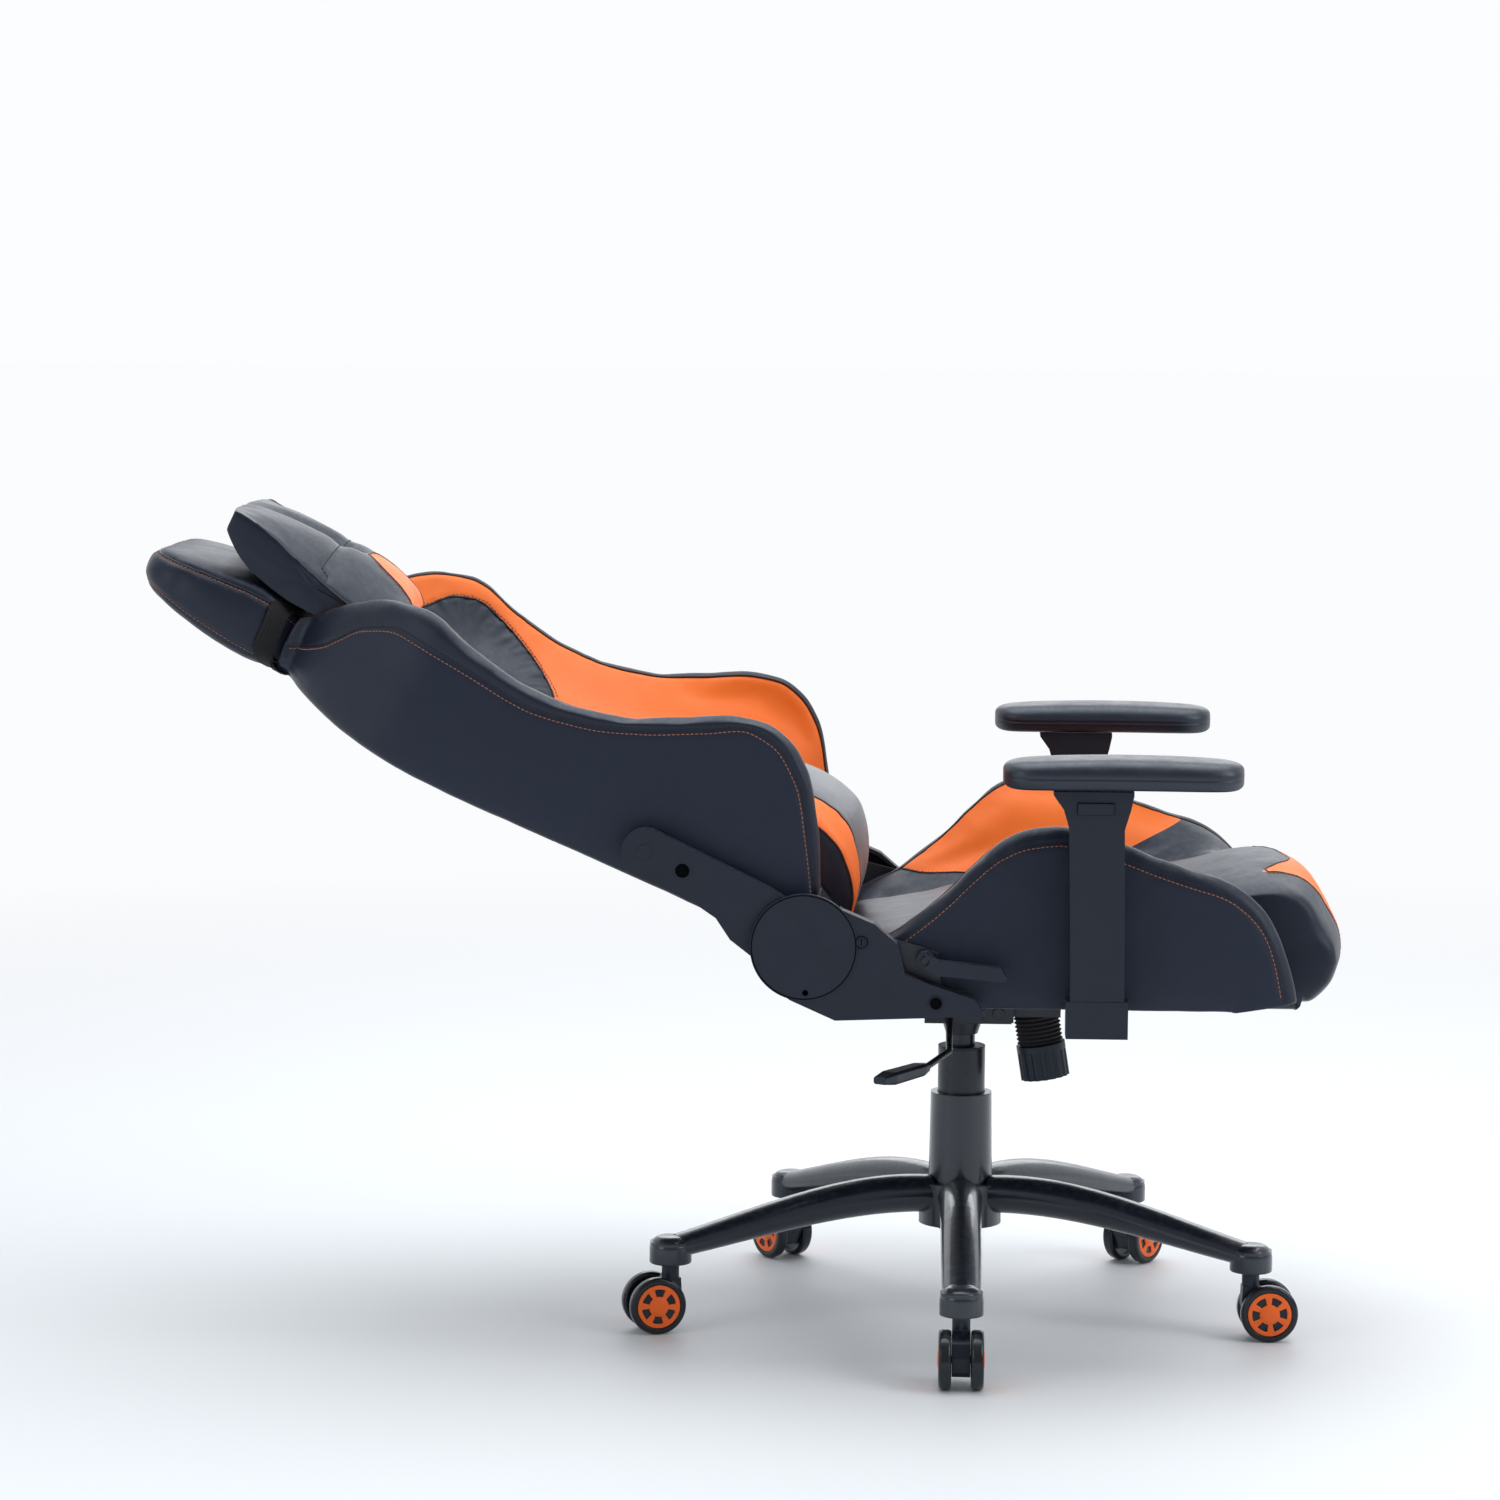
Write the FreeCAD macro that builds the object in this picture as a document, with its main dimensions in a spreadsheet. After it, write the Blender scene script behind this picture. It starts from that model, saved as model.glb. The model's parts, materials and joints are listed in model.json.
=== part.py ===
import FreeCAD, Part
import math
import os
import re

import Sketcher
from FreeCAD import Placement, Rotation, Vector

# A reclined racing-style gaming chair, in millimetres.
# Frame: +X is the way the sitter faces, +Y the sitter's left, +Z up.
# The origin lies on the floor under the axis of the gas lift.
# "Right" parts are on the -Y side; "left" parts are their mirror images.

doc = FreeCAD.newDocument("GamingChair")
sheet = doc.addObject("Spreadsheet::Sheet", "Sizes")

# Every row: alias, value, what it is.
SIZES = [
    # Five-star base
    ("leg_count", 5, "legs and casters"),
    ("stem_circle", 320, "radius of the circle through the caster stems"),
    ("hub_radius", 44, "outside of the hub"),
    ("hub_bottom", 100, "underside of the hub above the floor"),
    ("hub_top", 145, "top of the hub above the floor"),
    ("leg_start", 34.5, "inner end of a leg in the hub, clear of the lift cover"),
    ("leg_root_width", 47, "leg section inside the hub"),
    ("leg_root_height", 40, "leg section inside the hub"),
    ("leg_root_level", 132, "centre of the leg section inside the hub"),
    ("leg_neck_width", 44, "leg section where it leaves the hub"),
    ("leg_neck_at", 100, "distance of that section from the axis"),
    ("leg_mid_width", 42, "leg section half way out"),
    ("leg_mid_height", 34, "leg section half way out"),
    ("leg_mid_level", 114, "centre of the leg section half way out"),
    ("leg_mid_at", 209, "distance of that section from the axis"),
    ("leg_tip_width", 38, "leg section at the socket"),
    ("leg_tip_height", 24, "leg section at the socket"),
    ("leg_tip_level", 88, "centre of the leg section at the socket"),
    ("socket_radius", 21.5, "outside of a caster socket"),
    ("socket_bottom", 73, "mouth of a caster socket above the floor"),
    ("socket_top", 95, "rounded top of a caster socket above the floor"),
    # Casters
    ("stem_radius", 5.5, "caster stem"),
    ("stem_top", 104, "top of the stem in its socket"),
    ("stem_foot", 50, "bottom of the stem in the hood"),
    ("wheel_radius", 30, "caster wheel"),
    ("wheel_width", 13, "one wheel of the pair"),
    ("wheel_round", 3.5, "rounding of the tyre's edges"),
    ("wheel_trail", 18, "wheel axis behind the stem axis"),
    ("hood_width", 18.6, "web between the two wheels"),
    ("hood_gap", 0.5, "side clearance of a wheel, and of the hood under its socket"),
    ("axle_radius", 4, "caster axle"),
    ("neck_radius", 9.2, "hood's neck under the socket"),
    ("running_gap", 0.05, "radial clearance of every turning or sliding fit"),
    ("caster_turn_1", 0, "rest swivel of the front caster away from its leg"),
    ("caster_turn_2", 21, "rest swivel of the second caster"),
    ("caster_turn_3", 0, "rest swivel of the third caster"),
    ("caster_turn_4", 0, "rest swivel of the fourth caster"),
    ("caster_turn_5", 0, "rest swivel of the fifth caster"),
    # Gas lift
    ("lift_outer_radius", 25, "outer tube of the gas lift"),
    ("lift_wall", 2, "wall of the outer tube"),
    ("lift_bottom", 94, "lower end of the outer tube"),
    ("lift_outer_top", 289, "upper end of the outer tube"),
    ("lift_inner_radius", 14, "pressure tube that carries the seat"),
    ("lift_inner_wall", 3, "wall of the pressure tube"),
    ("lift_inner_top", 341, "upper end of the pressure tube"),
    ("lift_end_gap", 6, "space under the pressure tube at its lowest"),
    ("lift_gland", 8, "closed lower end of the pressure tube"),
    ("piston_radius", 5, "piston rod"),
    ("piston_head_at", 312, "underside of the piston head"),
    ("piston_head_thick", 15, "piston head"),
    ("clip_radius", 12, "retaining clip under the outer tube"),
    ("clip_thick", 2, "retaining clip"),
    ("bush_length", 88, "plastic guide in the outer tube"),
    ("bush_rim", 2, "rim of the guide over the tube's end"),
    ("cover_foot_radius", 34, "lift cover at the hub"),
    ("cover_head_radius", 32.5, "lift cover at its top"),
    ("cover_height", 96, "lift cover"),
    ("cover_wall", 2.5, "lift cover"),
    # Tilt mechanism
    ("housing_rear", -40, "rear of the mechanism housing"),
    ("housing_front", 52, "front of the mechanism housing"),
    ("housing_half_width", 39, "half width of the housing"),
    ("housing_bottom", 320, "underside of the housing"),
    ("housing_top", 342, "top of the housing"),
    ("cone_bottom", 304, "mouth of the cone that takes the gas lift"),
    ("cone_mouth_radius", 17, "cone at its mouth"),
    ("cone_root_radius", 22, "cone at the housing"),
    ("tilt_axis_x", 38, "tilt pin ahead of the lift axis"),
    ("tilt_axis_z", 332, "tilt pin above the floor"),
    ("tilt_pin_radius", 6, "tilt pin"),
    ("plate_bottom", 361, "underside of the seat's mounting plate"),
    ("plate_thick", 3, "steel of the mounting plate and its ears"),
    ("plate_rear", -75, "rear edge of the mounting plate"),
    ("plate_front", 108, "front edge of the mounting plate"),
    ("plate_half_width", 100, "half width of the mounting plate"),
    ("ear_gap", 2, "between the housing and an ear of the plate"),
    ("ear_half_length", 16, "ear either side of the tilt pin"),
    ("ear_depth", 10, "ear below the tilt pin"),
    ("shelf_front", 104, "front of the shelf that the spring pushes on"),
    ("shelf_thick", 12, "spring shelf"),
    ("shelf_drop", 4, "underside of the shelf below the spring's top centre"),
    ("shelf_half_width", 28, "half width of the spring shelf"),
    ("spring_x", 78, "tension spring's top centre ahead of the lift axis"),
    ("spring_top", 330, "tension spring's top above the floor"),
    ("spring_lean", 9, "lean of the tension bolt, foot forward"),
    ("spring_length", 36, "tension spring as adjusted"),
    ("spring_radius", 15.5, "mean radius of the tension spring"),
    ("spring_wire", 5, "wire of the tension spring"),
    ("spring_turns", 5, "turns of the tension spring"),
    ("boot_radius", 24.5, "ribs of the rubber boot"),
    ("boot_rib", 2.5, "depth of a rib"),
    ("boot_wall", 1.5, "rubber of the boot"),
    ("boot_ribs", 8, "ribs of the boot"),
    ("bolt_radius", 5, "tension bolt"),
    ("bolt_play", 6.5, "room round the tension bolt in the housing, for the tilt"),
    ("bolt_head_radius", 9, "head of the tension bolt"),
    ("bolt_head_thick", 5, "head of the tension bolt"),
    ("knob_radius", 26, "tension knob"),
    ("knob_length", 37, "tension knob"),
    ("knob_floor", 5, "closed end of the knob"),
    ("flute_radius", 3, "flutes round the knob"),
    ("flute_count", 18, "flutes round the knob"),
    # Lift lever
    ("lever_rod_radius", 3.5, "rod of the lift lever"),
    ("lever_root_x", -14, "lever's pivot"),
    ("lever_root_z", 329, "lever's pivot"),
    ("barrel_radius", 5, "cross barrel that the lever turns on"),
    ("barrel_length", 16, "cross barrel that the lever turns on"),
    ("barrel_inset", 8, "barrel's axis inside the housing's wall"),
    ("lever_elbow_y", 118, "first bend, out from the middle"),
    ("lever_elbow_drop", 25, "first bend, below the pivot"),
    ("lever_grip_x", -38, "start of the paddle"),
    ("lever_grip_y", 160, "start of the paddle, out from the middle"),
    ("lever_grip_drop", 35, "start of the paddle, below the pivot"),
    ("paddle_length", 94, "plastic paddle"),
    ("paddle_width", 20, "plastic paddle"),
    ("paddle_thick", 13, "plastic paddle"),
    ("paddle_turn", 30, "paddle's heading behind straight out"),
    # Seat
    ("frame_tube_radius", 11, "steel tube of the seat frame"),
    ("frame_tube_wall", 1.5, "wall of the steel tubes in the seat and the back"),
    ("frame_level", 378, "centre of the seat frame's tubes"),
    ("frame_half_width", "=seat_half_width - 57", "side tubes of the seat frame"),
    ("frame_rear", -62, "rear cross tube"),
    ("frame_front", 325, "front cross tube"),
    ("rail_thick", 6, "flat rails under the tubes"),
    ("rail_width", 22, "flat rails on the mounting plate"),
    ("foam_gap", 0.6, "between a steel tube and the foam round it"),
    ("seat_half_width", 262, "outside of the seat bolsters"),
    ("seat_panel_half_width", 160, "middle seat panel"),
    ("seam_gap", 0.5, "between neighbouring cushions"),
    ("seat_floor", 392, "underside of the middle cushion"),
    ("bolster_floor", 368, "underside of the bolsters"),
    ("seat_rear", -84, "rear edge of the middle cushion"),
    ("seat_rear_top", 402, "top of the cushion at its rear edge"),
    ("seat_dip", 452, "top of the cushion behind the middle"),
    ("seat_crest", 501, "top of the cushion's front roll"),
    ("seat_crest_at", 318, "front roll's crest ahead of the lift axis"),
    ("seat_nose", 402, "front of the cushion's roll"),
    ("seat_nose_level", 408, "height of the roll's foremost point"),
    ("seat_lip", 341, "lower edge of the front roll"),
    ("bolster_rear", -98, "rear end of a bolster"),
    ("bolster_rear_top", 436, "top of a bolster at its rear end"),
    ("bolster_crest", 556, "highest point of a bolster"),
    ("bolster_crest_at", 90, "that point ahead of the lift axis"),
    ("bolster_front", 338, "front end of a bolster"),
    ("bolster_front_top", 384, "top of a bolster at its front end"),
    ("bolster_brow", 480, "top of a bolster where its front drops"),
    ("bolster_brow_at", 296, "that point ahead of the lift axis"),
    ("bolster_ridge", 24, "width of a bolster's rounded ridge"),
    # Recliner
    ("pivot_x", -162, "recline axis"),
    ("pivot_z", 437, "recline axis"),
    ("recline", 64, "backrest's angle behind upright"),
    ("shaft_radius", 8, "cross shaft of the recliner"),
    ("side_gap", 2.5, "seat bolster to the recliner's plate"),
    ("recliner_plate_thick", 4, "steel plate on the seat"),
    ("bracket_gap", 1.5, "recliner plate to the back bracket"),
    ("bracket_thick", 14.5, "back bracket"),
    ("bracket_root_radius", 40, "back bracket round the shaft"),
    ("bracket_end_radius", 24, "rounded upper end of the back bracket"),
    ("bracket_reach", 185, "centre of that end above the pivot"),
    ("bracket_ahead", 14, "bracket's centre line ahead of the pivot"),
    ("bracket_bolt_low", 143, "lower bracket bolt above the pivot"),
    ("bracket_bolt_radius", 4, "bracket bolts"),
    ("disc_radius", 54, "round boss of the recliner cover"),
    ("disc_raise", 1.5, "boss above the cover's face"),
    ("shell_depth", 21, "recliner cover"),
    ("shell_wall", 3, "recliner cover"),
    ("shell_screw_radius", 5, "screw posts of the recliner cover"),
    ("lever_pivot_ahead", 122, "recline lever ahead of the recline axis"),
    ("lever_pivot_drop", 13, "recline lever below the recline axis"),
    ("lever_pin_radius", 4, "recline lever's pin"),
    ("lever_hub_radius", 9, "recline lever's hub"),
    ("lever_reach", 82, "recline lever's tip ahead of its pin"),
    ("lever_thick", 14, "recline lever"),
    # Backrest, measured up the back from the recline axis and forward of it
    ("back_tube_radius", 11, "steel tube of the back frame"),
    ("back_tube_ahead", 6, "back frame's tubes ahead of the axis"),
    ("back_tube_half_width", "=back_half_width - 26", "lower side tubes"),
    ("back_tube_foot", 32, "lowest cross tube"),
    ("back_tube_elbow", 455, "side tubes bend in above this"),
    ("neck_tube_half_width", 88, "side tubes in the headrest"),
    ("neck_tube_foot", 590, "side tubes run straight above this"),
    ("neck_tube_top", 730, "top cross tube"),
    ("neck_tube_ahead", 24, "top cross tube ahead of the axis"),
    ("boss_radius", 12, "threaded boss for a bracket bolt"),
    ("back_half_width", "=seat_half_width", "outside of the wings"),
    ("back_panel_half_width", 164, "middle back panel"),
    ("neck_half_width", 118, "middle back panel at the neck"),
    ("back_foot", 14, "lower edge of the back panel"),
    ("back_rear", -26, "rear face of the back"),
    ("back_face", 49, "front face of the back panel"),
    ("wing_foot", 10, "lower end of a wing"),
    ("wing_foot_depth", 54, "wing's front edge at its lower end"),
    ("hip_level", 125, "deepest point of a wing"),
    ("hip_depth", 181, "wing's front edge there"),
    ("waist_level", 360, "shallowest point of a wing"),
    ("waist_depth", 108, "wing's front edge there"),
    ("shoulder_level", 490, "shoulder of a wing"),
    ("shoulder_depth", 131, "wing's front edge there"),
    ("neck_level", "=head_foot - 8", "upper end of a wing"),
    ("neck_depth", 58, "wing's front edge there"),
    ("wing_ridge", 26, "width of a wing's rounded ridge"),
    ("head_foot", 608, "lower edge of the headrest"),
    ("head_half_width", 137, "headrest"),
    ("head_top", 779, "top of the headrest"),
    ("head_depth", 66, "front face of the headrest"),
    # Pillows
    ("lumbar_half_width", 150, "lumbar pillow"),
    ("lumbar_foot", -44, "lower edge of the lumbar pillow"),
    ("lumbar_top", 160, "upper edge of the lumbar pillow"),
    ("lumbar_depth", 131, "front of the lumbar pillow"),
    ("pillow_gap", 1, "between a pillow and what it lies on"),
    ("pillow_half_width", 130, "head pillow"),
    ("pillow_foot", 514, "lower edge of the head pillow"),
    ("pillow_top", 727, "upper edge of the head pillow"),
    ("pillow_depth", 128, "front of the head pillow"),
    ("pillow_rear", 71, "rear of the head pillow where it touches the headrest"),
    ("strap_width", 28, "elastic strap of the head pillow"),
    ("strap_thick", 1.6, "elastic strap"),
    ("strap_gap", 0.3, "between the strap and the head pillow"),
    ("strap_foot", "=head_foot + 4", "lower edge of the strap"),
    ("strap_rear", -14.3, "inside of the strap behind the neck"),
    # Arms
    ("arm_y", "=seat_half_width + 22", "arm's centre from the middle"),
    ("arm_x", 132, "arm's centre ahead of the lift axis"),
    ("arm_width", 30, "upright across the chair"),
    ("sleeve_length", 54, "upright along the chair"),
    ("sleeve_foot", 387, "lower end of the sliding sleeve"),
    ("sleeve_wall", 4, "sliding sleeve"),
    ("collar_length", 62, "collar that the sleeve rests on, along the chair"),
    ("collar_bottom", 349, "underside of the collar"),
    ("collar_gap", 0.4, "between the collar and the sleeve"),
    ("foot_thick", 9, "arm's foot under the seat"),
    ("foot_inner", 150, "inner end of the foot from the middle"),
    ("post_top", 540, "top of the post inside the sleeve"),
    ("post_gap", 0.3, "between the post and the sleeve"),
    ("arm_stroke", 70, "height adjustment of the arm"),
    ("head_flare_at", 560, "sleeve widens above this"),
    ("head_flare_length", 80, "top of the sleeve along the chair"),
    ("pad_floor", 598, "underside of the arm pad"),
    ("pad_rear", 35, "rear end of the arm pad"),
    ("pad_front", 276, "front end of the arm pad"),
    ("pad_width", 82, "arm pad"),
    ("pad_thick", 34, "arm pad"),
    ("pad_round", 12, "rounding of the pad's upper edge"),
    ("button_level", 581, "centre of the height button"),
    ("button_length", 36, "height button along the chair"),
    ("button_height", 11, "height button"),
    ("button_depth", 9, "height button across the chair"),
    ("button_proud", 3, "height button out of the sleeve"),
    ("button_gap", 0.3, "round the height button"),
    # Fasteners
    ("screw_radius", 3, "shank of the seat screws"),
    ("screw_head_radius", 6, "head of the seat screws"),
    ("screw_head_thick", 4, "head of the seat screws"),
    ("screw_grip", 14, "shank of the seat screws"),
]

for row, (alias, number, meaning) in enumerate(SIZES, start=1):
    sheet.set("A%d" % row, alias.replace("_", " "))
    sheet.set("B%d" % row, str(number))
    sheet.setAlias("B%d" % row, alias)
    sheet.set("C%d" % row, meaning)
doc.recompute()

ALIASES = sorted((alias for alias, number, meaning in SIZES), key=len, reverse=True)
WORD = re.compile(r"\b(%s)\b" % "|".join(ALIASES))


def size(alias):
    """A size read from the sheet."""
    return float(sheet.get(alias))


def bound(expression):
    """An expression with every alias written as a reference to the sheet."""
    return WORD.sub(r"Sizes.\1", str(expression))


def bind(obj, **properties):
    for name, expression in properties.items():
        obj.setExpression(name, bound(expression))
    return obj


def place(obj, at=("0", "0", "0"), turn=None, about=(0, 0, 1), base=Rotation()):
    """Put obj at a place bound to the sheet; turn is an angle bound to it too."""
    obj.Placement = Placement(Vector(), base)
    if turn is not None:
        obj.Placement = Placement(Vector(), Rotation(Vector(*about), 1))
        obj.setExpression(".Placement.Rotation.Angle", bound(turn))
    for letter, expression in zip("xyz", at):
        obj.setExpression(".Placement.Base." + letter, bound(expression))
    return obj


ALONG = {
    "Z": Rotation(),
    "X": Rotation(Vector(0, 1, 0), 90),
    "Y": Rotation(Vector(1, 0, 0), -90),
}


def named(kind, label):
    obj = doc.addObject(kind, label)
    obj.Label = label
    return obj


def box(label, length, width, height, at):
    obj = bind(named("Part::Box", label), Length=length, Width=width, Height=height)
    return place(obj, at)


def cylinder(label, radius, height, at=("0", "0", "0"), along="Z"):
    obj = bind(named("Part::Cylinder", label), Radius=radius, Height=height)
    return place(obj, at, base=ALONG[along])


def cone(label, low, high, height, at=("0", "0", "0")):
    obj = bind(named("Part::Cone", label), Radius1=low, Radius2=high, Height=height)
    return place(obj, at)


def fuse(label, shapes):
    obj = named("Part::MultiFuse", label)
    obj.Shapes = shapes
    return obj


def cut(label, base, tools):
    """base less every one of the tools."""
    obj = named("Part::Cut", label)
    obj.Base = base
    obj.Tool = tools[0] if len(tools) == 1 else fuse(label + "_tools", tools)
    return obj


def mirrored(label, source):
    """The left-hand part that mirrors a right-hand one."""
    obj = named("Part::Mirroring", label)
    obj.Source = source
    obj.Normal = Vector(0, 1, 0)
    return obj


def shaped(label, shape, placement=Placement()):
    """A free-form solid made by code that reads the sheet."""
    obj = named("Part::Feature", label)
    obj.Shape = shape
    obj.Placement = placement.multiply(shape.Placement)
    return obj


def new_body(label):
    obj = named("PartDesign::Body", label)
    return obj


def sketch_on(body, label, role, offset="0"):
    """A sketch on one of the body's own origin planes, moved along its normal."""
    sketch = body.newObject("Sketcher::SketchObject", label)
    plane = [item for item in body.Origin.OriginFeatures if item.Role == role][0]
    sketch.AttachmentSupport = [(plane, "")]
    sketch.MapMode = "FlatFace"
    sketch.setExpression(".AttachmentOffset.Base.z", bound(offset))
    return sketch


def polygon(sketch, points):
    """A closed outline whose corners are bound to the sheet."""
    count = len(points)
    first = sketch.GeometryCount
    start = []
    for index in range(count):
        angle = 2 * math.pi * index / count
        start.append(Vector(100 * math.cos(angle), 100 * math.sin(angle), 0))
    for index in range(count):
        line = Part.LineSegment(start[index], start[(index + 1) % count])
        sketch.addGeometry(line, False)
    for index in range(count):
        after = first + (index + 1) % count
        sketch.addConstraint(Sketcher.Constraint("Coincident", first + index, 2, after, 1))
    for index, corner in enumerate(points):
        for kind, guess, expression in zip(("DistanceX", "DistanceY"), start[index], corner):
            rule = Sketcher.Constraint(kind, -1, 1, first + index, 1, guess)
            number = sketch.addConstraint(rule)
            sketch.setExpression("Constraints[%d]" % number, bound(expression))


def circle(sketch, centre, radius):
    number = sketch.addGeometry(Part.Circle(Vector(10, 10, 0), Vector(0, 0, 1), 5), False)
    rules = [
        (Sketcher.Constraint("Radius", number, 5.0), radius),
        (Sketcher.Constraint("DistanceX", -1, 1, number, 3, 10.0), centre[0]),
        (Sketcher.Constraint("DistanceY", -1, 1, number, 3, 10.0), centre[1]),
    ]
    for rule, expression in rules:
        index = sketch.addConstraint(rule)
        sketch.setExpression("Constraints[%d]" % index, bound(expression))


def pad(body, label, sketch, length):
    feature = body.newObject("PartDesign::Pad", label)
    feature.Profile = sketch
    feature.setExpression("Length", bound(length))
    sketch.Visibility = False
    return feature


def pocket(body, label, sketch, length):
    """Cut against the sketch's normal, into the solid behind it."""
    feature = body.newObject("PartDesign::Pocket", label)
    feature.Profile = sketch
    feature.setExpression("Length", bound(length))
    return feature


def skin(sections, ruled=True):
    """A closed solid through polygons that all have the same number of corners."""
    wires = [Part.makePolygon(corners + corners[:1]) for corners in sections]
    return Part.makeLoft(wires, True, ruled)


def eased(low, high, share):
    """Half-cosine step from low to high."""
    return low + (high - low) * (1 - math.cos(math.pi * share)) / 2


parts = []


def keep(obj):
    parts.append(obj)
    return obj


# ---------------------------------------------------------------- star base

LEG_SECTIONS = [
    ("leg_start", "leg_root_width", "leg_root_height", "leg_root_level"),
    ("leg_neck_at", "leg_neck_width", "leg_root_height", "leg_root_level"),
    ("leg_mid_at", "leg_mid_width", "leg_mid_height", "leg_mid_level"),
    ("stem_circle", "leg_tip_width", "leg_tip_height", "leg_tip_level"),
]
FACING_OUT = Rotation(Vector(0, 1, 0), 90) * Rotation(Vector(0, 0, 1), 90)
LEG_ANGLES = ["-90 + %d * 360 / leg_count" % index for index in range(int(size("leg_count")))]
STEM_SPOTS = [
    ("stem_circle * cos(%s)" % angle, "stem_circle * sin(%s)" % angle) for angle in LEG_ANGLES
]

base_parts = [cylinder("hub_block", "hub_radius", "hub_top - hub_bottom", ("0", "0", "hub_bottom"))]
base_cuts = [cylinder("hub_bore", "lift_outer_radius", "hub_top", ("0", "0", "0"))]
stem_parts = []
for index, (angle, (stem_x, stem_y)) in enumerate(zip(LEG_ANGLES, STEM_SPOTS), start=1):
    sections = []
    for number, (at, width, height, level) in enumerate(LEG_SECTIONS, start=1):
        oval = named("Part::Ellipse", "leg_%d_section_%d" % (index, number))
        bind(oval, MajorRadius=width + " / 2", MinorRadius=height + " / 2")
        sections.append(place(oval, (at, "0", level), base=FACING_OUT))
    leg = named("Part::Loft", "leg_%d" % index)
    leg.Sections = sections
    leg.Solid = True
    leg.Ruled = False
    place(leg, turn=angle)
    socket_base = (stem_x, stem_y, "socket_bottom")
    socket = cylinder("socket_%d" % index, "socket_radius", "socket_top - socket_bottom", socket_base)
    base_parts += [leg, socket]
    stem_base = (stem_x, stem_y, "socket_bottom")
    hole = cylinder("stem_hole_%d" % index, "stem_radius", "stem_top - socket_bottom", stem_base)
    base_cuts.append(hole)
    stem_at = (stem_x, stem_y, "stem_foot")
    stem = cylinder("stem_%d" % index, "stem_radius", "stem_top - stem_foot", stem_at)
    stem_parts.append(stem)

keep(cut("star_base", fuse("base_block", base_parts), base_cuts))
stems = keep(named("Part::Compound", "caster_stems"))
stems.Links = stem_parts

# ---------------------------------------------------------------- casters

for index, (angle, (stem_x, stem_y)) in enumerate(zip(LEG_ANGLES, STEM_SPOTS), start=1):
    heading = "(%s) + caster_turn_%d" % (angle, index)
    spot = (stem_x, stem_y, "0")
    tag = "caster_%d_" % index
    neck_top = "socket_bottom - hood_gap"
    neck = cylinder(tag + "neck", "neck_radius", neck_top + " - wheel_radius", ("0", "0", "wheel_radius"))
    web_body = new_body(tag + "web")
    web = sketch_on(web_body, tag + "web_outline", "XZ_Plane", "-hood_width / 2")
    web_points = [
        ("-neck_radius", "wheel_radius * 1.9"),
        ("-neck_radius - 1", "wheel_radius * 1.2"),
        ("-2", "wheel_radius * 0.55"),
        ("wheel_trail", "wheel_radius * 0.4"),
        ("wheel_trail + 9", "wheel_radius * 0.6"),
        ("wheel_trail + 12", "wheel_radius * 1.1"),
        ("wheel_trail + 5", "wheel_radius * 1.55"),
        ("neck_radius", "wheel_radius * 1.9"),
    ]
    polygon(web, web_points)
    pad(web_body, tag + "web_pad", web, "hood_width")
    axle_half = "(hood_width / 2 + hood_gap + wheel_width - 2)"
    axle_at = ("wheel_trail", "-" + axle_half, "wheel_radius")
    axle = cylinder(tag + "axle", "axle_radius", "2 * " + axle_half, axle_at, "Y")
    block = fuse(tag + "block", [neck, web_body, axle])
    stem_bore_at = ("0", "0", "stem_foot - hood_gap")
    stem_bore = cylinder(tag + "stem_bore", "stem_radius + running_gap", "socket_bottom", stem_bore_at)
    hood = keep(cut(tag + "hood", block, [stem_bore]))
    place(hood, spot, turn=heading)
    for letter, side in (("a", -1), ("b", 1)):
        disc = cylinder(tag + "disc_" + letter, "wheel_radius", "wheel_width", along="Y")
        tyre = named("Part::Fillet", tag + "tyre_" + letter)
        tyre.Base = disc
        rounding = size("wheel_round")
        tyre.Edges = [(1, rounding, rounding), (3, rounding, rounding)]
        bore = cylinder(tag + "bore_" + letter, "axle_radius + running_gap", "wheel_width", along="Y")
        wheel_block = cut(tag + "turned_" + letter, tyre, [bore])
        shift = "hood_width / 2 + hood_gap" if side > 0 else "-hood_width / 2 - hood_gap - wheel_width"
        place(wheel_block, ("wheel_trail", shift, "wheel_radius"))
        wheel = keep(named("Part::Compound", tag + "wheel_" + letter))
        wheel.Links = [wheel_block]
        place(wheel, spot, turn=heading)

# ---------------------------------------------------------------- gas lift

tube = cylinder("lift_tube_blank", "lift_outer_radius", "lift_outer_top - lift_bottom", ("0", "0", "lift_bottom"))
tube_room = cylinder(
    "lift_tube_room", "lift_outer_radius - lift_wall", "lift_outer_top", ("0", "0", "lift_bottom + lift_wall")
)
rod_hole = cylinder("lift_rod_hole", "piston_radius + running_gap", "lift_outer_top")
keep(cut("lift_cylinder", tube, [tube_room, rod_hole]))

bush_at = ("0", "0", "lift_outer_top - bush_length")
bush = cylinder("bush_sleeve", "lift_outer_radius - lift_wall", "bush_length", bush_at)
rim = cylinder("bush_rim_ring", "lift_outer_radius", "bush_rim", ("0", "0", "lift_outer_top"))
bush_bore = cylinder("bush_bore", "lift_inner_radius + running_gap", "2 * lift_outer_top")
keep(cut("lift_bush", fuse("bush_block", [bush, rim]), [bush_bore]))

cover = cone("cover_blank", "cover_foot_radius", "cover_head_radius", "cover_height", ("0", "0", "hub_top"))
cover_room = cone(
    "cover_room",
    "cover_foot_radius - cover_wall",
    "cover_head_radius - cover_wall",
    "cover_height - cover_wall",
    ("0", "0", "hub_top"),
)
cover_hole = cylinder("cover_hole", "lift_outer_radius + hood_gap", "2 * lift_outer_top")
keep(cut("lift_cover", cover, [cover_room, cover_hole]))

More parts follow.
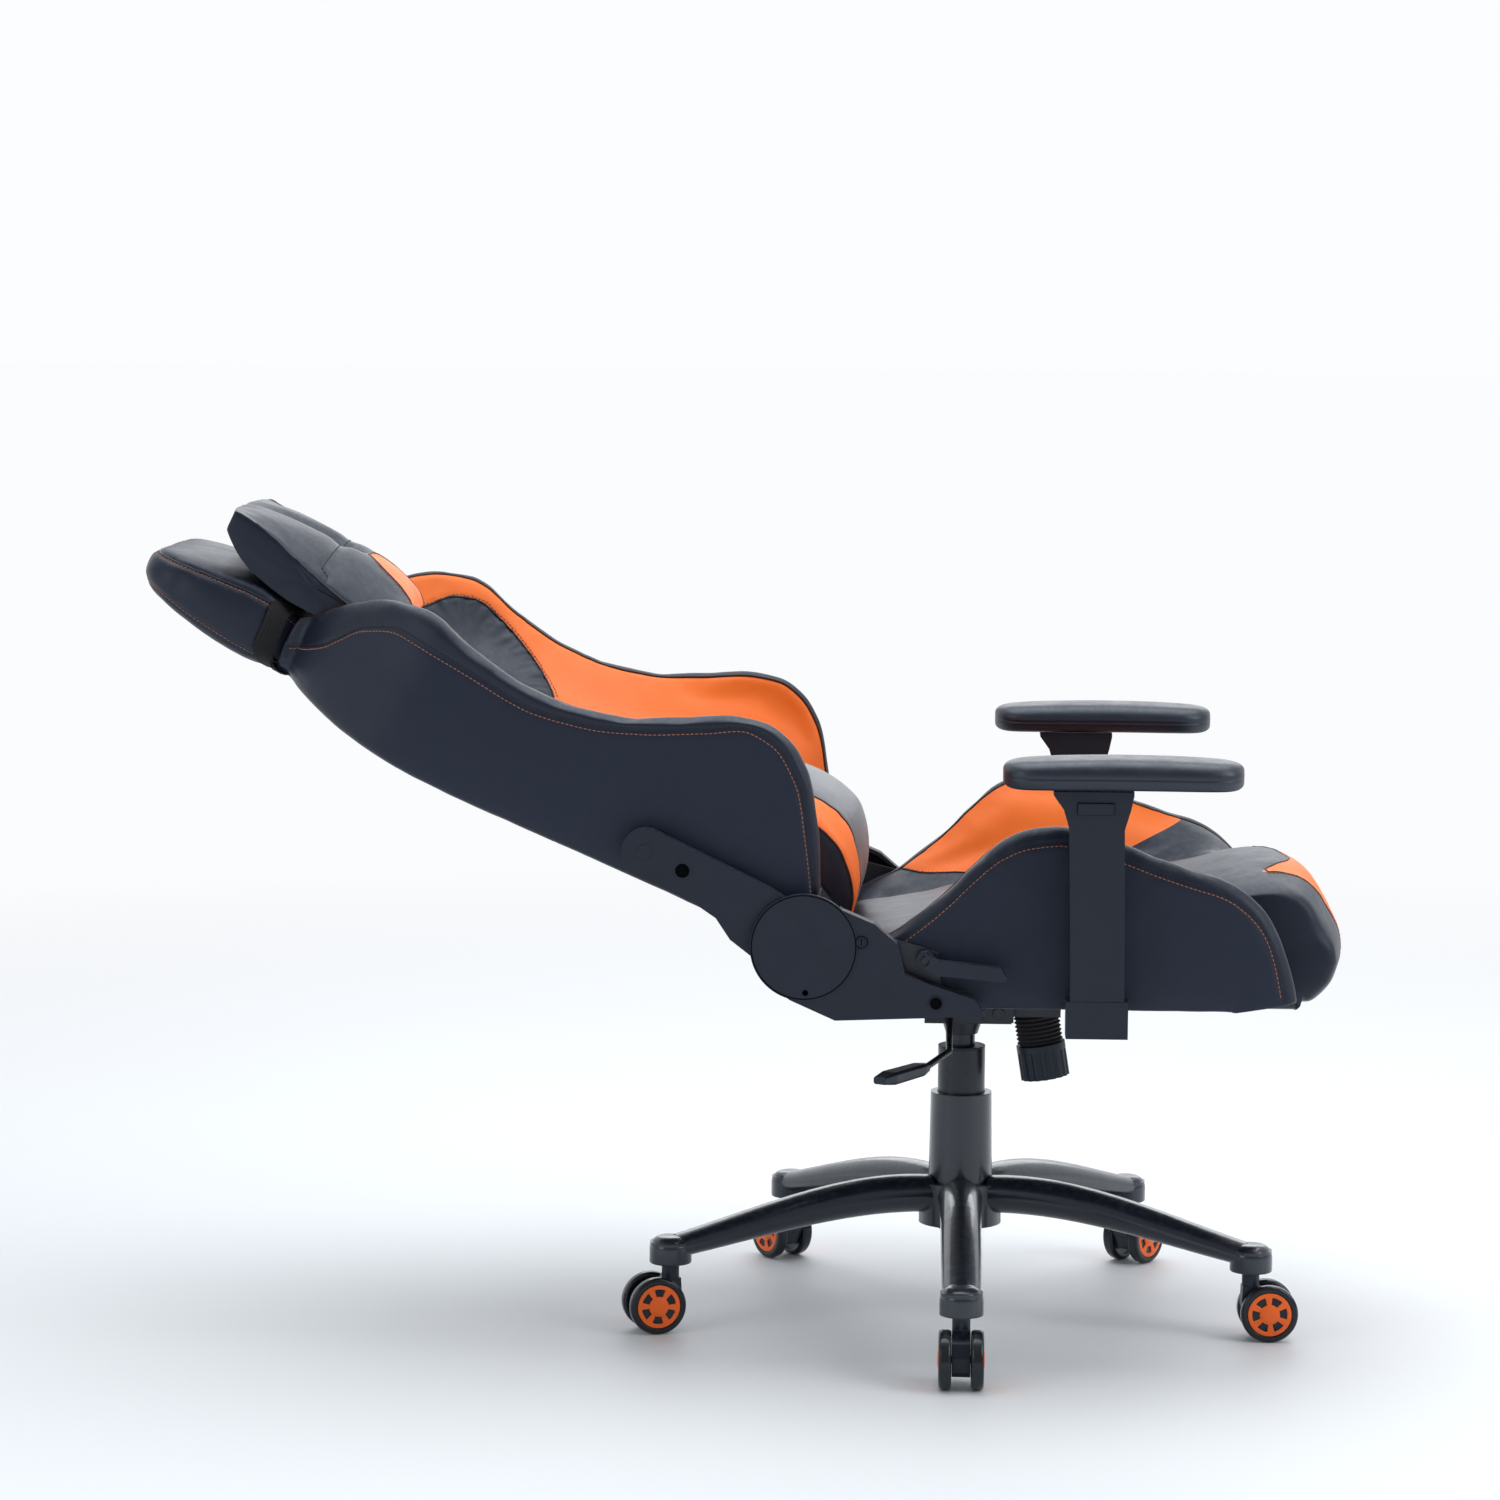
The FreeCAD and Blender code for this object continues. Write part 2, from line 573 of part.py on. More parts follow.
rod_foot = "(lift_bottom - clip_thick - 3)"
rod = cylinder("piston_shaft", "piston_radius", "piston_head_at - " + rod_foot, ("0", "0", rod_foot))
head = cylinder(
    "piston_head",
    "lift_inner_radius - lift_inner_wall - running_gap",
    "piston_head_thick",
    ("0", "0", "piston_head_at"),
)
clip = cylinder("piston_clip", "clip_radius", "clip_thick", ("0", "0", "lift_bottom - clip_thick"))
keep(fuse("piston_rod", [rod, head, clip]))

inner_foot = "(lift_bottom + lift_wall + lift_end_gap)"
inner = cylinder(
    "inner_tube_blank", "lift_inner_radius", "lift_inner_top - " + inner_foot, ("0", "0", inner_foot)
)
inner_room = cylinder(
    "inner_tube_room",
    "lift_inner_radius - lift_inner_wall",
    "lift_inner_top - lift_inner_wall - lift_gland - " + inner_foot,
    ("0", "0", inner_foot + " + lift_gland"),
)
inner_hole = cylinder("inner_rod_hole", "piston_radius + running_gap", "piston_head_at")
keep(cut("lift_tube", inner, [inner_room, inner_hole]))

# ---------------------------------------------------------------- tilt mechanism

housing_block = box(
    "housing_block",
    "housing_front - housing_rear",
    "2 * housing_half_width",
    "housing_top - housing_bottom",
    ("housing_rear", "-housing_half_width", "housing_bottom"),
)
housing_cone = cone(
    "housing_cone",
    "cone_mouth_radius",
    "cone_root_radius",
    "housing_bottom - cone_bottom",
    ("0", "0", "cone_bottom"),
)
shelf = box(
    "spring_shelf",
    "shelf_front - housing_front",
    "2 * shelf_half_width",
    "shelf_thick",
    ("housing_front", "-shelf_half_width", "spring_top - shelf_drop"),
)
taper_bore = cylinder("taper_bore", "lift_inner_radius", "housing_top", ("0", "0", "cone_bottom"))
pin_bore = cylinder(
    "tilt_pin_bore",
    "tilt_pin_radius + running_gap",
    "2 * housing_half_width",
    ("tilt_axis_x", "-housing_half_width", "tilt_axis_z"),
    "Y",
)
SPRING_SPOT = ("spring_x", "0", "spring_top")
UNDER_SPOT = (
    "spring_x + spring_length * sin(spring_lean)",
    "0",
    "spring_top - spring_length * cos(spring_lean)",
)
bolt_bore = cylinder("bolt_bore", "bolt_radius + bolt_play", "2 * spring_length")
place(bolt_bore, UNDER_SPOT, turn="-spring_lean", about=(0, 1, 0))
spring_seat = cylinder("spring_seat", "boot_radius + hood_gap", "spring_length")
place(spring_seat, UNDER_SPOT, turn="-spring_lean", about=(0, 1, 0))
barrel_seat = cylinder(
    "barrel_seat",
    "barrel_radius + running_gap",
    "barrel_length + 2 * button_gap",
    ("lever_root_x - barrel_length / 2 - button_gap", "-housing_half_width + barrel_inset", "lever_root_z"),
    "X",
)
lever_slot = box(
    "lever_slot",
    "2 * lever_rod_radius + 1",
    "barrel_inset + barrel_radius + 1",
    "4 * lever_rod_radius",
    ("lever_root_x - lever_rod_radius - 0.5", "-housing_half_width", "lever_root_z - 2 * lever_rod_radius"),
)
housing_solid = fuse("housing_solid", [housing_block, housing_cone, shelf])
keep(cut("tilt_housing", housing_solid, [taper_bore, pin_bore, bolt_bore, spring_seat] + [barrel_seat, lever_slot]))

ear_outer = "(housing_half_width + ear_gap + plate_thick)"
keep(
    cylinder(
        "tilt_pin",
        "tilt_pin_radius",
        "2 * %s + 6" % ear_outer,
        ("tilt_axis_x", "-%s - 3" % ear_outer, "tilt_axis_z"),
        "Y",
    )
)

flat = box(
    "plate_flat",
    "plate_front - plate_rear",
    "2 * plate_half_width",
    "plate_thick",
    ("plate_rear", "-plate_half_width", "plate_bottom"),
)
ears = []
for label, start in (("ear_right", "-" + ear_outer), ("ear_left", ear_outer + " - plate_thick")):
    ears.append(
        box(
            label,
            "2 * ear_half_length",
            "plate_thick",
            "plate_bottom - tilt_axis_z + ear_depth",
            ("tilt_axis_x - ear_half_length", start, "tilt_axis_z - ear_depth"),
        )
    )
ear_bore = cylinder(
    "ear_bore", "tilt_pin_radius", "2 * " + ear_outer, ("tilt_axis_x", "-" + ear_outer, "tilt_axis_z"), "Y"
)
plate_bolt_bore = cylinder("plate_bolt_bore", "bolt_radius", "60")
place(plate_bolt_bore, SPRING_SPOT, turn="-spring_lean", about=(0, 1, 0))
keep(cut("tilt_plate", fuse("plate_block", [flat] + ears), [ear_bore, plate_bolt_bore]))

bolt_top = "((plate_bottom + plate_thick - spring_top) / cos(spring_lean))"
bolt_foot = "(-spring_length - knob_length + knob_floor + 4)"
shank = cylinder("bolt_shank", "bolt_radius", "%s - %s" % (bolt_top, bolt_foot), ("0", "0", bolt_foot))
bolt_head = cylinder("bolt_head", "bolt_head_radius", "bolt_head_thick", ("0", "0", bolt_top + " + 1.5"))
bolt_neck = cylinder("bolt_neck", "bolt_radius", "bolt_head_thick", ("0", "0", bolt_top))
tension_bolt = keep(fuse("tension_bolt", [shank, bolt_neck, bolt_head]))
place(tension_bolt, SPRING_SPOT, turn="-spring_lean", about=(0, 1, 0))

LEAN = Placement(
    Vector(size("spring_x"), 0, size("spring_top")), Rotation(Vector(0, 1, 0), -size("spring_lean"))
)


def coil_spring():
    """The tension spring: round wire wound at a constant pitch."""
    wire = size("spring_wire")
    turns = size("spring_turns")
    rise = size("spring_length") - wire - 1
    helix = Part.makeHelix(rise / turns, rise, size("spring_radius"))
    start = Part.Circle(Vector(size("spring_radius"), 0, 0), Vector(0, 1, 0), wire / 2)
    profile = Part.Wire([start.toShape()])
    coil = Part.Wire(helix.Edges).makePipeShell([profile], True, True)
    coil.translate(Vector(0, 0, -rise - wire / 2 - 0.5))
    return coil


def bellows():
    """The boot: a thin ribbed tube of rubber round the spring."""
    outer = size("boot_radius")
    rib = size("boot_rib")
    wall = size("boot_wall")
    count = int(size("boot_ribs"))
    top = -0.3
    step = (size("spring_length") - 0.6) / count
    outside = []
    for index in range(count):
        level = top - index * step
        outside.append(Vector(outer - rib, 0, level))
        outside.append(Vector(outer, 0, level - step / 2))
    outside.append(Vector(outer - rib, 0, top - count * step))
    inside = [Vector(point.x - wall, 0, point.z) for point in reversed(outside)]
    ring = outside + inside
    face = Part.Face(Part.makePolygon(ring + ring[:1]))
    return face.revolve(Vector(), Vector(0, 0, 1), 360)


keep(shaped("tension_spring", coil_spring(), LEAN))
keep(shaped("spring_boot", bellows(), LEAN))

knob_body = new_body("tension_knob")
knob_ring = sketch_on(knob_body, "knob_outline", "XY_Plane", "-spring_length - knob_length")
circle(knob_ring, ("0", "0"), "knob_radius")
pad(knob_body, "knob_pad", knob_ring, "knob_length - hood_gap")
flute_sketch = sketch_on(knob_body, "flute_outline", "XY_Plane", "-spring_length - 8")
circle(flute_sketch, ("knob_radius + flute_radius / 2", "0"), "flute_radius")
flute = pocket(knob_body, "flute", flute_sketch, "knob_length")
doc.recompute()
flutes = knob_body.newObject("PartDesign::PolarPattern", "flutes")
flutes.Originals = [flute]
flutes.Axis = (knob_ring, ["N_Axis"])
flutes.Angle = 360
flutes.setExpression("Occurrences", bound("flute_count"))
knob_body.Tip = flutes
bore_sketch = sketch_on(knob_body, "knob_bore_outline", "XY_Plane", "-spring_length - hood_gap")
circle(bore_sketch, ("0", "0"), "bolt_radius + running_gap")
pocket(knob_body, "knob_bore", bore_sketch, "knob_length - knob_floor - hood_gap")
place(knob_body, SPRING_SPOT, turn="-spring_lean", about=(0, 1, 0))
keep(knob_body)

# ---------------------------------------------------------------- lift lever


def rod_through(points, radius):
    """A bent round rod: straight runs joined by balls at the bends."""
    solids = []
    for start, end in zip(points, points[1:]):
        run = end - start
        solids.append(Part.makeCylinder(radius, run.Length, start, run))
    for point in points[1:]:
        solids.append(Part.makeSphere(radius, point))
    return solids[0].multiFuse(solids[1:]).removeSplitter()


root = Vector(
    size("lever_root_x"), -(size("housing_half_width") - size("barrel_inset")), size("lever_root_z")
)
elbow = Vector(root.x, -size("lever_elbow_y"), root.z - size("lever_elbow_drop"))
mouth = Vector(root.x, -size("housing_half_width") - 6, root.z)
grip = Vector(size("lever_grip_x"), -size("lever_grip_y"), root.z - size("lever_grip_drop"))
turn = math.radians(size("paddle_turn"))
outward = Vector(-math.sin(turn), -math.cos(turn), 0)
tip = grip + outward * 24
barrel = Part.makeCylinder(
    size("barrel_radius"),
    size("barrel_length"),
    root - Vector(size("barrel_length") / 2, 0, 0),
    Vector(1, 0, 0),
)
lever_rod = rod_through([root, mouth, elbow, grip, tip], size("lever_rod_radius"))
keep(shaped("lift_lever", lever_rod.fuse(barrel).removeSplitter()))


def paddle():
    """A flat plastic handle moulded on the lever's end."""
    length = size("paddle_length")
    half = size("paddle_width") / 2
    thick = size("paddle_thick")
    sections = []
    for share, width, height in ((0, 0.5, 0.7), (0.15, 0.9, 0.95), (0.8, 1, 1), (1, 0.7, 0.6)):
        y = half * width
        z = thick / 2 * height
        chamfer = min(y, z) * 0.4
        corners = [(-y, -z + chamfer), (-y, z - chamfer), (-y + chamfer, z), (y - chamfer, z)]
        corners += [(y, z - chamfer), (y, -z + chamfer), (y - chamfer, -z), (-y + chamfer, -z)]
        sections.append([Vector(length * share, b, c) for b, c in corners])
    solid = skin(sections)
    bore = Part.makeCylinder(size("lever_rod_radius"), 24, Vector(), Vector(1, 0, 0))
    ball = Part.makeSphere(size("lever_rod_radius"), Vector(24, 0, 0))
    return solid.cut(bore.fuse(ball))


PADDLE_TURN = Rotation(Vector(0, 0, 1), -90 - size("paddle_turn"))
keep(shaped("lift_paddle", paddle(), Placement(grip, PADDLE_TURN)))

# ---------------------------------------------------------------- seat frame

tube_r = "frame_tube_radius"
side_length = "frame_front - frame_rear + 2 * " + tube_r


def frame_tube(label, radius, length, at, along):
    return cylinder(label, radius, length, at, along)


tube_bore = "frame_tube_radius - frame_tube_wall"
seat_tubes = []
seat_bores = []
for label, y in (("right", "-frame_half_width"), ("left", "frame_half_width")):
    at = ("frame_rear - " + tube_r, y, "frame_level")
    seat_tubes.append(frame_tube("seat_tube_" + label, tube_r, side_length, at, "X"))
    seat_bores.append(frame_tube("seat_bore_" + label, tube_bore, side_length, at, "X"))
for label, x in (("rear", "frame_rear"), ("front", "frame_front")):
    at = (x, "-frame_half_width", "frame_level")
    seat_tubes.append(frame_tube("seat_tube_" + label, tube_r, "2 * frame_half_width", at, "Y"))
    bore_at = (x, "-frame_half_width + frame_tube_radius", "frame_level")
    bore_length = "2 * (frame_half_width - frame_tube_radius)"
    seat_bores.append(frame_tube("seat_bore_" + label, tube_bore, bore_length, bore_at, "Y"))

rail_base = "plate_bottom + plate_thick"
rails = []
for label, x, width in (
    ("rail_rear", "plate_rear + 6", "rail_width"),
    ("rail_front", "plate_front - rail_width - 4", "rail_width"),
    ("rail_arm", "arm_x - sleeve_length / 2", "sleeve_length"),
):
    low = rail_base if label != "rail_arm" else "frame_level - frame_tube_radius"
    rails.append(box(label, width, "2 * frame_half_width", "rail_thick", (x, "-frame_half_width", low)))

tab_x = "pivot_x + lever_pivot_ahead - 36"
tab_reach = "(seat_half_width + side_gap)"
tabs = []
for label, inner, outer in (("right", "-" + tab_reach, "-" + tab_reach), ("left", "frame_half_width", tab_reach)):
    width = tab_reach + " - frame_half_width"
    shelf_at = (tab_x, inner, "frame_level")
    tabs.append(box("tab_shelf_" + label, "82", width, "rail_thick", shelf_at))
    wall_y = outer if label == "right" else outer + " - recliner_plate_thick"
    tabs.append(
        box("tab_wall_" + label, "82", "recliner_plate_thick", "22", (tab_x, wall_y, "frame_level - 9"))
    )
keep(cut("seat_frame", fuse("seat_frame_block", seat_tubes + rails + tabs), seat_bores))

# ---------------------------------------------------------------- seat foam


def seat_tube_room():
    """The space that the foam leaves round the seat frame's side tubes and tabs."""
    radius = size("frame_tube_radius") + size("foam_gap")
    level = size("frame_level")
    rear = size("frame_rear") - size("frame_tube_radius") - size("foam_gap")
    length = size("frame_front") - size("frame_rear") + 2 * radius
    room = []
    for side in (-1, 1):
        start = Vector(rear, side * size("frame_half_width"), level)
        room.append(Part.makeCylinder(radius, length, start, Vector(1, 0, 0)))
        tab_start = size("pivot_x") + size("lever_pivot_ahead") - 37
        reach = size("seat_half_width") + size("side_gap") - size("frame_half_width") + 1
        low = size("bolster_floor") - 5
        corner_y = size("frame_half_width") if side > 0 else -size("frame_half_width") - reach
        room.append(Part.makeBox(84, reach, level + 14 - low, Vector(tab_start, corner_y, low)))
    for x in (size("frame_rear"), size("frame_front")):
        start = Vector(x, -size("frame_half_width"), level)
        room.append(Part.makeCylinder(radius, 2 * size("frame_half_width"), start, Vector(0, 1, 0)))
    rail = size("frame_half_width") + 1
    low = size("bolster_floor") - 5
    arm_start = size("arm_x") - size("sleeve_length") / 2 - 0.5
    depth = level - size("frame_tube_radius") + size("rail_thick") + 0.5 - low
    room.append(Part.makeBox(size("sleeve_length") + 1, 2 * rail, depth, Vector(arm_start, -rail, low)))
    for start in (size("plate_rear") + 5.5, size("plate_front") - size("rail_width") - 4.5):
        room.append(Part.makeBox(size("rail_width") + 1, 2 * rail, 8, Vector(start, -rail, low)))
    return room[0].multiFuse(room[1:])


SEAT_ROOM = seat_tube_room()


def seat_cushion():
    half = size("seat_panel_half_width") - size("seam_gap") / 2
    rear = size("seat_rear")
    nose = size("seat_nose")
    floor = size("seat_floor")
    lip = size("seat_lip")
    crest = size("seat_crest")
    level = size("seat_nose_level")
    rows = [
        (rear, floor, size("seat_rear_top")),
        (rear + 18, floor, eased(size("seat_rear_top"), size("seat_dip"), 0.36)),
        (rear + 38, floor, eased(size("seat_rear_top"), size("seat_dip"), 0.6)),
        (rear + 85, floor, size("seat_dip")),
        (eased(rear + 85, size("seat_crest_at"), 0.55), floor, eased(size("seat_dip"), crest, 0.5)),
        (size("seat_crest_at"), floor, crest),
        (nose - 52, floor, crest - 8),
        (nose - 46, lip, crest - 12),
        (nose - 19, lip + 6, crest - 50),
        (nose - 6, level - 30, level + 24),
        (nose, level - 12, level + 8),
    ]
    sections = []
    for x, low, high in rows:
        round_off = min(14, (high - low) * 0.3)
        corners = [(-half, low), (-half, high - round_off), (-half + round_off, high)]
        corners += [(half - round_off, high), (half, high - round_off), (half, low)]
        sections.append([Vector(x, y, z) for y, z in corners])
    return skin(sections).cut(SEAT_ROOM)


def seat_bolster(side):
    outer = size("seat_half_width")
    inner = size("seat_panel_half_width") + size("seam_gap") / 2
    ridge = size("bolster_ridge")
    floor = size("bolster_floor")
    rear = size("bolster_rear")
    crest = size("bolster_crest")
    crest_at = size("bolster_crest_at")
    brow = size("bolster_brow")
    brow_at = size("bolster_brow_at")
    front = size("bolster_front")
    rows = [(rear, size("bolster_rear_top"))]
    for share in (0.15, 0.3, 0.55, 0.8):
        high = eased(size("bolster_rear_top"), crest, share)
        rows.append((rear + (crest_at - rear) * share, high))
    rows.append((crest_at, crest))
    for share in (0.35, 0.7):
        rows.append((crest_at + (brow_at - crest_at) * share, eased(crest, brow, share)))
    rows.append((brow_at, brow))
    rows.append((front - 12, eased(brow, size("bolster_front_top"), 0.55)))
    rows.append((front, size("bolster_front_top")))
    sections = []
    for x, high in rows:
        base = min(high - 6, size("seat_dip"))
        corners = [(outer, floor), (outer, high - ridge * 0.6), (outer - 8, high - 2)]
        corners += [(outer - ridge, high), (inner + ridge, (high + base) / 2), (inner, base)]
        corners += [(inner, floor)]
        sections.append([Vector(x, side * y, z) for y, z in corners])
    return skin(sections).cut(SEAT_ROOM)


keep(shaped("seat_cushion", seat_cushion()))
keep(shaped("seat_bolster_right", seat_bolster(-1)))
keep(shaped("seat_bolster_left", seat_bolster(1)))

# ---------------------------------------------------------------- recliner, right side then mirrored

PIVOT = ("pivot_x", "0", "pivot_z")
plate_inner = "(seat_half_width + side_gap)"
plate_outer = "(%s + recliner_plate_thick)" % plate_inner
bracket_inner = "(%s + bracket_gap)" % plate_outer
bracket_outer = "(%s + bracket_thick)" % bracket_inner
shell_inner = "(%s + 2)" % plate_outer
shell_outer = "(%s + shell_depth - 2)" % shell_inner
lever_x = "lever_pivot_ahead"
lever_z = "-lever_pivot_drop"

plate_body = new_body("recliner_plate_right")
plate_sketch = sketch_on(plate_body, "recliner_plate_outline", "XZ_Plane", plate_inner)
plate_points = [
    ("-shaft_radius * 3", "-disc_radius * 0.7"),
    ("0", "-disc_radius * 0.85"),
    ("32", "-disc_radius - 14"),
    (lever_x + " + 46", "-disc_radius - 9"),
    (lever_x + " + 40", "-disc_radius + 4"),
    (lever_x + " + 16", "-disc_radius + 14"),
    (lever_x + " + 13", lever_z + " + 6"),
    (lever_x + " - 8", lever_z + " + 13"),
    ("58", "14"),
    ("34", "34"),
    ("0", "disc_radius * 0.8"),
    ("-disc_radius * 0.7", "disc_radius * 0.4"),
    ("-disc_radius * 0.8", "-shaft_radius"),
]
polygon(plate_sketch, plate_points)
pad(plate_body, "recliner_plate_pad", plate_sketch, "recliner_plate_thick")
plate_hole = sketch_on(plate_body, "recliner_plate_bore", "XZ_Plane", plate_outer)
circle(plate_hole, ("0", "0"), "shaft_radius + running_gap")
pocket(plate_body, "recliner_plate_bore_cut", plate_hole, "recliner_plate_thick + 1")
pin_sketch = sketch_on(plate_body, "recliner_pin_outline", "XZ_Plane", plate_outer)
circle(pin_sketch, (lever_x, lever_z), "lever_pin_radius")
pad(plate_body, "recliner_pin_pad", pin_sketch, "lever_thick + 5")
place(plate_body, PIVOT)

shell_body = new_body("recliner_shell")
shell_sketch = sketch_on(shell_body, "shell_outline", "XZ_Plane", shell_inner)
shell_points = [
    ("0", "0"),
    ("-disc_radius * 0.74", "-disc_radius * 0.67"),
    ("-13", "-disc_radius"),
    ("32", "-disc_radius - 20"),
    (lever_x + " + 60", "-disc_radius - 14"),
    (lever_x + " + 50", "-disc_radius + 3"),
    (lever_x + " + 5", "-disc_radius + 18"),
    (lever_x + " - 20", "-disc_radius + 27"),
    (lever_x + " - 28", "4"),
    (lever_x + " - 51", "24"),
    (lever_x + " - 84", "38"),
]
polygon(shell_sketch, shell_points)
pad(shell_body, "shell_pad", shell_sketch, shell_outer + " - " + shell_inner)
disc_sketch = sketch_on(shell_body, "disc_outline", "XZ_Plane", shell_inner)
circle(disc_sketch, ("0", "0"), "disc_radius")
pad(shell_body, "disc_pad", disc_sketch, shell_outer + " - " + shell_inner + " + disc_raise")

room_points = [
    ("0", "0"),
    ("-disc_radius * 0.74 + shell_wall", "-disc_radius * 0.67 + 1"),
    ("-12", "-disc_radius + shell_wall"),
    ("33", "-disc_radius - 20 + shell_wall"),
    (lever_x + " + 60 - shell_wall * 2", "-disc_radius - 14 + shell_wall"),
    (lever_x + " + 50 - shell_wall", "-disc_radius + 3 - shell_wall"),
    (lever_x + " + 4", "-disc_radius + 18 - shell_wall"),
    (lever_x + " - 22", "-disc_radius + 27 - shell_wall"),
    (lever_x + " - 31", "2"),
    (lever_x + " - 53", "20"),
    (lever_x + " - 84", "34"),
]
arm_gate = [
    ("0", "0"),
    ("disc_radius * 1.1", "disc_radius * 1.2"),
    ("0", "disc_radius * 1.8"),
    ("-disc_radius * 1.7", "disc_radius * 1.1"),
    ("-disc_radius * 1.6", "-disc_radius * 0.56"),
]
depth = shell_outer + " - " + shell_inner + " - shell_wall"
shell_cuts = []
for label, points in (("shell_room", room_points), ("arm_gate", arm_gate)):
    blank = new_body(label)
    outline = sketch_on(blank, label + "_outline", "XZ_Plane", shell_inner + " - 1")
    polygon(outline, points)
    pad(blank, label + "_pad", outline, depth + " + 1")
    shell_cuts.append(blank)
disc_room = new_body("disc_room")
outline = sketch_on(disc_room, "disc_room_outline", "XZ_Plane", shell_inner + " - 1")
circle(outline, ("0", "0"), "disc_radius - shell_wall")
pad(disc_room, "disc_room_pad", outline, depth + " + 1")
shell_cuts.append(disc_room)
shell_hollow = cut("shell_hollow", shell_body, shell_cuts)
posts = []
for label, x, z in (("post_front", "disc_radius + 5", "6"), ("post_low", "2", "-disc_radius + 6")):
    post_at = (x, "-%s" % shell_outer, z)
    posts.append(
        cylinder(label, "shell_screw_radius", shell_outer + " - " + plate_outer, post_at, "Y")
    )
shell = keep(fuse("recliner_cover_right", [shell_hollow] + posts))
place(shell, PIVOT)

bracket_body = new_body("back_bracket_right")
bracket_sketch = sketch_on(bracket_body, "bracket_outline", "XZ_Plane", bracket_inner)
front_edge = "bracket_ahead + bracket_end_radius"
rear_edge = "bracket_ahead - bracket_end_radius"
bracket_points = [
    ("0", "0"),
    ("-bracket_root_radius * 0.8", "10"),
    ("-bracket_root_radius * 0.82", "disc_radius * 0.78"),
    ("-bracket_root_radius * 0.68", "disc_radius * 1.28"),
    ("-bracket_root_radius * 0.35", "disc_radius * 1.7"),
    (rear_edge, "disc_radius * 2.2"),
    (rear_edge, "bracket_reach"),
    (front_edge, "bracket_reach"),
    (front_edge, "disc_radius * 1.05"),
    ("bracket_root_radius * 0.9", "bracket_root_radius"),
    ("bracket_root_radius * 0.7", "bracket_root_radius * 0.68"),
]
polygon(bracket_sketch, bracket_points)
pad(bracket_body, "bracket_pad", bracket_sketch, "bracket_thick")
for label, centre, radius in (
    ("bracket_root", ("0", "0"), "bracket_root_radius"),
    ("bracket_end", ("bracket_ahead", "bracket_reach"), "bracket_end_radius"),
):
    round_sketch = sketch_on(bracket_body, label + "_outline", "XZ_Plane", bracket_inner)
    circle(round_sketch, centre, radius)
    pad(bracket_body, label + "_pad", round_sketch, "bracket_thick")
for label, centre, radius in (
    ("bracket_bore", ("0", "0"), "shaft_radius"),
    ("bracket_hole_low", ("bracket_ahead", "bracket_bolt_low"), "bracket_bolt_radius"),
    ("bracket_hole_high", ("bracket_ahead", "bracket_reach"), "bracket_bolt_radius"),
    ("bracket_well_low", ("bracket_ahead", "bracket_bolt_low"), "bracket_bolt_radius * 2"),
    ("bracket_well_high", ("bracket_ahead", "bracket_reach"), "bracket_bolt_radius * 2"),
):
    hole_sketch = sketch_on(bracket_body, label + "_outline", "XZ_Plane", bracket_outer)
    circle(hole_sketch, centre, radius)
    length = "bracket_thick / 2" if "well" in label else "bracket_thick + 1"
    pocket(bracket_body, label, hole_sketch, length)
place(bracket_body, PIVOT, turn="-recline", about=(0, 1, 0))

lever_body = new_body("recline_lever")
lever_inner = "(%s + 1.5)" % plate_outer
lever_sketch = sketch_on(lever_body, "lever_hub_outline", "XZ_Plane", lever_inner)
circle(lever_sketch, ("0", "0"), "lever_hub_radius")
pad(lever_body, "lever_hub", lever_sketch, "lever_thick")
bar_sketch = sketch_on(lever_body, "lever_bar_outline", "XZ_Plane", lever_inner + " + 8")
bar_points = [
    ("0", "-lever_hub_radius * 0.8"),
    ("lever_hub_radius * 1.6", "-lever_hub_radius * 1.6"),
    ("lever_reach - 14", "-lever_hub_radius * 2.1"),
    ("lever_reach - 2", "-lever_hub_radius * 2.2"),
    ("lever_reach", "-lever_hub_radius * 1.9"),
    ("lever_reach - 6", "-lever_hub_radius * 0.6"),
    ("lever_hub_radius * 1.6", "lever_hub_radius * 0.1"),
    ("0", "lever_hub_radius * 0.8"),
]
polygon(bar_sketch, bar_points)
pad(lever_body, "lever_bar", bar_sketch, "lever_thick")
lever_bore_sketch = sketch_on(lever_body, "lever_bore_outline", "XZ_Plane", lever_inner + " + 8 + lever_thick")
circle(lever_bore_sketch, ("0", "0"), "lever_pin_radius + running_gap")
pocket(lever_body, "lever_bore_cut", lever_bore_sketch, "lever_thick + 12")
place(lever_body, ("pivot_x + lever_pivot_ahead", "0", "pivot_z - lever_pivot_drop"))

recliner_plates = keep(named("Part::Compound", "recliner_plates"))
recliner_plates.Links = [plate_body, mirrored("recliner_plate_left", plate_body)]
keep(mirrored("recliner_cover_left", shell))
keep(bracket_body)
keep(mirrored("back_bracket_left", bracket_body))
keep(lever_body)
keep(
    cylinder(
        "recline_shaft",
        "shaft_radius",
        "2 * %s - 2" % bracket_outer,
        ("pivot_x", "1 - %s" % bracket_outer, "pivot_z"),
        "Y",
    )
)

# ---------------------------------------------------------------- backrest

BACK = Placement(
    Vector(size("pivot_x"), 0, size("pivot_z")), Rotation(Vector(0, 1, 0), -size("recline"))
)


